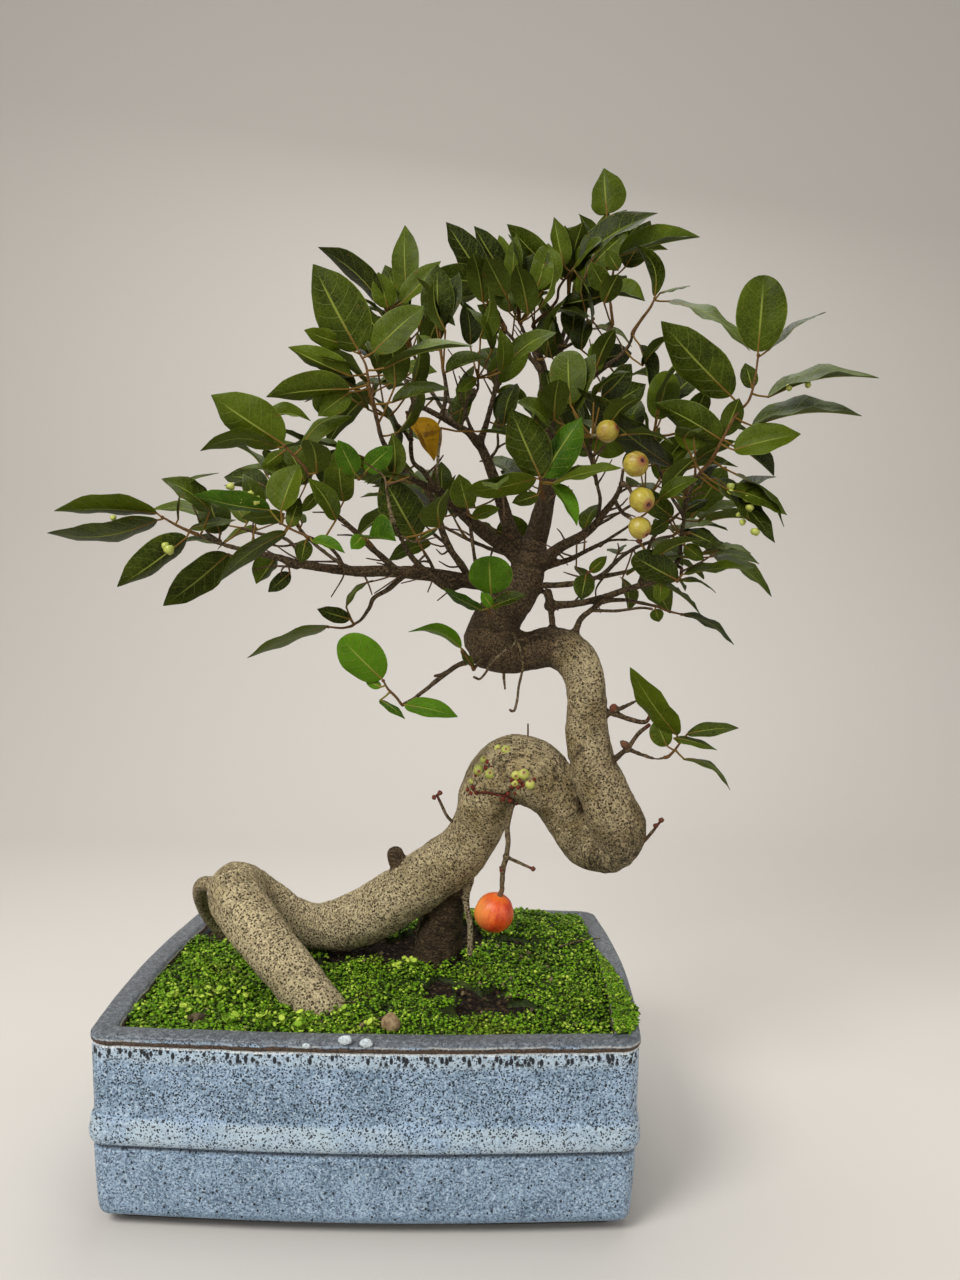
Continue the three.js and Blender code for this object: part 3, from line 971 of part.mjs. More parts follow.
// The origin lies under the middle of the whole tree, on the surface that the pot stands on
const extent = new THREE.Box3().setFromObject(bonsai);
const middle = extent.getCenter(new THREE.Vector3());
bonsai.position.set(-middle.x, -middle.y, -extent.min.z);

export default bonsai;
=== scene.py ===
"""Cluster fig grown as a bonsai in an oblong glazed pot: the dressed model and its studio.

Lengths are in millimetres in the tables and in metres in the meshes. +Z is up and the front of
the tree faces -Y. The tree is drawn as it is seen from the front: a route point is (across,
down, depth), where across and down are places in a front view 960 wide and 1280 high, and depth
is the distance behind the middle of the pot.
"""
import logging
from dataclasses import dataclass, field
from enum import Enum
from typing import Any, Iterable

import bpy
import numpy as np
from mathutils import Matrix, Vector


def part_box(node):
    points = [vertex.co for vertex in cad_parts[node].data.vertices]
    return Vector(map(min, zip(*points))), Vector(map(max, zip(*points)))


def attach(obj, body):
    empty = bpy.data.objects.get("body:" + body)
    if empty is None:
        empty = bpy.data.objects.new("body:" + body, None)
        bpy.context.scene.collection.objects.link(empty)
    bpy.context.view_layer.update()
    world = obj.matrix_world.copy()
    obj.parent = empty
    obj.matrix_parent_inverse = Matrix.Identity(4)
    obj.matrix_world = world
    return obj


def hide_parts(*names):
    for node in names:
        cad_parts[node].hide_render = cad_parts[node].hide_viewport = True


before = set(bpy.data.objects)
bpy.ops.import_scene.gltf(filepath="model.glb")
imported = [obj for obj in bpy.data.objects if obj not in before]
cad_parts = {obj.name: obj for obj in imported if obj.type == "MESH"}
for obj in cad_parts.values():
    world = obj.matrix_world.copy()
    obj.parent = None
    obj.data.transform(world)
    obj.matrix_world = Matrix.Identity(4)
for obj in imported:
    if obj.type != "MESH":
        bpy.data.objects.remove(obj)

log = logging.getLogger("fig_bonsai")

Array = np.ndarray
Row = tuple[float, ...]
Rows = tuple[Row, ...]
Colour = tuple[float, float, float]

# Route of the trunk: across, down, depth, radius in millimetres
TRUNK: Rows = (
    (336, 1038, -70, 22), (314, 1004, -68, 21.5), (294, 976, -61, 21.5), (272, 949, -49, 22),
    (252, 922, -35, 22.5), (238, 901, -20, 23.5), (234, 889, -2, 23.5), (248, 890, 18, 21.5),
    (270, 902, 33, 20), (294, 919, 41, 20), (322, 926, 46, 21.5), (363, 917, 42, 26.5),
    (414, 886, 30, 26.5), (458, 854, 20, 25.5), (480, 822, 13, 23.5), (490, 789, 6, 26.5),
    (510, 771, 2, 31.5), (532, 773, 0, 31), (554, 791, 2, 26.5), (570, 817, 6, 23),
    (586, 838, 4, 25), (608, 842, -6, 27), (618, 828, -16, 25), (607, 800, -24, 22.5),
    (594, 766, -22, 20), (587, 735, -18, 18.5), (587, 702, -12, 17), (584, 676, -6, 17.5),
    (572, 656, 0, 18.5), (552, 647, 6, 18.5), (530, 651, 12, 17.5), (508, 650, 18, 22),
    (492, 642, 22, 26), (497, 620, 24, 22), (512, 600, 23, 19), (524, 582, 22, 17),
    (530, 564, 21, 14.5), (533, 548, 20, 13),
)

# Roots, then limbs and twigs: first and last radius in millimetres, and the route
ROOTS: dict[str, tuple[float, float, Rows]] = {
    "back_root": (7, 6.5, ((222, 886, 4), (204, 884, 20), (200, 895, 40), (208, 915, 65), (228, 942, 87),
        (234, 968, 92))),
    "root_mass": (13, 23, ((450, 884, 28), (446, 911, 32), (440, 938, 35), (437, 964, 36))),
    "right_root": (3.5, 3, ((470, 880, 16), (466, 900, 14), (470, 925, 10), (470, 955, 10))),
    "inner_root": (5, 5, ((430, 895, 28), (424, 918, 40), (420, 945, 46), (420, 966, 46))),
}

BRANCHES: dict[str, tuple[float, float, Rows]] = {
    "main_left": (8, 1.7, ((520, 584, 22), (492, 583, 16), (468, 581, 8), (440, 576, -2), (410, 573, -12),
        (386, 571, -18), (353, 571, -26), (305, 565, -36), (280, 558, -40), (250, 551, -44),
        (225, 545, -48), (196, 534, -52))),
    "left_low": (2.6, 1.3, ((405, 574, -12), (398, 581, -8), (387, 590, -2), (374, 598, 4), (369, 608, 8),
        (362, 619, 12), (353, 625, 14))),
    "grey_left": (4.2, 2, ((462, 582, 6), (448, 588, -8), (432, 577, -22), (420, 566, -34), (408, 552, -46),
        (398, 532, -58), (392, 520, -64))),
    "grey_tip": (1.9, 0.9, ((393, 522, -63), (389, 503, -70), (386, 483, -76))),
    "facing": (1.8, 1.2, ((436, 576, -4), (430, 562, -20), (424, 552, -32))),
    "arch": (8, 2.2, ((524, 562, 21), (508, 549, 20), (492, 538, 16), (476, 526, 10), (460, 511, 2),
        (446, 498, -6), (436, 489, -12), (424, 485, -18), (412, 479, -24), (400, 473, -30),
        (388, 464, -36))),
    "arch_fork": (2.6, 1.2, ((437, 490, -12), (424, 472, -22), (413, 462, -28), (411, 446, -30),
        (411, 432, -30), (408, 421, -28))),
    "fork_side": (1.8, 1.2, ((411, 440, -30), (403, 430, -34), (392, 420, -40), (386, 416, -44))),
    "cross": (3.2, 2.6, ((470, 579, 10), (462, 566, 0), (450, 549, -8), (442, 530, -14), (437, 510, -16),
        (428, 491, -16), (424, 485, -18))),
    "big_left": (2.4, 1.7, ((410, 478, -25), (401, 464, -36), (390, 452, -48), (382, 440, -58),
        (378, 424, -66))),
    "left_mid": (3, 1.6, ((400, 573, -15), (385, 560, -20), (368, 545, -26), (352, 529, -32),
        (336, 515, -38), (322, 503, -44), (314, 488, -50), (306, 470, -56))),
    "left_mid_low": (1.4, 1.1, ((330, 510, -41), (325, 503, -30), (322, 496, -24))),
    "bright_low": (1.6, 1.1, ((384, 559, -20), (378, 552, -40), (371, 545, -56))),
    "left_far": (1.8, 1.2, ((305, 565, -36), (297, 550, -18), (284, 538, -8), (262, 534, -2),
        (242, 528, 4))),
    "left_centre": (1.7, 1.2, ((345, 571, -27), (338, 556, -44), (325, 544, -56), (309, 537, -64))),
    "left_round": (1.4, 1.1, ((228, 546, -47), (222, 544, -36), (220, 540, -30))),
    "left_under": (1.6, 1.2, ((262, 553, -42), (248, 556, -34), (236, 556, -28))),
    "left_hang": (1.5, 1.1, ((303, 565, -36), (297, 568, -26), (290, 566, -20))),
    "centre_left": (8, 4.2, ((528, 560, 21), (514, 540, 22), (507, 520, 24), (502, 503, 26), (496, 485, 28),
        (491, 470, 28), (485, 455, 26), (478, 441, 24))),
    "upper_left": (4, 1.8, ((479, 444, 24), (468, 432, 16), (455, 425, 10), (441, 417, 4), (428, 410, 2),
        (416, 404, 0), (408, 388, 4), (402, 370, 8))),
    "mid_top_left": (2, 1.4, ((441, 417, 4), (445, 403, -2), (446, 388, -8), (443, 370, -12))),
    "rise": (3.4, 2, ((479, 444, 24), (485, 428, 28), (490, 410, 32), (495, 390, 36), (498, 368, 38),
        (503, 345, 40), (505, 330, 40))),
    "curl_twig": (1.8, 1.1, ((472, 432, 20), (466, 414, 10), (467, 400, 4), (477, 391, -2),
        (478, 378, -6))),
    "dark_twig": (1.6, 0.9, ((488, 462, 27), (497, 448, 10), (498, 432, 2), (498, 418, -2))),
    "dark_spur": (1.1, 0.8, ((497, 448, 10), (504, 444, 8), (510, 442, 6))),
    "dead_up": (1.5, 0.9, ((440, 493, -9), (437, 475, -34), (439, 450, -48), (441, 428, -56))),
    "hang_link": (1.6, 1.6, ((470, 520, 8), (472, 540, -4), (475, 560, 4), (478, 578, 14))),
    "red_twig": (1.4, 1.2, ((452, 502, -1), (456, 500, -10), (470, 496, -15), (495, 495, -26),
        (513, 489, -34))),
    "main_up": (12, 6, ((531, 560, 20), (534, 545, 24), (541, 520, 34), (546, 495, 42), (549, 465, 48),
        (549, 440, 50), (549, 418, 50))),
    "front_stem": (6, 2.6, ((536, 545, 22), (540, 525, 4), (544, 508, -24), (543, 496, -48))),
    "up_left": (4.6, 2.2, ((549, 430, 50), (545, 400, 50), (541, 372, 48), (534, 352, 44), (526, 338, 40),
        (520, 322, 36))),
    "up_mid": (3.2, 2, ((548, 402, 50), (545, 372, 54), (538, 348, 56), (534, 326, 56))),
    "up_right": (3, 1.8, ((553, 405, 50), (556, 380, 54), (558, 355, 58), (563, 335, 62), (568, 318, 66))),
    "side_twig": (1.8, 1.2, ((559, 350, 59), (573, 343, 48), (586, 337, 44), (590, 328, 44))),
    "right_arm": (4, 2, ((552, 412, 50), (570, 397, 46), (590, 379, 40), (605, 367, 34), (620, 356, 28),
        (629, 345, 24), (633, 333, 20))),
    "arm_leaf": (1.4, 1.1, ((592, 377, 40), (596, 372, 32))),
    "twig_up": (2, 1.5, ((596, 374, 39), (601, 358, 38), (606, 342, 36), (612, 325, 34))),
    "right_front": (6.5, 2.4, ((530, 566, 20), (548, 556, 6), (562, 546, -8), (578, 538, -18),
        (592, 528, -28), (603, 514, -38), (614, 500, -48), (622, 484, -58))),
    "right_blunt": (3.4, 1.4, ((545, 566, 16), (568, 560, 4), (590, 549, -10), (608, 541, -24),
        (625, 540, -34), (639, 541, -42))),
    "right_blunt_fork": (1.6, 1, ((600, 545, -18), (620, 532, -30), (637, 520, -40))),
    "right_middle": (3, 1.6, ((528, 586, 20), (570, 584, 8), (600, 577, -2), (631, 571, -10))),
    "right_low_arm": (4, 1.9, ((548, 606, 20), (580, 603, 10), (608, 596, 0), (630, 588, -8),
        (651, 583, -16), (668, 569, -22), (679, 560, -26), (681, 540, -30), (684, 516, -32),
        (686, 494, -34))),
    "right_rise": (1.9, 1.5, ((685, 505, -34), (692, 486, -44), (701, 472, -52))),
    "low_spur": (1.6, 1.3, ((673, 565, -24), (681, 568, -38), (681, 574, -44))),
    "right_side": (1.4, 1.1, ((682, 533, -30), (686, 533, -38))),
    "right_riser": (3.4, 2.6, ((573, 640, 4), (580, 620, 2), (590, 611, 0), (603, 601, 0), (608, 596, 0))),
    "right_under": (2, 1.3, ((603, 601, 0), (625, 600, 6), (640, 603, 8), (655, 606, 10))),
    "right_bare": (1.5, 1.1, ((590, 610, 0), (615, 611, -6), (640, 608, -10), (652, 609, -12))),
    "right_inner": (2, 1.4, ((640, 585, -13), (646, 560, -12), (652, 540, -12), (664, 526, -14),
        (675, 517, -16))),
    "right_up_round": (1.6, 1.1, ((684, 516, -32), (668, 490, -10), (656, 460, -4), (653, 436, -8))),
    "middle_spur": (1.5, 1.2, ((585, 581, 4), (586, 576, -8))),
    "centre_right": (1.8, 1.3, ((598, 520, -36), (600, 500, -26), (597, 484, -20), (595, 470, -18))),
    "inner_left": (1.6, 1.2, ((462, 514, 3), (465, 513, -8), (467, 514, -16))),
    "back_mid": (1.8, 1.2, ((528, 568, 30), (520, 555, 60), (514, 548, 80))),
    "centre_up_back": (1.8, 1.2, ((495, 388, 34), (500, 384, 46))),
    "side_first": (3.4, 1.6, ((600, 716, -14), (612, 712, -22), (626, 706, -28), (640, 699, -32))),
    "side_first_fork": (2.4, 1.6, ((614, 713, -22), (630, 719, -26), (645, 722, -30), (650, 716, -34))),
    "side_second": (3.6, 1.5, ((604, 766, -24), (616, 758, -36), (627, 750, -42), (640, 754, -46),
        (656, 759, -50), (666, 757, -54))),
    "side_second_fork": (2, 1.5, ((627, 750, -42), (632, 742, -42), (640, 732, -40), (649, 725, -36))),
    "low_twig": (2.6, 1.4, ((478, 660, 10), (461, 664, -6), (445, 674, -18), (428, 688, -30),
        (415, 698, -38), (404, 704, -44))),
    "low_twig_stub": (1.8, 1.2, ((446, 673, -17), (440, 675, -22), (435, 676, -26))),
    "head_spur": (2.4, 1.8, ((493, 634, 6), (490, 620, -14), (489, 612, -20))),
    "curl_spur": (1.8, 1.4, ((484, 658, 8), (477, 665, -8), (474, 669, -14))),
    "cut_stub": (9, 8, ((408, 872, 30), (398, 862, 30), (395, 853, 30))),
    "hook": (1.6, 1.2, ((456, 825, 10), (447, 816, 6), (441, 804, 4), (437, 795, 2))),
    "spike": (1, 0.7, ((528, 750, 0), (528, 733, 0), (528, 724, 0))),
    "fruit_twig": (2.6, 2.2, ((515, 800, -12), (510, 812, -22), (507, 828, -26), (508, 845, -26),
        (506, 857, -26), (503, 868, -26), (502, 880, -26), (502, 889, -24))),
    "fruit_twig_fork": (1.8, 1.2, ((505, 856, -23), (518, 862, -28), (533, 869, -30))),
    "red_tip_stub": (1.8, 1.2, ((630, 848, -14), (643, 842, -22), (652, 832, -28), (660, 822, -30))),
    "air_root_right": (1.1, 1.1, ((508, 628, 18), (517, 641, -6), (522, 655, -7), (523, 668, -3),
        (519, 685, 2), (517, 700, 2), (514, 711, 0), (510, 710, -2))),
    "air_root_left": (1.1, 1.1, ((508, 628, 18), (516, 641, -8), (503, 652, -8), (490, 664, -6),
        (486, 672, -4), (480, 679, -2), (474, 677, -2))),
    "air_root_side": (1.1, 1.1, ((508, 628, 18), (519, 640, -6), (535, 635, -8), (548, 638, -10),
        (557, 645, -8))),
    "head_spike": (1.8, 0.8, ((504, 662, 16), (504, 676, 16), (505, 689, 16))),
    "strut": (3.4, 3.2, ((548, 592, 18), (551, 610, 14), (553, 632, 10))),
    "fig_twig_high": (1.5, 1.3, ((597, 484, -20), (592, 462, -40), (590, 446, -56), (592, 437, -64))),
    "fig_twig_low": (2.2, 1.4, ((622, 484, -58), (628, 486, -66), (631, 492, -72))),
    "fig_twig_side": (1.5, 1.3, ((621, 486, -57), (622, 477, -62), (623, 471, -67))),
    "fig_twig_under": (1.8, 1.4, ((614, 500, -48), (622, 512, -60), (630, 518, -70))),
    "twig_back_left": (2.2, 1.4, ((455, 425, 10), (440, 405, 50), (425, 380, 80), (412, 350, 100))),
    "twig_back_up": (2.2, 1.4, ((541, 372, 48), (525, 352, 84), (505, 330, 110), (490, 308, 124))),
    "twig_back_top": (2, 1.4, ((558, 355, 58), (570, 335, 90), (585, 310, 116), (598, 290, 130))),
    "twig_back_right": (2.2, 1.4, ((532, 560, 22), (556, 548, 60), (590, 530, 90), (620, 512, 112),
        (645, 498, 124))),
    "twig_back_low": (2.4, 1.4, ((530, 566, 24), (512, 556, 64), (480, 545, 100), (450, 530, 126),
        (425, 515, 140))),
    "twig_back_far_left": (2, 1.4, ((353, 571, -26), (330, 556, 30), (305, 535, 60), (290, 515, 84))),
    "twig_back_centre": (2.2, 1.4, ((540, 520, 34), (545, 500, 90), (548, 480, 130), (546, 455, 160))),
    "twig_back_side": (2.2, 1.4, ((600, 577, -2), (628, 552, 40), (655, 540, 66), (672, 536, 84))),
}

# Twig, route of the young stem, and leaves: base, tip, left and right half widths and bend, each
# as seen from the front, with the word round for a round blade
SHOOTS: dict[str, tuple[str, Rows, Rows]] = {
    "left_tip": ("main_left", ((178, 526, -58), (164, 518, -62)), ((157, 513, -62, 54, 511, -78, 2, 13, -6),
        (157, 520, -57, 47, 533, -66, 3, 10, 6), (187, 537, -56, 117, 587, -66, 4, 18, 0),
        (178, 520, -58, 219, 473, -64, 6, 6, 15), (190, 529, -52, 236, 520, -46, 6, 6, 0))),
    "left_round": ("left_round", ((220, 535, -28),), ((220, 533, -28, 209, 499, -24, 17, 17, 0, "round"),)),
    "left_under": ("left_under", ((230, 555, -26),), ((228, 554, -26, 163, 606, -30, 13, 15, 0),)),
    "left_hang": ("left_hang", ((280, 560, -14),), ((290, 573, -14, 268, 592, -18, 8, 7, 0),
        (276, 556, -14, 256, 584, -12, 3, 16, 0))),
    "left_centre": ("left_centre", ((293, 530, -68), (282, 524, -70)),
        ((281, 511, -66, 299, 464, -60, 22, 15, 0), (270, 510, -74, 193, 495, -90, 3, 14, 0),
        (284, 514, -60, 241, 518, -50, 7, 6, 0), (312, 541, -66, 345, 553, -74, 10, 2, 0),
        (306, 540, -64, 301, 563, -60, 9, 9, 0), (290, 527, -66, 300, 497, -60, 8, 8, 0),
        (286, 532, -74, 217, 583, -84, 4, 5, -8))),
    "left_mid": ("left_mid", ((296, 458, -60), (286, 447, -64)), ((283, 444, -64, 211, 395, -74, 19, 27, 0),
        (277, 447, -60, 200, 451, -66, 5, 6, -13), (283, 452, -60, 262, 467, -56, 6, 7, 0),
        (301, 449, -62, 352, 416, -54, 8, 14, 9), (262, 421, -58, 311, 421, -52, 12, 4, 6))),
    "left_mid_low": ("left_mid_low", ((321, 489, -19),), ((323, 484, -22, 341, 448, -14, 15, 14, 0),
        (320, 492, -18, 350, 474, -12, 8, 8, 0), (318, 493, -16, 302, 512, -8, 6, 6, 0))),
    "bright_pair": ("arch", ((374, 468, -44), (360, 478, -52)), ((355, 474, -56, 338, 440, -70, 12, 12, 0),
        (366, 471, -56, 393, 446, -70, 12, 12, 0))),
    "bright_low": ("bright_low", ((366, 540, -62),), ((369, 538, -64, 396, 541, -84, 24, 1, 0),
        (363, 536, -62, 351, 549, -70, 8, 8, 0))),
    "facing": ("facing", ((418, 541, -38),), ((417, 538, -38, 382, 476, -48, 22, 22, 0),
        (419, 539, -38, 438, 529, -40, 4, 4, 0))),
    "big_left": ("big_left", ((374, 404, -74), (369, 384, -80), (366, 366, -84), (360, 354, -86)),
        ((358, 350, -86, 313, 264, -96, 22, 31, 0), (374, 352, -84, 424, 306, -92, 20, 18, 0),
        (384, 368, -88, 473, 346, -104, 15, 2, 3), (392, 402, -82, 449, 389, -96, 14, 3, 0),
        (350, 376, -86, 288, 347, -92, 4, 16, 0), (350, 389, -84, 266, 397, -90, 3, 17, -4),
        (345, 345, -78, 304, 330, -76, 8, 8, 0), (326, 392, -74, 320, 415, -70, 12, 10, 0),
        (350, 392, -78, 318, 416, -74, 12, 12, 0))),
    "upper_left": ("upper_left", ((397, 350, 12), (390, 326, 14), (386, 310, 14)),
        ((383, 305, 14, 318, 247, 6, 4, 12, -8), (402, 303, 12, 441, 261, 4, 14, 9, -2),
        (407, 295, 20, 405, 225, 24, 14, 15, 0), (388, 308, 10, 378, 272, 4, 12, 12, 0),
        (396, 330, 6, 426, 307, -4, 14, 12, 0), (404, 365, 6, 437, 372, 0, 8, 8, 0))),
    "mid_top_left": ("mid_top_left", ((441, 350, -14), (440, 332, -16)),
        ((438, 325, -16, 437, 264, -20, 17, 17, 0), (442, 326, -14, 459, 272, -8, 12, 12, 0),
        (446, 372, -14, 487, 358, -26, 14, 3, 0), (436, 350, -12, 416, 336, -6, 7, 7, 0))),
    "rise": ("rise", ((497, 312, 38), (489, 296, 36), (485, 284, 34)),
        ((484, 279, 34, 446, 222, 26, 9, 17, 0), (483, 283, 36, 427, 277, 30, 16, 14, 0),
        (502, 272, 40, 474, 226, 34, 4, 14, 0), (500, 318, 34, 477, 305, 28, 7, 7, 0),
        (500, 330, 34, 481, 325, 28, 8, 8, 0), (489, 292, 38, 506, 298, 40, 8, 8, 0))),
    "curl_twig": ("curl_twig", ((477, 372, -8),), ((476, 378, -8, 457, 392, -12, 6, 5, 0),)),
    "centre_up_back": ("centre_up_back", ((496, 382, 54),), ((488, 378, 50, 530, 352, 48, 14, 14, 0),
        (497, 392, 50, 530, 405, 48, 12, 3, 0))),
    "top_left": ("up_left", ((518, 306, 34), (517, 292, 32)), ((520, 289, 32, 549, 253, 24, 16, 10, 0),
        (514, 290, 28, 486, 275, 16, 12, 5, 0), (513, 282, 30, 516, 235, 22, 9, 9, 0),
        (509, 280, 40, 499, 235, 54, 8, 8, 0), (524, 312, 38, 541, 285, 44, 13, 10, 0))),
    "top_middle": ("up_mid", ((548, 311, 50), (557, 300, 46), (559, 288, 42), (568, 275, 36),
        (576, 265, 32)), ((554, 272, 40, 507, 224, 34, 6, 12, 0), (564, 266, 34, 554, 217, 28, 6, 12, 0),
        (580, 260, 30, 658, 213, 16, 20, 9, 2), (577, 262, 40, 585, 222, 46, 11, 10, 0),
        (576, 272, 20, 591, 325, 4, 3, 4, 5), (554, 309, 44, 590, 317, 22, 7, 6, 0))),
    "leader": ("up_right", ((580, 288, 74), (594, 255, 80), (605, 222, 84)),
        ((607, 214, 84, 604, 168, 86, 12, 21, 0), (596, 250, 84, 566, 228, 96, 12, 12, 0),
        (590, 268, 80, 628, 232, 100, 14, 14, 0), (585, 280, 76, 560, 250, 100, 13, 13, 0))),
    "twig_up": ("twig_up", ((611, 308, 30), (610, 297, 28), (612, 278, 24), (616, 262, 20)),
        ((607, 295, 30, 559, 305, 44, 4, 13, 0), (613, 294, 26, 645, 301, 18, 18, 4, 0),
        (619, 256, 22, 700, 237, 24, 20, 3, 0), (606, 290, 22, 590, 262, 14, 11, 9, 0),
        (618, 270, 18, 606, 250, 12, 8, 8, 0))),
    "side_twig": ("side_twig", ((593, 320, 46),), ((597, 326, 50, 632, 347, 60, 6, 5, 4),)),
    "arm_leaf": ("arm_leaf", ((597, 370, 28),), ((598, 372, 30, 592, 343, 26, 8, 8, 0),
        (595, 368, 30, 568, 361, 24, 5, 5, 0))),
    "right_arm": ("right_arm", ((641, 320, 16), (650, 308, 12), (654, 300, 10)),
        ((655, 296, 10, 635, 244, 2, 3, 7, -11), (660, 293, 8, 690, 286, 0, 2, 4, 0),
        (669, 301, 8, 750, 351, -6, 15, 12, 6), (640, 345, 8, 650, 390, 2, 14, 3, 0))),
    "long_right": ("right_rise", ((712, 460, -58), (722, 440, -64), (736, 415, -70), (749, 400, -74),
        (755, 378, -78), (758, 357, -80)), ((758, 352, -80, 764, 275, -88, 25, 23, 0, "round"),
        (768, 350, -78, 826, 312, -70, 6, 3, 2), (731, 396, -76, 661, 321, -84, 15, 20, 0),
        (752, 388, -72, 745, 363, -66, 9, 9, 0), (768, 397, -74, 879, 378, -90, 17, 3, 6),
        (752, 426, -66, 862, 416, -80, 20, 2, 5), (734, 450, -66, 801, 434, -84, 19, 13, 0),
        (746, 451, -62, 774, 476, -56, 14, 4, 0), (723, 441, -62, 655, 403, -50, 8, 17, -3),
        (736, 474, -60, 784, 527, -50, 7, 4, 6))),
    "galled_right": ("right_low_arm", ((690, 486, -36), (695, 476, -40), (695, 454, -42)),
        ((695, 450, -42, 690, 402, -38, 15, 20, 0), (718, 479, -50, 775, 543, -66, 17, 13, 0),
        (672, 466, -50, 577, 387, -62, 8, 8, 0))),
    "right_up_round": ("right_up_round", ((655, 428, -16),),
        ((657, 419, -24, 669, 371, -20, 16, 16, 0, "round"),)),
    "right_side": ("right_side", ((688, 533, -44),), ((688, 532, -38, 718, 546, -44, 8, 9, 0),
        (684, 546, -34, 704, 560, -30, 8, 8, 0))),
    "low_spur": ("low_spur", ((678, 580, -48),), ((677, 580, -48, 633, 556, -58, 12, 17, 0, "round"),
        (684, 574, -46, 755, 568, -56, 9, 3, 0), (680, 580, -44, 716, 593, -38, 3, 3, 4),
        (661, 583, -40, 659, 603, -36, 9, 8, 0))),
    "right_under": ("right_under", ((668, 611, 8), (680, 614, 6)), ((682, 614, 6, 734, 645, -4, 7, 5, 4),
        (655, 609, 10, 659, 622, 14, 7, 7, 0))),
    "side_low": ("side_second", ((674, 751, -60), (680, 743, -66)),
        ((677, 735, -68, 630, 667, -80, 10, 12, 0), (687, 734, -72, 739, 728, -82, 7, 5, 0),
        (667, 746, -60, 656, 721, -54, 12, 10, 0, "round"), (674, 738, -72, 717, 750, -82, 4, 4, 0),
        (684, 759, -66, 730, 790, -76, 3, 4, 8))),
    "low_twig": ("low_twig", ((396, 697, -48), (388, 689, -50), (384, 682, -52)),
        ((382, 679, -52, 341, 638, -62, 20, 23, 0, "round"), (381, 687, -50, 365, 680, -44, 5, 5, 0),
        (380, 700, -46, 405, 719, -56, 3, 4, 0), (405, 705, -46, 458, 717, -56, 11, 7, 0))),
    "curl_spur": ("curl_spur", ((470, 662, -20), (463, 652, -26)), ((473, 667, -16, 461, 647, -26, 4, 4, 0),
        (461, 648, -26, 408, 632, -44, 3, 9, -11))),
    "head_spur": ("head_spur", ((489, 606, -24),), ((491, 594, -26, 489, 556, -34, 21, 23, 0, "round"),
        (492, 607, -28, 527, 595, -40, 9, 4, 0), (492, 607, -28, 481, 592, -34, 6, 6, 0),
        (482, 610, -26, 443, 588, -34, 5, 6, 0))),
    "left_low": ("left_low", ((342, 628, 14), (330, 627, 12)), ((328, 626, 12, 247, 658, 4, 3, 6, -5),
        (350, 619, 8, 317, 609, 0, 8, 8, 0), (346, 607, 16, 373, 580, 24, 4, 4, 4))),
    "centre_front": ("front_stem", ((541, 486, -64), (540, 478, -72)),
        ((540, 476, -74, 511, 409, -88, 17, 24, 0), (543, 477, -72, 582, 417, -80, 14, 20, 0),
        (536, 478, -70, 462, 492, -54, 9, 9, 0), (553, 483, -72, 622, 468, -98, 11, 6, 0),
        (552, 484, -70, 577, 526, -76, 13, 4, 0), (538, 495, -62, 512, 503, -48, 7, 7, 0))),
    "centre_right": ("centre_right", ((594, 456, -18),), ((596, 454, -18, 634, 414, -10, 17, 20, 0),
        (590, 455, -14, 565, 425, 0, 12, 12, 0), (600, 415, -10, 646, 384, 4, 16, 14, 0))),
    "middle_spur": ("middle_spur", ((588, 573, -14),), ((586, 575, -12, 581, 600, -18, 11, 11, 0),
        (590, 572, -12, 607, 556, -20, 6, 6, 0))),
    "right_inner": ("right_inner", ((683, 510, -18),), ((685, 511, -18, 709, 499, -10, 5, 6, 0),
        (672, 517, -20, 636, 488, -28, 12, 10, 0), (668, 520, -22, 645, 534, -30, 8, 6, 0))),
    "inner_left": ("inner_left", ((468, 512, -22),), ((468, 508, -30, 459, 474, -40, 14, 12, 0),
        (472, 518, -20, 500, 508, -14, 8, 6, 0))),
    "back_mid": ("back_mid", ((512, 544, 86),), ((514, 540, 86, 510, 514, 82, 16, 16, 0),
        (506, 540, 92, 470, 520, 112, 6, 6, 0))),
    "yellow_leaf": ("arch_fork", ((407, 414, -27),), ((412, 419, -36, 434, 461, -40, 20, 6, 0),)),
}

# Shoots at the back: twig, route of the young stem, number of leaves and their length
BACK_SHOOTS: dict[str, tuple[str, Rows, int, float]] = {
    "back_left": ("twig_back_left", ((410, 340, 110), (406, 322, 122)), 6, 58),
    "back_up": ("twig_back_up", ((486, 296, 132), (482, 280, 140)), 6, 58),
    "back_top": ("twig_back_top", ((602, 278, 138), (606, 264, 146)), 6, 54),
    "back_right": ("twig_back_right", ((656, 488, 132), (668, 474, 142)), 6, 60),
    "back_low": ("twig_back_low", ((414, 508, 146), (400, 498, 154)), 6, 60),
    "back_far_left": ("twig_back_far_left", ((282, 500, 92), (274, 484, 100)), 6, 56),
    "back_centre": ("twig_back_centre", ((546, 440, 172), (544, 424, 184)), 7, 60),
    "back_side": ("twig_back_side", ((682, 530, 92), (694, 522, 102)), 6, 56),
}

# (shoot, leaf) pairs of the young leaves, which are a brighter green
YOUNG_LEAVES = {
    ("left_centre", 1), ("left_centre", 3), ("bright_pair", 0), ("bright_pair", 1),
    ("bright_low", 0), ("bright_low", 1), ("low_twig", 0), ("low_twig", 1), ("low_twig", 2),
    ("low_twig", 3), ("head_spur", 0), ("head_spur", 2), ("head_spur", 3), ("centre_front", 1),
    ("centre_front", 4), ("curl_spur", 1),
}

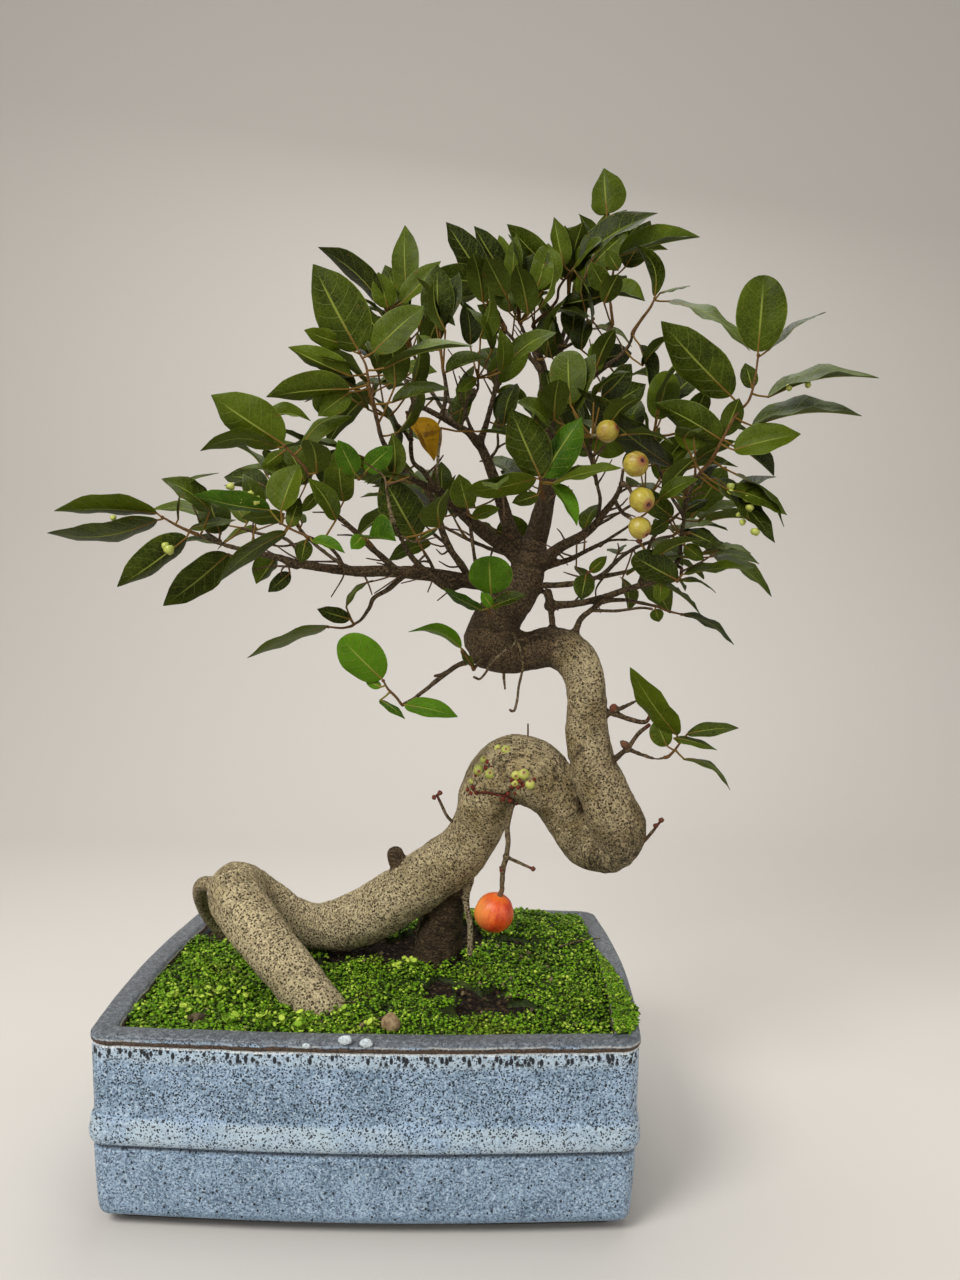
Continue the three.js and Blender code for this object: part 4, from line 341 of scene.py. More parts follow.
# Places of the galls on the leaves: across, down, depth, radius
GALLS: Rows = (
    (114, 518, -74, 2.6), (170, 550, -62, 4.2), (166, 546, -62, 3.2), (231, 487, -84, 3.2),
    (242, 499, -80, 3.6), (257, 501, -78, 3.8), (251, 494, -80, 2.6), (788, 388, -84, 2.6),
    (807, 385, -88, 2.6), (730, 487, -58, 3.2), (730, 493, -58, 2.8), (746, 499, -62, 3.0),
    (749, 508, -63, 3.2), (755, 532, -68, 3.6), (738, 515, -62, 2.4), (742, 522, -63, 2.8),
)

# Figs in bud on the knot of the trunk: across, down, radius
YOUNG_FIGS: Rows = (
    (498, 748, 3.2), (506, 750, 4.2), (484, 760, 3.8), (479, 770, 5.2), (490, 774, 4.6),
    (472, 781, 2.8), (516, 775, 4.2), (524, 774, 5.0), (530, 784, 4.6), (515, 783, 3.4),
)

# Red-brown bracts on the knot of the trunk: across, down, radius
BRACTS: Rows = (
    (468, 789, 2.4), (473, 787, 2.8), (476, 792, 2.4), (471, 793, 2.0), (488, 762, 2.4),
    (486, 768, 2.2), (492, 766, 1.8), (512, 780, 2.0), (520, 781, 2.4), (518, 787, 2.4),
    (523, 785, 2.2), (512, 787, 2.0), (503, 799, 2.4), (510, 800, 2.6), (516, 803, 2.4),
    (508, 794, 2.2), (500, 754, 1.8), (476, 775, 1.8), (534, 779, 1.6), (515, 793, 1.8),
)

# Dark seams and cracks on the trunk, drawn on its near side: width, then the route
SEAMS: tuple[tuple[float, Rows], ...] = (
    (2.6, ((569, 762), (573, 778), (577, 792), (583, 811))),
    (1.5, ((570, 762), (575, 757), (583, 748))),
    (1.5, ((478, 793), (492, 793), (505, 795), (514, 787))),
    (1.4, ((505, 796), (512, 800), (519, 805))),
    (1.1, ((593, 842), (593, 852), (594, 862))),
    (1.0, ((566, 818), (574, 814), (582, 808))),
)

# The cut stub on the low trunk, whose bark is nearly black: across, down, depth
STUB: Row = (395, 850, 30)

# Scars on the trunk: across, down, radius, depth, darkness
SCARS: Rows = (
    (555, 769, 3.8, 1.0, 0.8), (556, 779, 3.4, 1.0, 0.8), (502, 768, 8.0, 2.6, 0.4),
    (506, 778, 5.0, 1.2, 0.3), (568, 700, 5.0, 0.6, 0.35), (603, 868, 3.0, 0.6, 0.5),
    (470, 775, 4.0, 1.0, 0.3), (574, 706, 3.0, 0.6, 0.3),
)

# Knobs at the forks and ends of twigs: across, down, depth, radius
KNOBS: Rows = (
    (614, 708, -22, 4.0), (625, 745, -42, 4.2), (502, 869, -25, 3.0), (440, 793, 3, 2.2),
    (434, 797, 1, 2.2), (656, 826, -29, 2.4), (661, 820, -30, 2.6), (533, 869, -30, 2.2),
    (639, 541, -42, 2.4), (646, 838, -24, 2.2),
)
RED_ENDS = {"red_tip_stub", "fruit_twig_fork", "right_blunt", "right_blunt_fork", "hook", "red_twig",
            "side_second_fork", "side_first_fork"}
BARE_TWIGS = {"spike", "hook", "fruit_twig", "fruit_twig_fork", "air_root_left", "air_root_right"}
GREY_TWIGS = {"grey_left", "grey_tip", "dead_up", "head_spike"}

# Twig, middle of the fruit, radius and whether it is ripe
FIGS: dict[str, tuple[str, Row, float, bool]] = {
    "ripe_fig": ("fruit_twig", (494, 913, -18), 17.0, True),
    "unripe_fig_top": ("fig_twig_high", (608, 431, -72), 9.0, False),
    "unripe_fig_side": ("fig_twig_side", (636, 464, -84), 10.0, False),
    "unripe_fig_middle": ("fig_twig_low", (642, 500, -84), 10.0, False),
    "unripe_fig_low": ("fig_twig_under", (640, 528, -76), 9.0, False),
}

# Dead sticks on the ground and the feet of the seedlings, as places in the front view
STICKS: tuple[Rows, ...] = (
    ((395, 958, -96), (376, 968, -104), (362, 975, -108)),
    ((412, 950, -92), (414, 964, -94), (413, 978, -94)),
    ((357, 952, -70), (348, 957, -72), (340, 960, -76)), ((505, 990, -60), (520, 986, -52), (540, 988, -50)),
    ((560, 945, 40), (585, 938, 60), (600, 930, 70)),
)
SEEDLINGS: Rows = (
    (221, 948, -60), (242, 962, -70), (412, 931, 0), (399, 940, -6), (262, 990, -108), (182, 1000, -100),
    (300, 1008, -122), (230, 1000, -118), (280, 1000, -118), (170, 985, -70), (345, 985, -100),
    (375, 1000, -125), (205, 972, -70),
)

# Patches that the creeper leaves bare: x, y, half length, half width
BARE_PATCHES: Rows = (
    (48, -30, 22, 16), (74, -48, 33, 20), (98, -72, 32, 16), (70, -82, 18, 9), (-172, 118, 40, 44),
    (-10, 44, 66, 26), (52, 58, 34, 46), (6, -80, 8, 9), (110, 50, 34, 7), (-60, 20, 30, 10),
)


# Where the crown is thick with leaves, in the front view: across, down, radius, leaf count
THICKETS: Rows = (
    (345, 300, 40, 6), (330, 352, 48, 7), (392, 372, 48, 8), (440, 292, 42, 7), (520, 262, 52, 10),
    (600, 236, 52, 9), (646, 236, 34, 3), (330, 432, 52, 8), (300, 492, 46, 7), (384, 462, 46, 7),
    (232, 548, 46, 5), (444, 500, 46, 6), (548, 440, 46, 7), (604, 398, 52, 9), (652, 448, 52, 8),
    (704, 420, 40, 5), (684, 500, 44, 6), (716, 548, 34, 3), (600, 562, 50, 5), (560, 350, 40, 5),
    (480, 420, 40, 4), (650, 568, 36, 3), (500, 340, 44, 5), (250, 420, 30, 2), (580, 300, 44, 6),
)


def unit(vector: Array) -> Array:
    """Return the vector, or each row of vectors, at length one."""
    return vector / np.maximum(np.linalg.norm(vector, axis=-1, keepdims=True), 1e-9)


def turns(count: int) -> Array:
    """Return the angles of a number of points evenly round a circle."""
    return np.linspace(0, 2 * np.pi, count, endpoint=False)


def distances(route: Array) -> Array:
    """Return how far along a route each of its points lies."""
    return np.concatenate([[0], np.cumsum(np.linalg.norm(np.diff(route, axis=0), axis=1))])


def level(x: Array, y: Array) -> Array:
    """Return places on the ground as points at height zero."""
    return np.stack([x, y, np.zeros(np.shape(x))], axis=-1)


def globe(latitudes: Array, around: int) -> Array:
    """Return circles of latitude on a ball of radius one."""
    width, lon = np.cos(latitudes)[:, None], turns(around)
    height = np.repeat(np.sin(latitudes)[:, None], around, axis=1)
    return np.stack([width * np.cos(lon), width * np.sin(lon), height], axis=-1)


def wear(count: int, age: Any, tip: Any = 0.0) -> dict[str, Array]:
    """Return what the bark reads at a number of points: old wood, red ends and scars."""
    return {"age": np.full(count, age), "tip": np.full(count, tip), "scar": np.zeros(count)}


@dataclass(frozen=True)
class FrontView:
    """The front view: where its eye stands and how it looks at the tree."""

    eye: Row = (79.0, -850.0, 453.5)
    focal: float = 960.0
    centre: tuple[float, float] = (480.0, 640.0)
    pitch: float = np.radians(1.5)
    roll: float = np.radians(0.8)

    @property
    def axes(self) -> tuple[Array, Array, Array]:
        """Return the view's right, down and forward directions."""
        cp, sp, cr, sr = np.cos(self.pitch), np.sin(self.pitch), np.cos(self.roll), np.sin(self.roll)
        return (np.array([cr, sr * sp, sr * cp]), np.array([sr, -cr * sp, -cr * cp]),
                np.array([0.0, cp, -sp]))

    def place(self, rows: Any) -> Array:
        """Turn places in the view and their depths into points in space.

        The point lies on the eye's ray through the place, where that ray reaches the depth.

        Args:
            rows: one (across, down, depth) or many; later columns are left out.

        Returns:
            The points in millimetres, one row for each place.
        """
        table = np.asarray(rows, float)
        right, down, forward = self.axes
        eye = np.array(self.eye)
        u = (table[..., 0:1] - self.centre[0]) / self.focal
        v = (table[..., 1:2] - self.centre[1]) / self.focal
        ray = forward + u * right + v * down
        return eye + ray * (table[..., 2:3] - eye[1]) / ray[..., 1:2]

    def see(self, points: Array) -> Array:
        """Return the places in the view, across and down, at which points are seen."""
        right, down, forward = self.axes
        ray = points - np.array(self.eye)
        flat = np.stack([ray @ right, ray @ down], axis=-1)
        return np.array(self.centre) + self.focal * flat / (ray @ forward)[..., None]

    def scale(self, depth: float) -> float:
        """Return the millimetres that one step of the view covers at a depth."""
        return (depth - self.eye[1]) / self.focal


VIEW = FrontView()
# the side ribs of a leaf: pairs from end to end, and how they bow
RIB_PAIRS = 6.5
RIB_BOW = 1.35
GOLDEN_ANGLE = np.radians(137.5)
# edges of a leaf sharper than this many degrees are drawn hard
LEAF_CREASE = 75.0


def noise(points: Array, size: float, seed: int = 0, octaves: int = 1) -> Array:
    """Smooth noise from -1 to 1 at points in space.

    The corners of a lattice of the given size hold hashed values, blended by smooth steps;
    each further octave halves the size and the height.

    Args:
        points: rows of x, y, z.
        size: the lattice step, in the units of the points.
        seed: picks another field of values.
        octaves: how many layers are added.

    Returns:
        One value for each point.
    """
    total = np.zeros(points.shape[:-1])
    for octave in range(octaves):
        q = points / (size / 2 ** octave) + 17.3 * octave
        cell = np.floor(q).astype(np.int64)
        f = q - cell
        f = f * f * (3 - 2 * f)
        value = np.zeros(points.shape[:-1])
        for corner in range(8):
            bit = np.array([corner & 1, corner >> 1 & 1, corner >> 2 & 1])
            c = cell + bit
            h = (c[..., 0] * 374761393 + c[..., 1] * 668265263 + c[..., 2] * 1440662683
                 + (seed + octave) * 1274126177) & 0xFFFFFFFF
            h = ((h ^ (h >> 13)) * 1274126177) & 0xFFFFFFFF
            h = (h ^ (h >> 16)) & 0xFFFFFFFF
            weight = np.prod(np.where(bit == 1, f, 1 - f), axis=-1)
            value += weight * (h / 2 ** 31 - 1)
        total += value / 2 ** octave
    return total


def spline(rows: Array, step: float) -> Array:
    """Carry a smooth curve through rows of values.

    It is the Catmull-Rom cubic of each span, with the end rows repeated, sampled so that
    neighbours lie about one step apart in the first three columns.

    Args:
        rows: points, with any further columns, such as a radius, carried along.
        step: the wanted spacing in millimetres.

    Returns:
        The sampled rows.
    """
    padded = np.vstack([2 * rows[:1] - rows[1:2], rows, 2 * rows[-1:] - rows[-2:-1]])
    pieces = []
    for i in range(len(rows) - 1):
        a, b, c, d = padded[i:i + 4]
        count = max(int(np.ceil(np.linalg.norm((c - b)[:3]) / step)), 1)
        t = (np.arange(count) / count)[:, None]
        pieces.append(0.5 * (2 * b + (c - a) * t + (2 * a - 5 * b + 4 * c - d) * t ** 2
                             + (3 * b - a - 3 * c + d) * t ** 3))
    return np.vstack([*pieces, rows[-1:]])


def tangents(route: Array) -> Array:
    """Return the directions of a route at each of its points."""
    ahead = np.vstack([route[1:], route[-1:]])
    behind = np.vstack([route[:1], route[:-1]])
    return unit(ahead - behind)


def frames(route: Array) -> tuple[Array, Array, Array]:
    """Directions along, across and up at each point of a route, carried without twist.

    Args:
        route: the points.

    Returns:
        Three arrays of unit vectors.
    """
    along = tangents(route)
    start = np.array([1.0, 0, 0]) if abs(along[0, 2]) > 0.9 else np.array([0, 0, 1.0])
    across = np.empty_like(along)
    side = np.cross(start, along[0])
    for i, direction in enumerate(along):
        side = side - direction * side.dot(direction)
        side = side / np.linalg.norm(side)
        across[i] = side
    return along, across, np.cross(along, across)


def thinned(route: Array, tolerance: float = 2.0) -> Array:
    """Return the route without the points that lie nearly straight between their neighbours."""
    if len(route) < 3:
        return route
    chord = route[-1] - route[0]
    share = np.clip((route - route[0]) @ chord / chord.dot(chord), 0, 1)
    miss = np.linalg.norm(route[0] + share[:, None] * chord - route, axis=1)
    worst = int(np.argmax(miss))
    if miss[worst] < tolerance:
        return route[[0, -1]]
    return np.vstack([thinned(route[:worst + 1], tolerance), thinned(route[worst:], tolerance)[1:]])


def store(mesh: bpy.types.Mesh, name: str, rows: Array) -> None:
    """Keep a named number or vector at each point of a mesh."""
    vector = rows.shape[-1] == 3
    attribute = mesh.attributes.new(name, "FLOAT_VECTOR" if vector else "FLOAT", "POINT")
    attribute.data.foreach_set("vector" if vector else "value", rows.astype(np.float32).ravel())


@dataclass
class Skin:
    """Surfaces under way: points in millimetres, faces, and values at the points."""

    points: list[Array] = field(default_factory=list)
    quads: list[Array] = field(default_factory=list)
    tris: list[Array] = field(default_factory=list)
    values: dict[str, list[Array]] = field(default_factory=dict)
    count: int = 0

    def add(self, points: Array, quads: Array, tris: Array, values: dict[str, Array]) -> None:
        """Add one surface.

        Args:
            points: its points.
            quads: faces of four points, as indices into the points.
            tris: faces of three.
            values: for each named value one row for each point.
        """
        self.points.append(points.reshape(-1, 3))
        self.quads.append(np.asarray(quads, int).reshape(-1, 4) + self.count)
        self.tris.append(np.asarray(tris, int).reshape(-1, 3) + self.count)
        for name, rows in values.items():
            self.values.setdefault(name, []).append(rows)
        self.count += len(self.points[-1])

    def take(self, other: "Skin", *carried: str, **fixed: Row) -> None:
        """Add another skin's surfaces.

        Args:
            other: the skin that is added.
            carried: names of its values that come along.
            fixed: for each further name the row that all its points get.
        """
        values = {name: np.concatenate(other.values[name]) for name in carried}
        values |= {name: np.tile(row, (other.count, 1)) for name, row in fixed.items()}
        self.add(np.vstack(other.points), np.vstack(other.quads), np.vstack(other.tris), values)

    def loft(self, rings: Array, values: dict[str, Array], caps: bool = True) -> None:
        """Add a closed skin through rings of points, with a pole in the middle of each end.

        Args:
            rings: rings x points x 3; each ring runs the same way round.
            values: for each named value rings x points (x columns).
            caps: whether the ends are closed with a fan to a pole.
        """
        n, k = rings.shape[:2]
        i, j = np.meshgrid(np.arange(n - 1), np.arange(k), indexing="ij")
        a, b = i * k + j, i * k + (j + 1) % k
        quads = np.stack([a, b, b + k, a + k], axis=-1).reshape(-1, 4)
        points = rings.reshape(-1, 3)
        flat = {name: rows.reshape(n * k, -1) for name, rows in values.items()}
        tris = np.zeros((0, 3), int)
        if caps:
            points = np.vstack([points, rings[0].mean(0), rings[-1].mean(0)])
            flat = {name: np.vstack([rows, rows[:k].mean(0), rows[-k:].mean(0)])
                    for name, rows in flat.items()}
            turn = np.arange(k)
            following = (turn + 1) % k
            first = np.stack([following, turn, np.full(k, n * k)], axis=-1)
            last = np.stack([turn, following, np.full(k, n * k + 1)], axis=-1)
            last[:, :2] += (n - 1) * k
            tris = np.vstack([first, last])
        self.add(points, quads, tris, flat)

    def rod(self, rows: Array, sides: int, lumps: float = 0.0, dome: bool = True,
            values: dict[str, Array] | None = None, seed: int = 0) -> None:
        """Add a round rod along a route: circles of its radius, square to its direction.

        The ends close in a quarter circle; lumps swell and shrink the radius by noise.

        Args:
            rows: x, y, z and radius.
            sides: points in a circle.
            lumps: share of the radius that the noise adds or takes.
            dome: whether the ends are rounded.
            values: named values, one for each row of the route.
            seed: picks the noise.
        """
        route, radii = rows[:, :3], rows[:, 3]
        along, across, up = frames(route)
        if dome:
            bend = np.radians([80.0, 55.0, 28.0])
            lead = route[0] - along[0] * (np.sin(bend) * radii[0] * 0.8)[:, None]
            tail = route[-1] + along[-1] * (np.sin(bend[::-1]) * radii[-1] * 0.8)[:, None]
            route = np.vstack([lead, route, tail])
            radii = np.concatenate([np.cos(bend) * radii[0], radii, np.cos(bend[::-1]) * radii[-1]])
            repeat = np.concatenate([[0] * 3, np.arange(len(rows)), [len(rows) - 1] * 3])
        else:
            repeat = np.arange(len(rows))
        across, up = across[repeat], up[repeat]
        angle = turns(sides)
        circle = (np.cos(angle)[:, None] * across[:, None] + np.sin(angle)[:, None] * up[:, None])
        reach = np.repeat(radii[:, None], sides, axis=1)
        if lumps:
            where = route[:, None] + circle * radii[:, None, None]
            reach = reach * (1 + lumps * noise(where, 9.0, seed, 2))
        rings = route[:, None] + circle * reach[..., None]
        run = np.repeat(distances(route)[:, None], sides, axis=1)
        grain = [np.cos(angle) * radii[:, None], np.sin(angle) * radii[:, None], run]
        spread = {"grain": np.stack(grain, axis=-1) + 31.0 * seed}
        for name, value in (values or {}).items():
            spread[name] = np.repeat(value[repeat][:, None], sides, axis=1)
        self.loft(rings, spread)

    def balls(self, centres: Array, radii: Array, values: dict[str, Array], seed: int = 0,
              rough: float = 0.12) -> None:
        """Add small round lumps: ten-sided circles of latitude, swollen by noise.

        Args:
            centres: rows of x, y, z.
            radii: one for each lump.
            values: named values, one row for each lump.
            seed: picks the noise.
            rough: share of the radius that the noise moves.
        """
        ball = globe(np.radians([-65.0, -38.0, -12.0, 12.0, 38.0, 65.0]), 10)
        for index, (centre, radius) in enumerate(zip(centres, radii)):
            swell = 1 + rough * noise(ball * 1.3 + 7.1 * index, 1.0, seed)[..., None]
            rings = centre + ball * swell * radius
            self.loft(rings, {name: np.broadcast_to(np.atleast_1d(rows[index]),
                                                    (*rings.shape[:2], np.size(rows[index])))
                              for name, rows in values.items()})

    def mesh(self, name: str, crease: float = 180.0) -> bpy.types.Object:
        """Make the mesh object, in metres and in the part's frame.

        Args:
            name: the piece's name.
            crease: edges sharper than this many degrees keep a hard line.

        Returns:
            The object, linked to the scene.
        """
        points = np.vstack(self.points) / 1000 + OFFSET
        quads, tris = np.vstack(self.quads), np.vstack(self.tris)
        mesh = bpy.data.meshes.new(name)
        mesh.vertices.add(len(points))
        mesh.vertices.foreach_set("co", points.astype(np.float32).ravel())
        loops = np.concatenate([quads.ravel(), tris.ravel()])
        mesh.loops.add(len(loops))
        mesh.loops.foreach_set("vertex_index", loops.astype(np.int32))
        starts = np.concatenate([np.arange(len(quads)) * 4, 4 * len(quads) + np.arange(len(tris)) * 3])
        mesh.polygons.add(len(starts))
        mesh.polygons.foreach_set("loop_start", starts.astype(np.int32))
        mesh.update(calc_edges=True)
        mesh.polygons.foreach_set("use_smooth", np.ones(len(starts), bool))
        for value, parts in self.values.items():
            rows = np.vstack([np.asarray(part, float).reshape(len(part), -1) for part in parts])
            if value == "uv":
                layer = mesh.uv_layers.new(name="uv")
                layer.data.foreach_set("uv", rows[loops].astype(np.float32).ravel())
            else:
                store(mesh, value, rows)
        mesh.validate()
        if crease < 180:
            mesh.set_sharp_from_angle(angle=np.radians(crease))
        piece = bpy.data.objects.new(name, mesh)
        bpy.context.scene.collection.objects.link(piece)
        return piece


def fit_out(piece: bpy.types.Object, finish: bpy.types.Material, slot: str, *nodes: str) -> None:
    """Give a piece its finish and its body, hide the solids that it stands for, and log its triangles."""
    piece.data.materials.clear()
    piece.data.materials.append(finish)
    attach(piece, "root")
    if nodes:
        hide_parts(*nodes)
    triangles = sum(len(p.vertices) - 2 for p in piece.data.polygons)
    log.info("%s: %d triangles, stands for %s", piece.name, triangles, ", ".join(nodes) or "nothing")


class Wire:
    """One output of a node graph, with Python arithmetic."""

    def __init__(self, graph: "Graph", socket: bpy.types.NodeSocket) -> None:
        """Keep the graph and the socket."""
        self.graph = graph
        self.socket = socket

    def __add__(self, other: Any) -> "Wire":
        """Sum."""
        return self.graph.math("ADD", self, other)

    def __sub__(self, other: Any) -> "Wire":
        """Difference."""
        return self.graph.math("SUBTRACT", self, other)

    def __mul__(self, other: Any) -> "Wire":
        """Product."""
        return self.graph.math("MULTIPLY", self, other)

    def __pow__(self, other: Any) -> "Wire":
        """Power."""
        return self.graph.math("POWER", self, other)

    def __abs__(self) -> "Wire":
        """Distance from zero."""
        return self.graph.math("ABSOLUTE", self)

    __radd__ = __add__
    __rmul__ = __mul__

    def step(self, low: float, high: float) -> "Wire":
        """Smooth step from 0 at low to 1 at high; low may be the larger."""
        rising = low <= high
        limits = {"From Min": min(low, high), "From Max": max(low, high),
                  "To Min": 0.0 if rising else 1.0, "To Max": 1.0 if rising else 0.0}
        settings = {"interpolation_type": "SMOOTHSTEP"}
        return self.graph.out("ShaderNodeMapRange", settings, {"Value": self, **limits})


class Graph:
    """The node graph of one material, around one Principled shader."""

    def __init__(self, name: str) -> None:
        """Start a material with an empty graph."""
        self.material = bpy.data.materials.new(name)
        self.material.use_nodes = True
        self.tree = self.material.node_tree
        self.tree.nodes.clear()

    def node(self, kind: str, settings: dict[str, Any] | None = None,
             inputs: dict[Any, Any] | None = None) -> bpy.types.Node:
        """Add a node.

        Args:
            kind: its type.
            settings: properties that are set first.
            inputs: values or wires by socket name or number.

        Returns:
            The node.
        """
        made = self.tree.nodes.new(kind)
        for name, value in (settings or {}).items():
            setattr(made, name, value)
        for name, value in (inputs or {}).items():
            socket = made.inputs[name]
            if isinstance(value, Wire):
                self.tree.links.new(value.socket, socket)
            elif isinstance(value, tuple) and socket.type == "RGBA":
                socket.default_value = (*value, 1.0)
            else:
                socket.default_value = value
        return made

    def out(self, kind: str, settings: dict[str, Any] | None = None,
            inputs: dict[Any, Any] | None = None, output: Any = 0) -> Wire:
        """Add a node, as node() does, and return one of its outputs."""
        return Wire(self, self.node(kind, settings, inputs).outputs[output])

    def math(self, operation: str, *values: Any) -> Wire:
        """Return a Math node's result."""
        return self.out("ShaderNodeMath", {"operation": operation}, dict(enumerate(values)))

    def mix(self, share: Any, first: Any, second: Any) -> Wire:
        """Return a blend of two colours."""
        inputs = {0: share, 6: first, 7: second}
        return self.out("ShaderNodeMix", {"data_type": "RGBA", "clamp_factor": True}, inputs, 2)

    def coats(self, base: Any, *layers: tuple[Any, Any]) -> Any:
        """Lay colours over a base one by one, each by its own share."""
        for share, colour in layers:
            base = self.mix(share, base, colour)
        return base

    def place(self, output: str = "Object") -> Wire:
        """Return Object coordinates, or the UV map's."""
        return self.out("ShaderNodeTexCoord", output=output)

    def value(self, name: str, output: str = "Fac") -> Wire:
        """Return a named number or vector of the piece's own."""
        return self.out("ShaderNodeAttribute", {"attribute_name": name}, output=output)

    def parts(self, vector: Wire) -> tuple[Wire, ...]:
        """Return the three parts of a vector."""
        node = self.node("ShaderNodeSeparateXYZ", inputs={0: vector})
        return tuple(Wire(self, socket) for socket in node.outputs)

    def scaled(self, vector: Wire, factors: Row) -> Wire:
        """Return a vector times factors."""
        return self.out("ShaderNodeVectorMath", {"operation": "MULTIPLY"}, {0: vector, 1: factors})

    def noise(self, vector: Wire, scale: float, detail: float = 2.0, rough: float = 0.5,
              warp: float = 0.0) -> Wire:
        """Return a noise texture's value, about 0.5 on average."""
        inputs = {"Vector": vector, "Scale": scale, "Detail": detail, "Roughness": rough,
                  "Distortion": warp}
        return self.out("ShaderNodeTexNoise", inputs=inputs)

    def cells(self, vector: Wire, scale: float, feature: str = "F1", output: str = "Distance") -> Wire:
        """Return a Voronoi texture's distance or colour."""
        inputs = {"Vector": vector, "Scale": scale}
        return self.out("ShaderNodeTexVoronoi", {"feature": feature}, inputs, output)

    def finish(self, colour: Any, roughness: Any, height: Any = None, relief: float = 0.001,
               **constants: Any) -> bpy.types.Material:
        """Close the graph with the shader.

        Args:
            colour: the base colour.
            roughness: the roughness.
            height: the height that bends the normal, if any.
            relief: its full range in metres.
            constants: other sockets, named with an underscore for each blank.

        Returns:
            The material.
        """
        inputs = {"Base Color": colour, "Roughness": roughness}
        inputs |= {name.replace("_", " "): value for name, value in constants.items()}
        if height is not None:
            inputs["Normal"] = self.out("ShaderNodeBump", inputs={"Height": height, "Distance": relief})
        shader = self.out("ShaderNodeBsdfPrincipled", inputs=inputs)
        self.node("ShaderNodeOutputMaterial", inputs={0: shader})
        return self.material


def shade(red: float, green: float, blue: float) -> Colour:
    """Return the linear colour of a colour given in 8-bit display values."""
    c = np.array([red, green, blue]) / 255
    linear = np.where(c <= 0.04045, c / 12.92, ((c + 0.055) / 1.055) ** 2.4)
    return (float(linear[0]), float(linear[1]), float(linear[2]))


@dataclass(frozen=True)
class GlazedStoneware:
    """Grey-blue glaze, pinholed all over, that has crawled off the edge of the rim."""

    glaze: Colour = shade(142, 166, 190)
    deep: Colour = shade(112, 136, 158)
    pale: Colour = shade(190, 206, 214)
    pit: Colour = shade(24, 27, 32)
    rim: Colour = shade(80, 85, 91)
    clay: Colour = shade(54, 42, 32)

    def build(self) -> bpy.types.Material:
        """Return the material; heights are in metres above the pot's floor."""
        g = Graph("glazed_stoneware")
        p = g.place()
        z = g.parts(p)[2] + Pot.table / 1000
        lip = g.value("lip")
        low = g.noise(p, 26, 3, 0.55)
        fine = g.noise(p, 520, 4, 0.7)
        speck = g.noise(p, 300, 4, 0.7)
        # pale where the glaze is thin under the rim; the pale along the belt's ridge is a painted highlight
        band = z.step(0.117, 0.124) * z.step(0.1345, 0.131)
        painted_ridge_highlight = z.step(0.0560, 0.0590) * z.step(0.0785, 0.0745)
        # dark in the groove under the belt: painted shade
        painted_groove_shade = z.step(0.0518, 0.0545) * z.step(0.0575, 0.0558)
        small = g.cells(p, 560).step(0.42, 0.26) * g.noise(p, 160, 1).step(0.28, 0.46)
        small = small * (z.step(0.045, 0.075) * 0.4 + 0.6)
        larger = g.cells(g.scaled(p, (1, 1, 0.8)), 190).step(0.2, 0.13) * 0.95
        drops = g.cells(g.scaled(p, (1, 1, 0.5)), 300).step(0.5, 0.34)
        drops = drops * z.step(0.1195, 0.1235) * z.step(0.1322, 0.131)
        pits = g.math("MAXIMUM", g.math("MAXIMUM", small * 0.95, larger), drops)
        # bare line where the glaze has drawn back under the lip, wavering along the rim
        waver = z + g.noise(p, 60, 2) * 0.0034
        bare = waver.step(0.1330, 0.1337) * waver.step(0.1378, 0.1366)
        crust = waver.step(0.1312, 0.1320) * waver.step(0.1340, 0.1334) * fine.step(0.3, 0.55)
        edge = waver.step(0.1372, 0.1380) * waver.step(0.1392, 0.1384) * low.step(0.35, 0.6)
        metal = g.coats(self.rim, (speck.step(0.42, 0.7), shade(128, 134, 140)),
                        (g.cells(p, 260).step(0.2, 0.1), shade(34, 36, 40)),
                        (low.step(0.5, 0.75) * 0.5, shade(108, 114, 118)))
        colour = g.coats(
            self.glaze, (low.step(0.36, 0.66), self.deep),
            (fine.step(0.5, 0.66) * 0.75, shade(198, 214, 224)),
            (fine.step(0.48, 0.36) * 0.85, shade(50, 60, 74)),
            # painted highlight on the belt's ridge, painted shade in the groove below it
            (band * (low * 0.6 + 0.2), self.pale), (painted_ridge_highlight * 0.7 * low.step(0.3, 0.6), self.pale),
            (painted_groove_shade * 0.8, shade(48, 56, 66)), (z.step(0.010, 0.003) * 0.6, self.deep),
            (pits, self.pit), (crust, shade(214, 220, 220)), (lip, metal),
            (edge * 0.7, shade(190, 184, 170)),
            (bare, g.mix(fine.step(0.4, 0.6), self.clay, shade(96, 72, 50))),
            (g.value("bead"), shade(196, 206, 208)), (z.step(-0.0006, -0.0014), self.clay))
        height = fine * 0.14 + low * 0.3 - pits * 0.55 - bare * 0.5 + speck * lip * 0.3
        rough = speck * 0.18 + pits * 0.25 + bare * 0.3 + 0.3
        return g.finish(colour, rough, height, 0.0012, Specular_IOR_Level=0.4)


@dataclass(frozen=True)
class PottingSoil:
    """Dark crumbly soil with paler bits."""

    dark: Colour = shade(24, 18, 13)
    light: Colour = shade(66, 52, 38)

    def build(self) -> bpy.types.Material:
        """Return the material."""
        g = Graph("potting_soil")
        p = g.place()
        crumb = g.noise(p, 300, 5, 0.7)
        bits = g.parts(g.cells(p, 330, output="Color"))[1].step(0.86, 0.9)
        colour = g.coats(self.dark, (crumb.step(0.4, 0.7), self.light), (bits * 0.5, shade(110, 90, 62)))
        return g.finish(colour, 0.95, crumb + g.cells(p, 330) * 0.8, 0.003, Specular_IOR_Level=0.2)


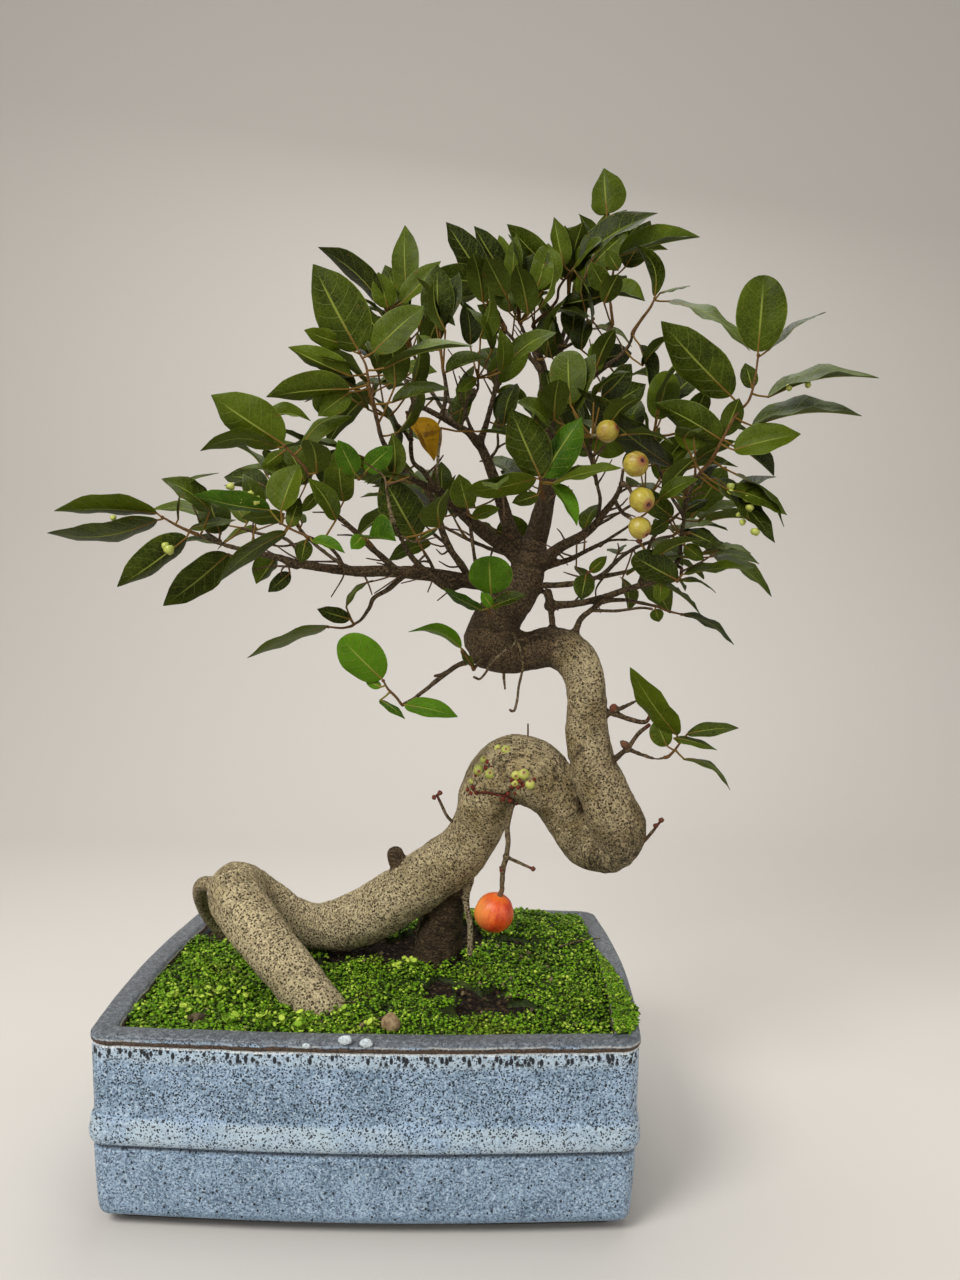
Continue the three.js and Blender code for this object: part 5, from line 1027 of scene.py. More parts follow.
@dataclass(frozen=True)
class Creeper:
    """Tiny round leaves and moss: each leaf has its own green."""

    dark: Colour = shade(26, 38, 4)
    green: Colour = shade(112, 162, 12)
    bright: Colour = shade(200, 222, 82)

    def build(self) -> bpy.types.Material:
        """Return the material."""
        g = Graph("moss_and_creeper")
        p = g.place()
        tint = g.value("tint")
        patch = g.noise(p, 22, 3)
        fine = g.noise(p, 900, 3, 0.7)
        colour = g.coats(self.dark, (tint.step(0.0, 0.7), self.green), (tint.step(0.66, 1.0), self.bright),
                         (patch.step(0.55, 0.72) * 0.35, shade(112, 116, 30)),
                         (patch.step(0.46, 0.3) * 0.35, self.dark),
                         # fine bright flecks: painted highlights on the glossy leaves
                         (fine.step(0.5, 0.8) * 0.25, self.bright))
        return g.finish(colour, fine * 0.2 + 0.5, fine, 0.0006, Specular_IOR_Level=0.25)


@dataclass(frozen=True)
class TanStone:
    """A tan river pebble."""

    light: Colour = shade(176, 150, 112)
    dark: Colour = shade(112, 86, 56)

    def build(self) -> bpy.types.Material:
        """Return the material."""
        g = Graph("tan_stone")
        p = g.place()
        grain = g.noise(p, 160, 5, 0.65)
        bands = g.noise(g.scaled(p, (1, 1, 3)), 60, 2).step(0.5, 0.7)
        colour = g.coats(self.dark, (grain.step(0.35, 0.7), self.light), (bands * 0.4, shade(140, 104, 66)))
        return g.finish(colour, grain * 0.2 + 0.6, grain)


@dataclass(frozen=True)
class Bark:
    """Thin tan bark with dark flecks and fine cracks, darker on the head and the branches; paler low down as
    painted light, and darker in painted shade.
    """

    tan: Colour = shade(188, 170, 130)
    olive: Colour = shade(146, 128, 88)
    brown: Colour = shade(78, 62, 42)
    fleck: Colour = shade(44, 34, 22)
    tip: Colour = shade(112, 48, 34)

    def build(self) -> bpy.types.Material:
        """Return the material; its grain runs across, across and along the wood."""
        g = Graph("bark")
        grain = g.scaled(g.value("grain", "Vector"), (0.001, 0.001, 0.001))
        # painted shade under the low bend and on undersides, darker on the root mass, and the nearly black
        # bark round the stub
        shade_and_dark_bark, scar = g.value("dark"), g.value("scar")
        broad = g.noise(grain, 38, 3, 0.55)
        fine = g.noise(grain, 620, 4, 0.75)
        rings = g.noise(g.scaled(grain, (1, 1, 3.2)), 150, 4, 0.65, 0.4)
        cracks = g.noise(g.scaled(grain, (1.6, 1.6, 0.8)), 210, 4, 0.6, 1.2)
        line = abs(cracks - 0.5).step(0.03, 0.0)
        pits = g.cells(g.scaled(grain, (1, 1, 1.7)), 300).step(0.34, 0.2)
        pits = pits * g.noise(grain, 90, 2).step(0.42, 0.58)
        dots = g.cells(g.scaled(grain, (1, 1, 1.4)), 360).step(0.46, 0.26) * fine.step(0.34, 0.52)
        wrinkle = g.noise(g.scaled(grain, (0.7, 0.7, 4.5)), 120, 3, 0.6, 0.3).step(0.5, 0.66)
        # painted light: the bark is paler low on the trunk, near the ground
        painted_light_low = g.parts(g.place())[2].step(0.27, 0.17)
        worn = g.coats(self.brown, (fine.step(0.4, 0.66), shade(118, 98, 68)),
                       (rings.step(0.48, 0.68) * 0.6, shade(46, 34, 22)))
        colour = g.coats(
            self.tan, (broad.step(0.36, 0.66), self.olive), (rings.step(0.5, 0.72) * 0.5, self.brown),
            (fine.step(0.5, 0.72) * 0.55, shade(214, 198, 160)), (painted_light_low * 0.5, shade(226, 208, 166)),
            (g.value("age"), worn), (g.math("MAXIMUM", pits, dots) * 0.95, self.fleck),
            (line * 0.55, self.fleck), (shade_and_dark_bark * (wrinkle * 0.6 + 0.25), self.fleck),
            (g.value("tip"), g.mix(fine.step(0.4, 0.7), self.tip, shade(78, 34, 24))),
            (scar, g.mix(fine, shade(24, 18, 12), shade(70, 54, 38))))
        height = (rings * 0.5 + fine * 0.35 - pits * 0.35 - line * 0.4 - dots * 0.2 + broad * 0.4
                  - wrinkle * (shade_and_dark_bark * 0.6 + 0.1))
        return g.finish(colour, fine * 0.15 + 0.78, height, 0.002, Specular_IOR_Level=0.25)


@dataclass(frozen=True)
class FigLeaf:
    """Leathery leaf: dark above, grey-olive below, with pale ribs; young leaves are bright."""

    name: str = "fig_leaf"
    dark: Colour = shade(26, 34, 0)
    light: Colour = shade(70, 84, 4)
    young: Colour = shade(36, 66, 0)
    fresh: Colour = shade(72, 112, 6)
    under: Colour = shade(66, 78, 16)
    rib: Colour = shade(140, 150, 62)
    stalk: Colour = shade(112, 84, 36)
    blotch: Colour = shade(66, 70, 16)
    blotch_share: float = 0.2
    blotch_from: float = 0.6

    def build(self) -> bpy.types.Material:
        """Return the material; u runs across the blade and s from its base to its tip."""
        g = Graph(self.name)
        p = g.place()
        u, s, _ = g.parts(g.place("UV"))
        luck, youth, below = g.parts(g.value("leaf", "Vector"))
        stem = g.value("stem")
        w = u * 2.0 - 1.0
        away = abs(w)
        # side ribs leave the midrib and bow forward to the edge; left and right alternate
        run = (s - (away ** RIB_BOW) * 0.2 + w.step(-0.01, 0.01) * 0.07) * RIB_PAIRS
        ribs = abs(g.math("FRACT", run) - 0.5).step(0.055, 0.0)
        ribs = ribs * away.step(1.0, 0.6) * s.step(0.0, 0.08) * s.step(1.0, 0.85)
        middle = away.step(0.065, 0.02) * s.step(1.02, 0.5)
        net = g.cells(p, 330, "DISTANCE_TO_EDGE").step(0.12, 0.0)
        mottle = g.noise(p, 55, 4, 0.6)
        grain = g.noise(p, 900, 2)
        tone = mottle * 0.7 + luck * 0.6
        top = g.mix(youth, g.mix(tone.step(0.35, 1.0), self.dark, self.light),
                    g.mix(tone.step(0.3, 1.0), self.young, self.fresh))
        underside = g.coats(self.under, (mottle, shade(54, 64, 12)), (youth * 0.6, shade(70, 104, 20)))
        blotches = mottle.step(self.blotch_from, self.blotch_from + 0.12) * self.blotch_share
        spots = g.noise(p, 210, 2).step(0.66, 0.72) * away.step(0.5, 0.95)
        twig = g.mix(grain.step(0.4, 0.6), shade(84, 58, 34), shade(110, 80, 46))
        colour = g.coats(
            top, (below, underside), (blotches, self.blotch), (net * 0.12, self.rib),
            (ribs * (youth * 0.15 + 0.3), self.rib), (middle * 0.6, self.rib),
            (away.step(0.95, 1.0) * 0.4, self.rib), (spots * 0.7, shade(104, 66, 28)),
            (stem.step(0.1, 0.5), g.mix(youth * 0.3, self.stalk, self.rib)), (stem.step(1.3, 1.8), twig))
        height = grain * 0.12 - ribs * 0.5 - middle * 0.4 + mottle * 0.3 + net * 0.1
        rough = below * 0.25 + grain * 0.08 + stem * 0.1 + 0.4
        return g.finish(colour, rough, height, 0.0008, Specular_IOR_Level=0.1)


@dataclass(frozen=True)
class FigSkin:
    """Skin of a fig: streaked down from the stalk and speckled, dark round the eye, with a painted highlight
    on one side.
    """

    name: str
    body: Colour
    blush: Colour
    streak: Colour
    speck: Colour
    eye: Colour
    ring: Colour
    # strength of the painted highlight on one side of the fruit
    painted_highlight_side: float = 0.0

    def build(self) -> bpy.types.Material:
        """Return the material; along runs from the stalk to the eye and turn halfway round."""
        g = Graph(self.name)
        p = g.place()
        along, turn, kind = g.parts(g.value("fig", "Vector"))
        patch = g.noise(p, 60, 3, 0.6)
        around = g.out("ShaderNodeCombineXYZ", inputs={0: turn * 8.0, 1: along * 1.2})
        lines = g.noise(around, 1.6, 4, 0.65)
        specks = g.cells(p, 560).step(0.24, 0.12)
        stalk = g.mix(patch.step(0.4, 0.6), shade(104, 78, 52), shade(126, 118, 78))
        colour = g.coats(
            self.body, (patch.step(0.4, 0.65), self.blush), (lines.step(0.48, 0.75) * 0.7, self.streak),
            (specks * 0.55, self.speck), (along.step(0.22, 0.0) * 0.5, self.streak),
            (along.step(0.80, 0.93) * 0.75, self.ring), (along.step(0.925, 0.965), self.eye),
            # painted highlight: paler on one side of the fruit
            (turn.step(0.62, 0.2) * along.step(0.1, 0.4) * self.painted_highlight_side, self.speck), (kind, stalk))
        height = patch * 0.4 + lines * 0.25 + specks * 0.1
        return g.finish(colour, patch * 0.12 + kind * 0.3 + 0.36, height, 0.0008,
                        Subsurface_Weight=0.12, Subsurface_Radius=(0.004, 0.002, 0.001))


RIPE = FigSkin("ripe_fig_skin", shade(226, 84, 26), shade(196, 46, 22), shade(240, 138, 50),
               shade(250, 176, 84), shade(40, 14, 10), shade(150, 34, 20), 0.5)
UNRIPE = FigSkin("unripe_fig_skin", shade(166, 150, 46), shade(142, 110, 44), shade(192, 176, 84),
                 shade(214, 204, 134), shade(76, 16, 16), shade(140, 64, 40))
BUDDING = FigSkin("young_fig_skin", shade(178, 182, 84), shade(150, 160, 62), shade(204, 206, 122),
                  shade(222, 222, 160), shade(110, 36, 30), shade(150, 120, 60))


@dataclass
class Pot:
    """Oblong pot: bowed wall with a raised belt and a rolled rim, on four corner feet."""

    length: float = 414.0
    width: float = 316.0
    middle: tuple[float, float] = (-2.5, 8.0)
    table: float = -9.0
    corner: float = 17.0
    least_corner: float = 3.0
    bow: float = 8.0
    bow_fades: float = 140.0
    corner_steps: int = 9
    side_steps: tuple[int, int] = (56, 42)
    beads: Rows = ((345, 1040, 4.6), (366, 1043, 4.0), (306, 1046, 2.4))
    bead_depth: float = -159.0
    profile: Rows = (
        (-1, -150), (-1, -70), (-1, -24), (-1, -16.5), (0.5, -9), (5, -6), (16, -4.8), (34, -3.7),
        (48, -2.9), (52, -2.8), (54.2, -4.2), (55.5, -4.3), (57.2, -1.2), (60.5, 0.5), (65, 1),
        (68.5, 0.5), (71.5, -0.1), (74, 0), (76.6, -1), (79, -2.2), (82, -2.3), (96, -1.9),
        (112, -1.5), (128, -1.2), (130, -1.8), (131.2, -2.4), (132.4, -1), (134, -0.1), (137, 0),
        (139.2, -1), (140, -3), (140.3, -8), (140, -14), (139, -17), (136, -19), (130, -20),
        (100, -21.6), (60, -23.6), (26, -25.6), (19, -28), (18, -40), (18, -90), (18, -150),
    )

    def outline(self, outset: Array) -> Array:
        """Outline of the pot at distances out from the rim line.

        Quarter circles at the corners; each side is a straight line pushed outwards by half a
        sine wave.

        Args:
            outset: one distance for each ring.

        Returns:
            Rings x points x 2.
        """
        outset = np.asarray(outset, float)[:, None]
        radius = np.maximum(self.corner + outset, self.least_corner)
        # past the corner's own radius a ring shrinks by moving its corners inwards
        pull = np.minimum(self.corner + outset - radius, 0.0)
        reach_x = self.length / 2 - self.corner + pull
        reach_y = self.width / 2 - self.corner + pull
        parts = []
        corners = ((-1, -1, np.pi), (1, -1, -np.pi / 2), (1, 1, 0.0), (-1, 1, np.pi / 2))
        for index, (sx, sy, start) in enumerate(corners):
            angle = start + np.linspace(0, np.pi / 2, self.corner_steps)[None]
            parts.append(np.stack([sx * reach_x + radius * np.cos(angle),
                                   sy * reach_y + radius * np.sin(angle)], axis=-1))
            nx, ny = corners[(index + 1) % 4][:2]
            count = self.side_steps[index % 2]
            t = (np.arange(1, count) / count)[None]
            bow = self.bow * np.sin(np.pi * t) * np.clip(1 + outset / self.bow_fades, 0, 1)
            if index % 2 == 0:
                side = (reach_x * (sx * (1 - t) + nx * t), sy * (reach_y + radius + bow))
            else:
                side = (sx * (reach_x + radius + bow), reach_y * (sy * (1 - t) + ny * t))
            parts.append(np.stack(side, axis=-1))
        return np.concatenate(parts, axis=1) + np.array(self.middle)

    def shell(self) -> Skin:
        """Wall and floor: the profile, smoothed, carried round the outline."""
        rows = np.array(self.profile, float)
        smooth = spline(np.column_stack([rows[:, 1], np.zeros(len(rows)), rows[:, 0]]), 2.2)
        outset, height = smooth[:, 0], smooth[:, 2]
        flat = self.outline(outset)
        z = np.broadcast_to(height[:, None], flat.shape[:2])
        rings = np.dstack([flat, z])
        outward = np.dstack([unit(flat - np.array(self.middle)), np.zeros(z.shape)])
        uneven = 0.35 * noise(rings, 45.0, 3, 2) + 0.12 * noise(rings, 9.0, 5)
        visible = ((height > 1) & (outset > -20))[:, None]
        rings = rings + outward * (uneven * visible)[..., None]
        rings[..., 2] += 0.3 * noise(rings, 38.0, 9) * (height > 134)[:, None]
        lip = np.clip((height - 136.2) / 1.6, 0, 1)
        lip[height.argmax() + 1:] = 1.0
        skin = Skin()
        skin.loft(rings, {"lip": np.broadcast_to(lip[:, None], z.shape), "bead": np.zeros(z.shape)})
        return skin

    def feet(self, skin: Skin) -> None:
        """Add the foot ring: its underside rises in an arch in the middle of each side."""
        def arch(value: Array, low: float, high: float) -> Array:
            """Height of the arch: 7.5 between the limits, sloping to 0 over 14 mm."""
            inside = np.minimum(value - low, high - value)
            return 7.5 * np.clip(inside / 14, 0, 1) ** 0.6

        flat = self.outline(np.array([-20.0, -20.6, -22.0, -45.0, -44.0]))
        x, y = flat[..., 0], flat[..., 1]
        long_side = np.abs(y - self.middle[1]) > 108
        under = self.table + np.where(long_side, arch(x, -62, 75), arch(y, -45, 45))
        top = np.full(len(under[0]), 0.5)
        rings = np.dstack([flat, np.stack([top, under[1] + 1.2, under[2], under[3], top])])
        for order in ([0, 1, 2, 3, 4], [4, 0]):
            none = np.zeros(rings[order].shape[:2])
            skin.loft(rings[order], {"lip": none, "bead": none}, caps=False)

    def drips(self, skin: Skin) -> None:
        """Add the pale beads of glaze that stand on the rim at the front."""
        for index, (across, down, radius) in enumerate(self.beads):
            centre = VIEW.place((across, down, self.bead_depth))
            ball = globe(np.linspace(-1.3, 1.3, 8), 16) * np.array([1.5, 0.55, 1.0])
            ball *= (1 + 0.15 * noise(ball + index, 0.8, 4))[..., None]
            flat = np.zeros(ball.shape[:2])
            skin.loft(centre + ball * radius * 0.8, {"lip": flat, "bead": flat + 1})

    def build(self) -> None:
        """Make the pot."""
        skin = self.shell()
        self.feet(skin)
        self.drips(skin)
        fit_out(skin.mesh("pot_glazed"), GlazedStoneware().build(), "glazed_stoneware", "pot")


def soil_height(x: Array, y: Array) -> Array:
    """Height of the soil: level at the wall, banked up in a bell shape behind the trunk."""
    return 127 + 20 * np.exp(-(((x - 95) / 125) ** 2 + ((y - 92) / 72) ** 2))


def moss_height(x: Array, y: Array) -> Array:
    """Height of the creeper: a layer on the soil with lumps from crossed sine waves."""
    lumps = 1.4 * np.sin(x / 17) * np.cos(y / 13 + 1) + np.sin(x / 9 + y / 11)
    return soil_height(x, y) + 6 + lumps


def bareness(x: Array, y: Array) -> Array:
    """How bare the ground is, from 0 to 1: inside ellipses whose edge is ragged by noise."""
    ragged = 0.35 * noise(level(x, y), 12.0, 21, 3)
    bare = np.zeros(np.shape(x))
    for cx, cy, rx, ry in BARE_PATCHES:
        reach = np.sqrt(((x - cx) / rx) ** 2 + ((y - cy) / ry) ** 2) + ragged
        bare = np.maximum(bare, np.clip((1.08 - reach) / 0.22, 0, 1))
    return bare


@dataclass
class Ground:
    """Soil, creeper, pebble and litter inside the pot."""

    pot: Pot
    leaves: int = 25000
    leaf_radius: tuple[float, float] = (1.25, 2.3)
    spill: int = 1500
    crumbs: int = 90

    def bed(self, top: Any, bottom: float, outset: float, tint: float) -> Skin:
        """Body from wall to wall: rings of the pot's outline that shrink to the middle.

        Args:
            top: height of the upper side at x, y.
            bottom: depth of its lower side below the upper side.
            outset: distance of its wall from the pot's rim line.
            tint: value that its surface carries.

        Returns:
            The skin.
        """
        shares = np.linspace(1, 0.02, 70)
        ring = self.pot.outline(np.array([outset]))[0]
        flat = ring[None] * shares[:, None, None]
        x, y = flat[..., 0], flat[..., 1]
        upper = np.dstack([flat, top(x, y)])
        lower = upper[[0]] - np.array([0, 0, bottom])
        base = np.dstack([flat[[-1]], np.full((1, len(ring)), lower[..., 2].min())])
        rings = np.concatenate([base, lower, upper])
        skin = Skin()
        skin.loft(rings, {"tint": np.full(rings.shape[:2], tint)})
        return skin

    def soil_top(self, x: Array, y: Array) -> Array:
        """Height of the soil with its crumbs."""
        hollow = 7 * np.exp(-(((x - 78) / 30) ** 2 + ((y + 52) / 17) ** 2))
        return soil_height(x, y) + 1.2 * noise(level(x, y), 9.0, 2, 3) - hollow

    def moss_top(self, x: Array, y: Array) -> Array:
        """Height of the mat, which sinks under the soil where the ground is bare."""
        mat = moss_height(x, y) - 0.6 + 1.1 * noise(level(x, y), 7.0, 8, 3)
        return mat - 14 * np.sqrt(bareness(x, y))

    def leaflets(self, name: str, seed: int, count: int) -> Skin:
        """Tiny round leaves: two flat five-sided cones, rim to rim, tilted at random.

        Args:
            name: named in the log only.
            seed: picks the places.
            count: how many are drawn, before those on bare ground are left out.

        Returns:
            The skin.
        """
        rng = np.random.default_rng(seed)
        length, width, bow = self.pot.length, self.pot.width, self.pot.bow
        half_x, half_y = length / 2 - 20.5, width / 2 - 20.5
        x = rng.uniform(-half_x - bow, half_x + bow, count)
        y = rng.uniform(-half_y - bow, half_y + bow, count)
        inside = np.abs(y) < half_y - 0.5 + bow * np.cos(np.pi * np.clip(x / length, -0.5, 0.5))
        inside &= np.abs(x) < half_x - 0.5 + bow * np.cos(np.pi * np.clip(y / width, -0.5, 0.5))
        x, y = x + self.pot.middle[0], y + self.pot.middle[1]
        keep = inside & (bareness(x, y) < rng.uniform(0.02, 0.9, count))
        x, y = x[keep], y[keep]
        extra = self.over_rim(rng) if seed % 2 else np.zeros((0, 3))
        z = moss_height(x, y) + rng.uniform(-1.4, 2.6, len(x)) + 1.1 * noise(level(x, y), 7.0, 8, 3)
        centres = np.vstack([np.stack([x, y, z], axis=-1), extra])
        total = len(centres)
        radius = rng.uniform(*self.leaf_radius, total) * np.where(centres[:, 0] < -60, 1.15, 1.0)
        up = unit(rng.normal(size=(total, 3)) * 0.48 + np.array([0, -0.14, 1]))
        side = unit(np.cross(up, rng.normal(size=(total, 3))))
        front = np.cross(up, side)
        angle = turns(5)[:, None]
        ring = side[:, None] * np.cos(angle) + front[:, None] * np.sin(angle)
        ring = centres[:, None] + ring * radius[:, None, None]
        above = centres + up * radius[:, None] * 0.28
        below = centres - up * radius[:, None] * 0.1
        points = np.concatenate([ring, above[:, None], below[:, None]], axis=1)
        fan = np.array([(k, (k + 1) % 5, 5) for k in range(5)] + [((k + 1) % 5, k, 6) for k in range(5)])
        tris = (np.arange(total)[:, None, None] * 7 + fan[None]).reshape(-1, 3)
        tint = np.clip(rng.beta(2.2, 2.0, total) + 0.12 * noise(centres, 25.0, 4), 0, 1)
        skin = Skin()
        skin.add(points, np.zeros((0, 4), int), tris, {"tint": np.repeat(tint, 7)[:, None]})
        log.info("%s: %d leaflets", name, total)
        return skin

    def over_rim(self, rng: np.random.Generator) -> Array:
        """Places of the leaflets that have crept onto the rim at the right front corner."""
        y = rng.uniform(-138, 34, self.spill)
        share = rng.uniform(0, 1, self.spill) ** 1.4
        reach = np.interp(y, (-138, -112, -84, -50, 0, 34), (12, 20, 21, 15, 10, 2))
        wall = np.sin(np.pi * np.clip((y - self.pot.middle[1]) / self.pot.width + 0.5, 0, 1))
        x = self.pot.middle[0] + self.pot.length / 2 - 21 + self.pot.bow * wall + share * reach
        x += 1.5 * noise(np.stack([y, y, y], axis=-1), 7.0, 3)
        return np.stack([x, y, 139.6 + 3.4 * (1 - share) + rng.uniform(0, 1.6, self.spill)], axis=-1)

    def litter(self) -> Skin:
        """Dead sticks, a flake of bark and crumbs on the ground."""
        skin = Skin()
        for index, stick in enumerate(STICKS):
            route = VIEW.place(stick)
            route[:, 2] = moss_height(route[:, 0], route[:, 1]) + 1.8
            rows = spline(np.column_stack([route, [1.0, 0.9, 0.6]]), 3.0)
            skin.rod(rows, 6, 0.2, values=wear(len(rows), 0.9), seed=index)
        rng = np.random.default_rng(77)
        x = rng.uniform(-165, 165, self.crumbs)
        y = rng.uniform(-125, 125, self.crumbs)
        centres = np.stack([x, y, moss_height(x, y) + 0.6 - 5.2 * bareness(x, y)], axis=-1)
        radii = rng.uniform(0.8, 2.2, self.crumbs)
        flake = VIEW.place((197, 995, -105))
        flake[2] = moss_height(flake[0], flake[1]) + 1.5
        centres = np.vstack([centres, flake, flake + np.array([4, 1, 0.5]), flake - np.array([4, 0, 0])])
        radii = np.concatenate([radii, [4.2, 3.6, 3.4]])
        skin.balls(centres, radii, {"grain": centres, **wear(len(radii), 0.8)}, 5, 0.5)
        return skin

    def weeds(self) -> Skin:
        """Small upright weeds and seedlings among the creeper."""
        rng = np.random.default_rng(12)
        skin = Skin()
        for spot in SEEDLINGS:
            foot = VIEW.place(spot)
            foot[2] = moss_height(foot[0], foot[1])
            tall = rng.uniform(7, 15)
            for _ in range(5):
                lean = unit(np.array([*rng.normal(size=2) * 0.5, 1.0]))
                centre = foot + lean * tall * rng.uniform(0.5, 1.0)
                up = unit(rng.normal(size=3) * 0.5 + np.array([0, -0.4, 1]))
                side = unit(np.cross(up, rng.normal(size=3)))
                front = np.cross(up, side)
                angle = turns(12)[:, None]
                size = rng.uniform(2.4, 4.2)
                ring = side * np.cos(angle) * size + front * np.sin(angle) * size * 0.7
                rings = np.stack([centre + ring * 0.5 + up * 0.25, centre + ring,
                                  centre + ring * 0.5 - up * 0.15])[::-1]
                skin.loft(rings, {"tint": np.full(rings.shape[:2], rng.uniform(0.75, 1.0))})
                stalk = np.vstack([foot, foot * 0.4 + centre * 0.6 + up, centre])
                rod = Skin()
                rod.rod(np.column_stack([stalk, [0.5, 0.45, 0.4]]), 5)
                skin.take(rod, tint=(0.7,))
        return skin

    def pebble(self) -> Skin:
        """The tan stone: a sphere pushed flatter and dented by noise."""
        x, y = 14.0, -118.0
        centre = np.array([x, y, moss_height(np.array(x), np.array(y)) + 4.5])
        ball = globe(np.linspace(-1.45, 1.45, 24), 36)
        ball *= (1 + 0.1 * noise(ball, 0.9, 6, 2))[..., None] * np.array([0.85, 0.8, 1.0])
        skin = Skin()
        skin.loft(centre + ball * 8.5, {"tint": np.zeros(ball.shape[:2])})
        return skin

    def build(self, bark: bpy.types.Material) -> None:
        """Make the ground."""
        soil = self.bed(self.soil_top, 40.0, -20.6, 0.0)
        fit_out(soil.mesh("soil_crumbs"), PottingSoil().build(), "potting_soil", "soil")
        creeper = Creeper().build()
        mat = self.bed(self.moss_top, 5.0, -20.5, 0.06)
        fit_out(mat.mesh("creeper_mat"), creeper, "moss_and_creeper", "ground_cover")
        for index, name in enumerate(("creeper_leaves_a", "creeper_leaves_b")):
            skin = self.leaflets(name, 40 + index, self.leaves // 2)
            fit_out(skin.mesh(name), creeper, "moss_and_creeper", "ground_cover")
        fit_out(self.weeds().mesh("seedlings"), creeper, "moss_and_creeper", "ground_cover")
        fit_out(self.litter().mesh("litter"), bark, "bark", "ground_cover")
        fit_out(self.pebble().mesh("river_pebble"), TanStone().build(), "tan_stone", "pebble")


def crown_limbs(lowest: float) -> list[tuple[float, float, Rows]]:
    """Return the limbs that stay above a line of the front view."""
    return [limb for limb in BRANCHES.values() if max(row[1] for row in limb[2]) < lowest]


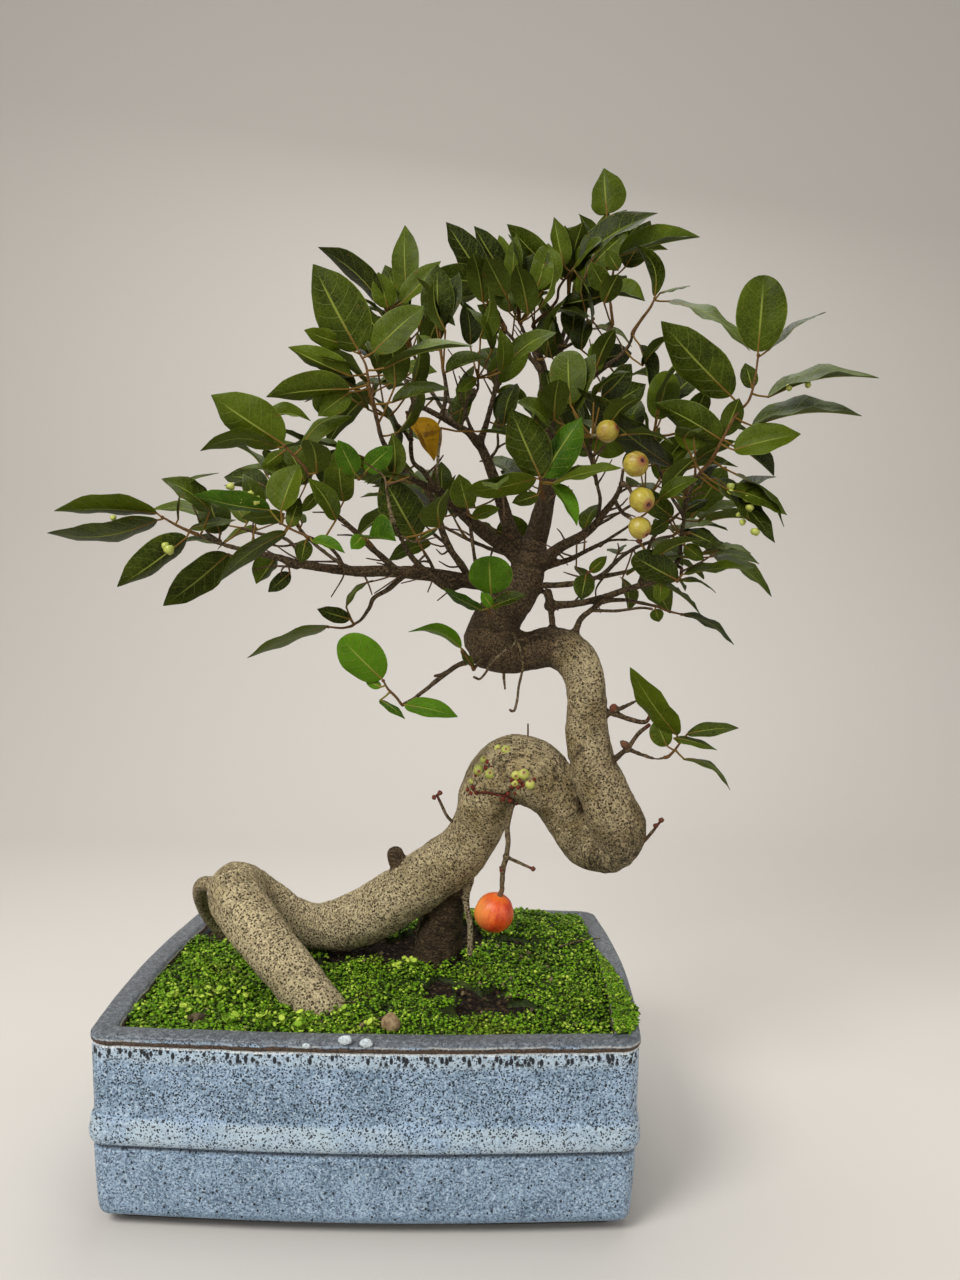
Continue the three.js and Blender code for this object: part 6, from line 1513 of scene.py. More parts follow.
@dataclass
class TreeWood:
    """Roots, trunk, limbs and twigs of the tree."""

    elbows: tuple[int, ...] = (6, 21, 32)
    limb_radius: float = 3.3
    trunk_sides: int = 30
    limb_sides: int = 14
    spacing: float = 3.0
    voxel: float = 1.85
    side_twigs: int = 110
    block: int = 4000

    def stretches(self) -> list[Array]:
        """Return the trunk's stretches between its elbows, as rows of x, y, z, radius."""
        rows = np.array(TRUNK, float)
        table = np.column_stack([VIEW.place(rows), rows[:, 3]])
        ends = [0, *self.elbows, len(rows) - 1]
        return [table[a:b + 1] for a, b in zip(ends, ends[1:])]

    @staticmethod
    def limb(first: float, last: float, route: Rows) -> Array:
        """Return a limb's rows, its radius running evenly from one end to the other."""
        points = VIEW.place(route)
        run = distances(points)
        return np.column_stack([points, first + (last - first) * run / run[-1]])

    def nearest_bark(self, across: float, down: float, sink: float) -> Array:
        """Point on the near side of the trunk at a place in the view, sunk below the bark.

        The trunk's stretches are spheres in close order; the eye's ray meets the first of them.
        """
        eye = np.array(VIEW.eye)
        ray = unit(VIEW.place((across, down, 0.0)) - eye)
        rows = np.vstack([spline(stretch, self.spacing) for stretch in self.stretches()])
        toward = rows[:, :3] - eye
        ahead = toward @ ray
        miss = (toward ** 2).sum(1) - ahead ** 2
        inside = (rows[:, 3] * 0.97) ** 2 - miss
        reach = ahead - np.sqrt(np.maximum(inside, 0))
        near = reach[inside > 0].min() if (inside > 0).any() else ahead[inside.argmax()]
        return eye + ray * (near + sink)

    def heavy(self) -> tuple[Skin, Array]:
        """Rods of the trunk, the roots and the stout limbs, with their centre lines.

        Returns:
            The skin and rows of x, y, z, radius, run, age and the two cross directions.
        """
        skin, lines = Skin(), []
        trunk = [(rows, 0.0) for rows in self.stretches()]
        roots = [(self.limb(*root), 2.0 if name == "root_mass" else 0.35)
                 for name, root in ROOTS.items()]
        limbs = [(self.limb(*b), 1.0) for b in BRANCHES.values() if b[0] > self.limb_radius]
        run = 0.0
        for index, (rows, age) in enumerate(trunk + roots + limbs):
            fine = spline(rows, self.spacing)
            fine[:, 3] *= 1 + 0.035 * noise(fine[:, :3], 40.0, index, 2)
            if index >= len(trunk):
                # roots and limbs flare where they leave the trunk
                length = np.linalg.norm(fine[:, :3] - fine[0, :3], axis=1)
                fine[:, 3] *= 1 + 0.28 * np.exp(-(length / 9) ** 2)
            sides = self.trunk_sides if index < len(trunk) else self.limb_sides
            skin.rod(fine, sides, 0.03, seed=index)
            _, side, up = frames(fine[:, :3])
            steps = distances(fine[:, :3])
            if index < len(trunk):
                runs, run = run + steps, run + steps[-1]
                # the bark is old and brown on the head of the trunk, left of and above its last bend
                seen = VIEW.see(fine[:, :3])
                old = np.clip((580 - seen[:, 0]) / 24, 0, 1) * (seen[:, 1] < 705)
                old = np.maximum(old, 0.2 * (index == 2))
            else:
                runs, old = steps + 211.0 * index, np.full(len(fine), age)
            lines.append(np.column_stack([fine, runs, old, side, up]))
        return skin, np.vstack(lines)

    def blend(self, skin: Skin) -> bpy.types.Object:
        """Join the rods into one skin: remeshed on a voxel grid, then smoothed."""
        piece = skin.mesh("tree_trunk")
        remesh = piece.modifiers.new("join", "REMESH")
        remesh.mode = "VOXEL"
        remesh.voxel_size = self.voxel / 1000
        smooth = piece.modifiers.new("smooth", "SMOOTH")
        smooth.iterations = 5
        graph = bpy.context.evaluated_depsgraph_get()
        mesh = bpy.data.meshes.new_from_object(piece.evaluated_get(graph))
        piece.modifiers.clear()
        piece.data = mesh
        return piece

    def weather(self, piece: bpy.types.Object, lines: Array) -> None:
        """Give the joined skin its relief and the values that the bark reads.

        Each point looks up its nearest centre line; its grain is (cross, cross, run), so a
        pattern follows the wood. The relief is noise in the grain, with rings at the bends.

        Args:
            piece: the joined skin.
            lines: the centre lines from heavy().
        """
        mesh = piece.data
        count = len(mesh.vertices)
        points, normals = np.empty((2, count * 3), np.float32)
        mesh.vertices.foreach_get("co", points)
        mesh.vertices.foreach_get("normal", normals)
        points = (points.reshape(-1, 3) - OFFSET) * 1000
        normals = normals.reshape(-1, 3)
        row = self.nearest_rows(points, lines)
        reach = points - row[:, :3]
        along = np.cross(row[:, 6:9], row[:, 9:12])
        cross = np.stack([(reach * row[:, 6:9]).sum(1), (reach * row[:, 9:12]).sum(1)], axis=-1)
        run = row[:, 4] + (reach * along).sum(1)
        grain = np.column_stack([cross, run])
        relief = 0.55 * noise(points, 22.0, 31, 3) + 0.3 * noise(grain * np.array([1, 1, 2.2]), 7.0, 33, 2)
        relief *= np.clip(row[:, 3] / 18, 0.25, 1)
        scar = self.mark(points, relief)
        dark = self.darkness(points, normals, row[:, 5])
        points = points + normals * relief[:, None]
        mesh.vertices.foreach_set("co", (points / 1000 + OFFSET).astype(np.float32).ravel())
        values = wear(count, np.clip(row[:, 5], 0, 1))
        for name, rows in (values | {"grain": grain, "scar": scar, "dark": dark}).items():
            store(mesh, name, rows)
        mesh.polygons.foreach_set("use_smooth", np.ones(len(mesh.polygons), bool))
        mesh.update()

    def nearest_rows(self, points: Array, lines: Array) -> Array:
        """Return for each point the row of the centre line that it lies nearest to."""
        nearest = np.empty(len(points), int)
        for start in range(0, len(points), self.block):
            part = slice(start, start + self.block)
            gap = np.linalg.norm(points[part, None] - lines[None, :, :3], axis=2) - lines[None, :, 3]
            nearest[part] = gap.argmin(axis=1)
        return lines[nearest]

    def mark(self, points: Array, relief: Array) -> Array:
        """Press the scars and the seams into the relief.

        Args:
            points: the skin's points in millimetres.
            relief: millimetres along the normal at each point, changed in place.

        Returns:
            How strong the mark is at each point, from 0 to 1.
        """
        scar = np.zeros(len(points))
        ragged = 1 + 0.45 * noise(points, 5.0, 61, 2)
        for across, down, size, deep, dark in SCARS:
            gap = np.linalg.norm(points - self.nearest_bark(across, down, 0.0), axis=1) / size * ragged
            pit = np.exp(-(gap * 1.25) ** 4)
            relief += -deep * pit + deep * 0.25 * np.exp(-((gap - 1.2) / 0.3) ** 2)
            scar = np.maximum(scar, pit * dark)
        for width, route in SEAMS:
            line = spline(np.array([self.nearest_bark(*place, 0.0) for place in route]), 1.5)
            near = np.abs(points - line.mean(0)).max(axis=1) < 60
            gap = np.linalg.norm(points[near][:, None] - line[None], axis=2).min(axis=1) / width
            pit = np.exp(-gap ** 2)
            relief[near] -= 0.8 * width * pit
            scar[near] = np.maximum(scar[near], np.clip(pit * 1.2, 0, 1))
        return scar

    @staticmethod
    def darkness(points: Array, normals: Array, age: Array) -> Array:
        """How dark the bark is: painted shade under the low bend and on undersides; darker on the root mass
        and round a stub.

        Args:
            points: the skin's points in millimetres.
            normals: their normals.
            age: the age of their centre line, over 1 for the root mass.

        Returns:
            One value for each point, from 0 to 1.
        """
        stub = np.exp(-(np.linalg.norm(points - VIEW.place(STUB), axis=1) / 10) ** 4)
        seen = VIEW.see(points)
        # painted shade under the low bend of the trunk and on faces that look down
        bend = np.clip((seen[:, 1] - 822) / 34, 0, 1) * np.clip((seen[:, 0] - 556) / 20, 0, 1)
        under = np.clip((-normals[:, 2] - 0.35) / 0.5, 0, 1) * 0.45
        dark = np.maximum(np.maximum(bend * (seen[:, 1] < 900), under), np.clip(age - 1, 0, 1))
        return np.maximum(dark, 0.8 * stub)

    def twigs(self) -> Skin:
        """Thin limbs and twigs: rods with a flared foot and a knot at every few millimetres."""
        skin = Skin()
        for index, (name, branch) in enumerate(BRANCHES.items()):
            if branch[0] > self.limb_radius:
                continue
            fine = spline(self.limb(*branch), 2.5)
            length = distances(fine[:, :3])
            shift = noise(fine[:, :3], 14.0, 50 + index)
            fine[:, 3] *= 1 + 0.35 * np.exp(-(length / 3.5) ** 2)
            fine[:, 3] *= 1 + 0.2 * np.clip(np.sin(length / 3.1 + index), 0.55, 1) - 0.1 + 0.06 * shift
            wander = 0.35 * np.clip(np.minimum(length, length[-1] - length) / 8, 0, 1)[:, None]
            fine[:, :3] += wander * np.stack([noise(fine[:, :3], 9.0, 70 + k) for k in range(3)], axis=-1)
            tip = np.clip((length - length[-1] + 10) / 10, 0, 1) * (0.85 if name in RED_ENDS else 0.25)
            age = 0.45 if name in GREY_TWIGS else 0.75 if name in BARE_TWIGS else 0.95
            skin.rod(fine, 8, 0.1, values=wear(len(fine), age, tip), seed=index)
        self.twiglets(skin)
        knobs = VIEW.place(KNOBS)
        radii = np.array(KNOBS)[:, 3]
        skin.balls(knobs, radii, {"grain": knobs, **wear(len(radii), 0.9, 0.7)}, 3, 0.35)
        return skin

    def twiglets(self, skin: Skin) -> None:
        """Add bare side twigs at random places of the crown's limbs, bent a little on the way."""
        rng = np.random.default_rng(91)
        wood = np.vstack([spline(self.limb(*b), 4.0) for b in crown_limbs(625) if b[1] < 3.5])
        heart = VIEW.place((520, 560, 10))
        for index in range(self.side_twigs):
            start = wood[int(rng.integers(len(wood)))]
            away = unit(rng.normal(size=3) * 0.75 + unit(start[:3] - heart) * 0.7 + np.array([0, 0, 0.15]))
            length = rng.uniform(20, 46)
            bends = rng.normal(size=(2, 3)) * np.array([[2.2], [3.0]])
            route = np.vstack([start[:3], start[:3] + away * length * 0.5 + bends[0],
                               start[:3] + away * length + bends[1]])
            rows = spline(np.column_stack([route, [min(1.1, start[3]), 0.85, 0.55]]), 4.0)
            values = wear(len(rows), 0.9, np.linspace(0, 0.4, len(rows)))
            skin.rod(rows, 5, 0.12, values=values, seed=120 + index)

    def bracts(self) -> Skin:
        """Red-brown scales and tufts round the young figs on the knot."""
        skin = Skin()
        centres = np.array([self.nearest_bark(a, d, 0.0) for a, d, _ in BRACTS])
        radii = np.array([r for *_, r in BRACTS]) * 0.9
        skin.balls(centres, radii, {"grain": centres, **wear(len(radii), 1.0, 1.0)}, 9, 0.55)
        # the dry bract that lies along the foot of the knot
        places = ((478, 793, 0.8), (486, 792, 0.0), (497, 795, 0.4), (507, 796, 0.6))
        route = np.array([self.nearest_bark(*place) for place in places])
        rows = spline(np.column_stack([route, [0.8, 1.2, 0.8, 1.0]]), 2.0)
        skin.rod(rows, 7, 0.2, values=wear(len(rows), 1.0, 1.0), seed=3)
        return skin

    def young_figs(self) -> Skin:
        """Figs in bud on the knot of the trunk."""
        skin = Skin()
        for index, (across, down, radius) in enumerate(YOUNG_FIGS):
            centre = self.nearest_bark(across, down, 0.3 * radius)
            axis = unit(np.array(VIEW.eye) - centre + np.array([0, 0, 500.0]) * (index % 3 - 0.5))
            fig_body(skin, centre, axis, radius, 18, 14)
        return skin

    def build(self, bark: bpy.types.Material) -> None:
        """Make the wood."""
        skin, lines = self.heavy()
        trunk = self.blend(skin)
        self.weather(trunk, lines)
        fit_out(trunk, bark, "bark", "tree_wood")
        fit_out(self.twigs().mesh("twigs"), bark, "bark", "tree_wood")
        fit_out(self.bracts().mesh("bracts"), bark, "bark", "tree_wood")
        fit_out(self.young_figs().mesh("young_figs"), BUDDING.build(), "unripe_fig_skin", "tree_wood")


def fig_body(skin: Skin, middle: Array, axis: Array, radius: float, around: int, rows: int) -> None:
    """Add a fig: a globe drawn out to a neck at the stalk, with a sunken eye at the far end.

    The half width is r sin(t)^0.92 with slight ribs, and the height runs from the neck at
    -1.06 r to the eye at 0.95 r, where a small dimple is pushed in and its lip is raised.

    Args:
        skin: takes the surface.
        middle: the middle of the fruit.
        axis: the direction from the stalk to the eye.
        radius: the radius.
        around: points in a circle.
        rows: circles from end to end.
    """
    t = np.linspace(0.04, 0.985, rows) * np.pi
    turn = turns(around)
    width = radius * np.sin(t) ** 0.92
    height = -radius * np.cos(t) * np.where(np.cos(t) > 0, 1.06, 0.95)
    eye = np.clip((t / np.pi - 0.9) / 0.085, 0, 1)
    height = height + radius * (0.06 * np.sin(np.pi * np.clip(eye * 1.2, 0, 1)) - 0.13 * eye ** 3)
    side = unit(np.cross(axis, np.array([0.3, 0.8, 0.5])))
    front = np.cross(axis, side)
    ribs = 1 + 0.022 * np.cos(9 * turn)[None] * np.sin(t)[:, None]
    ribs = ribs * (1 + 0.02 * noise(np.dstack(np.broadcast_arrays(
        np.cos(turn)[None], np.sin(turn)[None], t[:, None])) + middle[0], 0.9, 2))
    ring = side * np.cos(turn)[:, None] + front * np.sin(turn)[:, None]
    rings = (middle + axis * height[:, None, None]
             + ring[None] * (width[:, None] * ribs)[..., None])
    share = np.broadcast_to((t / np.pi)[:, None], ribs.shape)
    angle = np.broadcast_to((np.abs(turn - np.pi) / np.pi)[None], ribs.shape)
    skin.loft(rings, {"fig": np.stack([share, angle, 0 * share], axis=-1)})


@dataclass
class Fig:
    """One fruit on its stalk, at the end of a twig."""

    name: str
    twig: str
    middle: Row
    radius: float
    ripe: bool

    def build(self, finish: bpy.types.Material) -> None:
        """Make the fruit, its stalk and the three scales at its neck."""
        twig = VIEW.place(BRANCHES[self.twig][2])
        end = twig[-1]
        middle = VIEW.place(self.middle)
        axis = unit(middle - end)
        skin = Skin()
        fine = (56, 48) if self.ripe else (36, 30)
        fig_body(skin, middle, axis, self.radius, *fine)
        neck = middle - axis * self.radius * 0.94
        thick = BRANCHES[self.twig][1]
        ahead = tangents(thinned(twig))[-1]
        rows = np.array([[*(end - ahead * 1.0), thick], [*(end + ahead * 1.2), thick],
                         [*(neck - axis * 1.5), thick * 1.15], [*(neck + axis), thick * 1.8]])
        stalk = Skin()
        stalk.rod(spline(rows, 1.2), 10, 0.08)
        skin.take(stalk, fig=(0.1, 0.0, 1.0))
        side = unit(np.cross(axis, np.array([0.1, 0.4, 1.0])))
        for turn in np.radians([20.0, 140.0, 260.0]):
            out = side * np.cos(turn) + np.cross(axis, side) * np.sin(turn)
            centre = neck + axis * 0.6 + out * self.radius * 0.2
            scale = Skin()
            scale.balls(np.array([centre]), np.array([self.radius * 0.13]), {}, 3, 0.2)
            skin.take(scale, fig=(0.1, 0.0, 0.9))
        slot = "ripe_fig_skin" if self.ripe else "unripe_fig_skin"
        fit_out(skin.mesh(f"{self.name}_fruit"), finish, slot, self.name)


@dataclass
class Blade:
    """One leaf blade: its midrib from base to tip and its two halves."""

    base: Array
    tip: Array
    left: Array
    right: Array
    bend: Array
    root: Array
    rounded: bool = False
    young: bool = False


@dataclass
class LeafyShoot:
    """A young stem with its stalks and blades."""

    name: str
    twig: str
    stem: Rows
    leaves: Rows = ()
    count: int = 0
    size: float = 0.0
    along_steps: int = 17
    half_steps: int = 4
    thickness: float = 0.5

    def stem_rows(self) -> Array:
        """Return the young stem's rows of x, y, z, radius."""
        route = VIEW.place(BRANCHES[self.twig][2])
        direction = tangents(thinned(route))[-1]
        foot = route[-1] + direction * 0.3
        points = np.vstack([foot - direction * 1.5, foot + direction * 1.5, VIEW.place(self.stem)])
        radii = np.linspace(BRANCHES[self.twig][1], 0.8, len(points))
        return np.column_stack([points, radii])

    @staticmethod
    def nearest(route: Array, target: Array) -> Array:
        """Return the point of a route that is nearest to a target."""
        start, step = route[:-1], np.diff(route, axis=0)
        share = ((target - start) * step).sum(1) / np.maximum((step ** 2).sum(1), 1e-9)
        points = start + step * np.clip(share, 0, 1)[:, None]
        return points[np.linalg.norm(points - target, axis=1).argmin()]

    def viewed(self, row: Row, young: bool, route: Array) -> Blade:
        """A blade from its place in the front view.

        The halves that look narrow there are turned edge-on, the left one away and the right
        one near, so that both keep their width.

        Args:
            row: base, tip, half widths left and right, bend, and the word round if it is round.
            young: whether it is a young leaf.
            route: the stem that it grows on.

        Returns:
            The blade.
        """
        base, tip = VIEW.place(row[0:3]), VIEW.place(row[3:6])
        left, right, bend = row[6], row[7], row[8]
        scale = VIEW.scale((row[2] + row[5]) / 2)
        travel = unit(np.array([row[3] - row[0], row[4] - row[1]], float))
        view_right, view_down, forward = VIEW.axes
        leftward = view_right * travel[1] - view_down * travel[0]
        onward = view_right * travel[0] + view_down * travel[1]
        axis = tip - base
        length = np.linalg.norm(axis)
        width = max(0.24 * length, left * scale, right * scale)
        flat_share = max(axis.dot(onward) / length, 0.2)
        depth_share = axis.dot(forward) / length

        def half(seen: float, sign: float) -> Array:
            """One half's reach at its widest place."""
            hidden = np.sqrt(max(width ** 2 - seen ** 2, 0)) * flat_share
            return (leftward * sign * seen + forward * sign * hidden
                    + onward * (-sign * hidden * depth_share / flat_share))

        return Blade(base, tip, half(left * scale, 1), half(right * scale, -1),
                     leftward * bend * scale, self.nearest(route, base), "round" in row[-1:], young)

    def ringed(self, route: Array) -> list[Blade]:
        """Blades by rule: a golden angle apart round the stem, leaning out and drooping."""
        base = route[1]
        along = route[-1] - base
        axis = unit(along)
        side = unit(np.cross(np.array([0, 0, 1.0]), axis))
        above = np.cross(axis, side)
        blades = []
        for i in range(self.count):
            turn = GOLDEN_ANGLE * i
            lean = np.radians(12 if i == self.count - 1 else 58 + 9 * np.sin(2.4 * i))
            root = base + along * (0.15 + 0.85 * i / (self.count - 1))
            outward = side * np.cos(turn) + above * np.sin(turn)
            heading = axis * np.cos(lean) + outward * np.sin(lean)
            length = self.size * (1 + 0.14 * np.sin(1.7 * i))
            foot = root + heading * 12
            tip = foot + heading * length - np.array([0, 0, 0.18 * length])
            blade = unit(tip - foot)
            across = unit(np.cross(blade, np.array([0.2, 0.1, 1.0])))
            up = np.cross(across, blade)
            half = 0.25 * length
            blades.append(Blade(foot, tip, -across * half + up * 0.3 * half,
                                across * half + up * 0.3 * half, up * 0.07 * length, root))
        return blades

    def blade(self, skin: Skin, leaf: Blade, luck: float, seed: int) -> None:
        """Add one leaf: its blade here, its stalk and midrib by stalk().

        The half width is s^a (1 - s)^b over its peak; each half bulges upward between midrib
        and edge, the edge waves by a sine along the leaf, and the section is a thin lens.

        Args:
            skin: takes the surfaces.
            leaf: the blade.
            luck: its own shade, from 0 to 1.
            seed: picks its waves.
        """
        rng = np.random.default_rng(seed)
        axis = leaf.tip - leaf.base
        length = np.linalg.norm(axis)
        along = axis / length
        left_up = unit(np.cross(along, leaf.left))
        right_up = unit(np.cross(leaf.right, along))
        up = unit(left_up + right_up)
        s = (1 - np.cos(np.pi * np.linspace(0.045, 0.985, self.along_steps))) / 2
        a, b = (0.5, 0.5) if leaf.rounded else (0.56, 0.8)
        peak = a / (a + b)
        share = s ** a * (1 - s) ** b / (peak ** a * (1 - peak) ** b)
        if not leaf.rounded:
            share = share * (1 - 0.35 * np.clip((s - 0.8) / 0.2, 0, 1))
        w = np.sin(np.linspace(-np.pi / 2, np.pi / 2, 2 * self.half_steps + 1))
        w_ring = np.concatenate([w, w[-2:0:-1]])
        top = np.concatenate([np.ones(len(w)), -np.ones(len(w) - 2)])
        middle = leaf.base + axis * s[:, None] + leaf.bend * np.sin(np.pi * s)[:, None]
        halves = np.where(w_ring[:, None] < 0, leaf.left, leaf.right)
        normals = np.where(w_ring[:, None] < 0, left_up, right_up)
        away = np.abs(w_ring)
        reach = share[:, None] * away
        wide = max(np.linalg.norm(leaf.left), np.linalg.norm(leaf.right))
        phase = rng.uniform(0, 2 * np.pi, 2)
        waves = rng.uniform(1.6, 2.8)
        wave = np.sin(2 * np.pi * waves * s[:, None] + np.where(w_ring < 0, phase[0], phase[1]))
        lift = (0.16 * wide * reach * (1 - away)
                + 0.03 * length * rng.uniform(0.4, 1.0) * reach * away * wave)
        lens = top * self.thickness / 2 * np.sqrt(np.clip(1 - away ** 2, 0, 1))
        bowed = s[:, None] - 0.2 * away ** RIB_BOW
        quilt = 0.3 * np.sin(np.pi * away) * np.cos(2 * np.pi * RIB_PAIRS * bowed)
        arch = up * (0.035 * length * np.sin(np.pi * s))[:, None]
        spine = middle + arch
        rings = spine[:, None] + halves * reach[..., None]
        rings = rings + normals * (lift + lens + quilt * share[:, None])[..., None]
        n, k = rings.shape[:2]
        below = np.clip(-top, 0, 1) * (away < 0.99)
        facts = np.stack(np.broadcast_arrays(luck, float(leaf.young), below), axis=-1)
        facts = np.broadcast_to(facts, (n, k, 3))
        uv = np.stack(np.broadcast_arrays((w_ring[None] + 1) / 2, s[:, None]), axis=-1)
        skin.loft(rings[:, ::-1], {"uv": uv[:, ::-1], "leaf": facts[:, ::-1], "stem": np.zeros((n, k))})
        self.stalk(skin, leaf, luck, s, spine, up)

    @staticmethod
    def stalk(skin: Skin, leaf: Blade, luck: float, s: Array, spine: Array, up: Array) -> None:
        """Add one leaf's stalk, with a little sag, and its midrib, in one tapering rod.

        Args:
            skin: takes the surface.
            leaf: the blade.
            luck: its own shade, from 0 to 1.
            s: shares of the blade's length.
            spine: the blade's middle line at those shares.
            up: the direction out of the blade's upper side.
        """
        base, start = spine[0], leaf.root
        sag = np.array([0, 0, -0.05 * np.linalg.norm(base - start)])
        stalk = np.array([[*start, 1.0], [*(start * 0.6 + base * 0.4 + sag), 0.85],
                          [*(start * 0.15 + base * 0.85 + sag * 0.4), 0.8]])
        rib = np.column_stack([spine - up * 0.18, 0.78 * (1 - s) ** 0.7 + 0.16])[:-1]
        rows = np.vstack([stalk, rib])
        kind = np.concatenate([[1.0, 1.0, 0.9], 0.75 * (1 - s[:-1]) ** 3])
        tube = Skin()
        tube.rod(rows, 6, dome=False, values={"stem": kind})
        skin.take(tube, "stem", uv=(0.5, 0.5), leaf=(luck, float(leaf.young), 0.3))

    def build(self, finish: bpy.types.Material, slot: str, node: str) -> None:
        """Make the shoot."""
        rng = np.random.default_rng(sum(ord(c) * (i + 3) for i, c in enumerate(self.name)))
        rows = self.stem_rows()
        if self.leaves:
            blades = [self.viewed(row, (self.name, index) in YOUNG_LEAVES, rows[:, :3])
                      for index, row in enumerate(self.leaves)]
        else:
            blades = self.ringed(rows[:, :3])
        skin = Skin()
        for index, leaf in enumerate(blades):
            self.blade(skin, leaf, float(rng.uniform(0, 1)), int(rng.integers(1 << 30)))
        fine = spline(rows, 2.0)
        fine[:, 3] *= 1 + 0.16 * np.clip(np.sin(distances(fine[:, :3]) / 2.2), 0.4, 1)
        stem = Skin()
        stem.rod(fine, 8, 0.08)
        bud = rows[-1, :3] + tangents(rows[:, :3])[-1] * 1.5
        stem.balls(np.array([bud]), np.array([1.5]), {"grain": np.array([bud])}, 2)
        skin.take(stem, uv=(0.5, 0.5), leaf=(0.5, 0.0, 0.0), stem=(2.0,))
        fit_out(skin.mesh(f"{node}_leaves", LEAF_CREASE), finish, slot, node)


@dataclass
class Crown:
    """All the leafy shoots and the galls on their leaves."""

    reach: float = 34.0
    farthest: float = 75.0
    depths: tuple[float, float] = (-75.0, 105.0)
    lengths: tuple[float, float] = (38.0, 62.0)
    round_share: float = 0.12
    fullness: float = 1.5

    def thickets(self, finish: bpy.types.Material) -> None:
        """Add the many inner leaves that fill the crown between the drawn shoots.

        Each leaf is thrown near a thicket's middle at a random depth. It stands on the nearest
        twig by a thin stalk, points outward and up, and droops a little.
        """
        rng = np.random.default_rng(2026)
        wood = np.vstack([spline(VIEW.place(limb[2]), 4.0) for limb in crown_limbs(640)])
        heart = VIEW.place((520, 520, 10))
        shoot = LeafyShoot("inner", "arch", (), along_steps=13, half_steps=3)
        skins = [Skin(), Skin()]
        for across, down, radius, count in THICKETS:
            for _ in range(int(count * self.fullness)):
                throw = rng.normal(size=2) * radius * 0.55
                spot = VIEW.place((across + throw[0], down + throw[1], rng.uniform(*self.depths)))
                root = wood[np.linalg.norm(wood - spot, axis=1).argmin()]
                away = spot - root
                gap = np.linalg.norm(away)
                if gap > self.farthest:
                    continue
                base = root + away * min(1.0, self.reach / max(gap, 1.0))
                outward = unit(base - heart)
                heading = unit(unit(away) * 0.5 + outward * 0.7 + rng.normal(size=3) * 0.4
                               + np.array([0, 0, 0.25]))
                length = rng.uniform(*self.lengths)
                tip = base + heading * length - np.array([0, 0, 0.14 * length])
                along = unit(tip - base)
                side = unit(np.cross(along, rng.normal(size=3) * 0.35 + np.array([0.1, -0.35, 0.9])))
                up = np.cross(side, along)
                half = length * rng.uniform(0.22, 0.27)
                leaf = Blade(base, tip, -side * half + up * 0.25 * half, side * half + up * 0.25 * half,
                             up * 0.06 * length, root, bool(rng.uniform() < self.round_share))
                # inner leaves take their tone from the darker part of the range: painted shade inside the
                # crown
                shoot.blade(skins[int(rng.integers(2))], leaf, float(rng.uniform(0, 0.8)),
                            int(rng.integers(1 << 30)))
        for index, skin in enumerate(skins):
            fit_out(skin.mesh(f"inner_leaves_{'ab'[index]}", LEAF_CREASE), finish, "green_leaves")

    def build(self) -> None:
        """Make the crown."""
        green = FigLeaf().build()
        yellow = FigLeaf("yellowed_leaf", shade(164, 120, 8), shade(192, 148, 14), shade(170, 130, 20),
                         shade(180, 140, 20), shade(164, 124, 30), shade(206, 170, 60),
                         shade(130, 88, 34), shade(84, 48, 16), 0.85, 0.5).build()
        for name, (twig, stem, leaves) in SHOOTS.items():
            shoot = LeafyShoot(name, twig, stem, leaves)
            if name == "yellow_leaf":
                shoot.build(yellow, "yellowed_leaf", name)
            else:
                shoot.build(green, "green_leaves", f"shoot_{name}")
        for name, (twig, stem, count, size) in BACK_SHOOTS.items():
            LeafyShoot(name, twig, stem, (), count, size).build(green, "green_leaves", f"shoot_{name}")
        self.thickets(green)
        skin = Skin()
        table = np.array(GALLS, float)
        centres = VIEW.place(table) - np.array([0, 2.0, 0])
        facts = np.tile([0.35, 0.3, 0.0], (len(centres), 1))
        skin.balls(centres, table[:, 3], {"fig": facts}, 4, 0.3)
        fit_out(skin.mesh("galls"), BUDDING.build(), "unripe_fig_skin",
                "shoot_left_tip", "shoot_left_centre", "shoot_galled_right", "shoot_long_right")


def stand(*columns: Any) -> Matrix:
    """Return the matrix that stands a lamp or camera: right, up, back and place."""
    return Matrix([*np.column_stack(columns).tolist(), [0, 0, 0, 1]])


class Lamp(Enum):
    """The studio's soft lights: place, aim, size in metres and power in watts."""

    KEY = ((-1.05, -1.35, 1.75), (0.0, 0.0, 0.45), 1.0, 40.0)
    FILL = ((1.5, -1.5, 0.9), (0.0, 0.0, 0.4), 1.6, 10.0)
    TOP = ((0.2, 0.5, 2.1), (0.0, 0.0, 0.5), 1.4, 24.0)


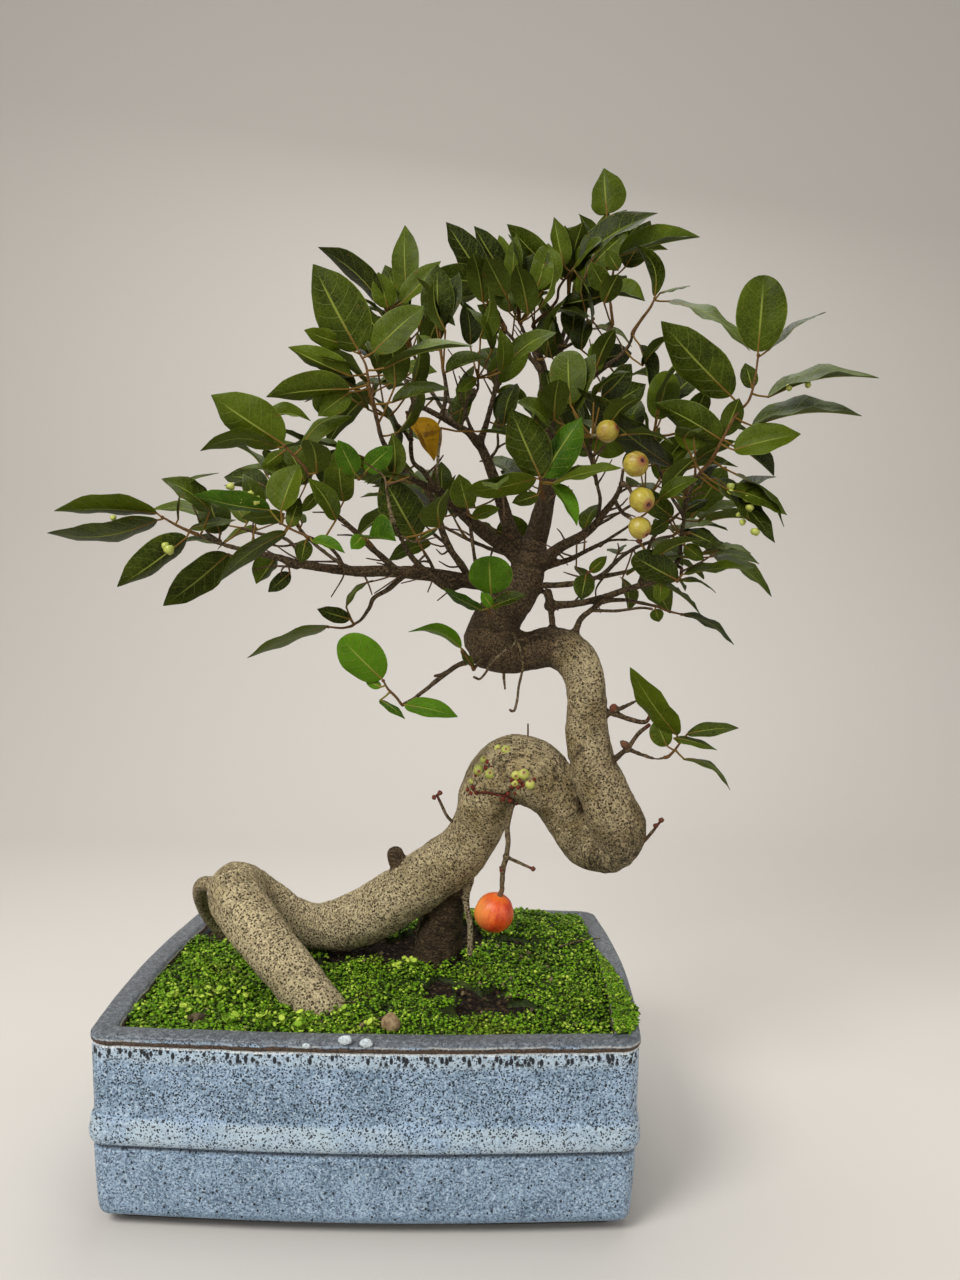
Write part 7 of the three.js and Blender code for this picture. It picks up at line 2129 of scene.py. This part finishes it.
@dataclass
class Studio:
    """Pale floor that curves up behind the object, three soft lights and the camera."""

    floor: Colour = (0.60, 0.565, 0.52)
    world: float = 0.4

    def sweep(self) -> None:
        """Floor and back wall: a flat that turns up in a quarter circle behind the object."""
        angle = np.linspace(0, np.pi / 2, 24)
        curve = np.stack([1.0 + 0.8 * np.sin(angle), 0.8 - 0.8 * np.cos(angle)], axis=-1)
        profile = np.vstack([[[-4.0, 0.0]], curve, [[1.8, 4.0]]])
        grid = [(x, y, z) for y, z in profile.tolist() for x in (-5.0, 5.0)]
        i = np.arange(len(profile) - 1) * 2
        faces = np.stack([i, i + 1, i + 3, i + 2], axis=-1)
        mesh = bpy.data.meshes.new("floor")
        mesh.from_pydata(grid, [], faces.tolist())
        mesh.polygons.foreach_set("use_smooth", np.ones(len(faces), bool))
        piece = bpy.data.objects.new("floor", mesh)
        bpy.context.scene.collection.objects.link(piece)
        g = Graph("studio_floor")
        grain = g.noise(g.place(), 3, 2)
        mesh.materials.append(g.finish(g.mix(grain * 0.1, self.floor, (0.54, 0.51, 0.47)), 0.7))

    def lights(self) -> None:
        """Place the lights and the even light of the room."""
        for lamp in Lamp:
            spot, aim, size, power = lamp.value
            data = bpy.data.lights.new(lamp.name.lower(), "AREA")
            data.energy, data.size, data.shape = power, size, "DISK"
            piece = bpy.data.objects.new(lamp.name.lower(), data)
            back = unit(np.array(spot) - np.array(aim))
            side = unit(np.cross(np.array([0, 0, 1.0]), back))
            up = np.cross(back, side)
            piece.matrix_world = stand(side, up, back, spot)
            bpy.context.scene.collection.objects.link(piece)
        world = bpy.data.worlds.new("room")
        world.use_nodes = True
        background = world.node_tree.nodes["Background"]
        background.inputs[0].default_value = (1.0, 0.985, 0.96, 1)
        background.inputs[1].default_value = self.world
        bpy.context.scene.world = world

    def camera(self) -> None:
        """Stand the camera at the front view's eye: 960 steps of focal length on 1280."""
        data = bpy.data.cameras.new("camera")
        data.lens, data.sensor_width = 27.0, 36.0
        data.clip_start, data.clip_end = 0.01, 50
        piece = bpy.data.objects.new("camera", data)
        right, down, forward = VIEW.axes
        eye = np.array(VIEW.eye) / 1000 + OFFSET
        piece.matrix_world = stand(right, -down, -forward, eye)
        bpy.context.scene.collection.objects.link(piece)
        bpy.context.scene.camera = piece

    def build(self) -> None:
        """Make the studio."""
        self.sweep()
        self.lights()
        self.camera()
        settings = bpy.context.scene.view_settings
        settings.view_transform = "Standard"
        settings.exposure = 0.0


POT_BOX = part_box("pot")
OFFSET = np.array([(POT_BOX[0][0] + POT_BOX[1][0]) / 2 - Pot.middle[0] / 1000,
                   (POT_BOX[0][1] + POT_BOX[1][1]) / 2 - Pot.middle[1] / 1000, -Pot.table / 1000])


def main() -> None:
    """Build the bonsai and its studio; each piece logs its triangle count."""
    logging.basicConfig(level=logging.INFO, format="%(message)s", force=True)
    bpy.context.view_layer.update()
    Studio().build()
    bark = Bark().build()
    pot = Pot()
    pot.build()
    Ground(pot).build(bark)
    TreeWood().build(bark)
    ripe, unripe = RIPE.build(), UNRIPE.build()
    for name, (twig, middle, radius, is_ripe) in FIGS.items():
        Fig(name, twig, middle, radius, is_ripe).build(ripe if is_ripe else unripe)
    Crown().build()


if __name__ == "__main__":
    main()
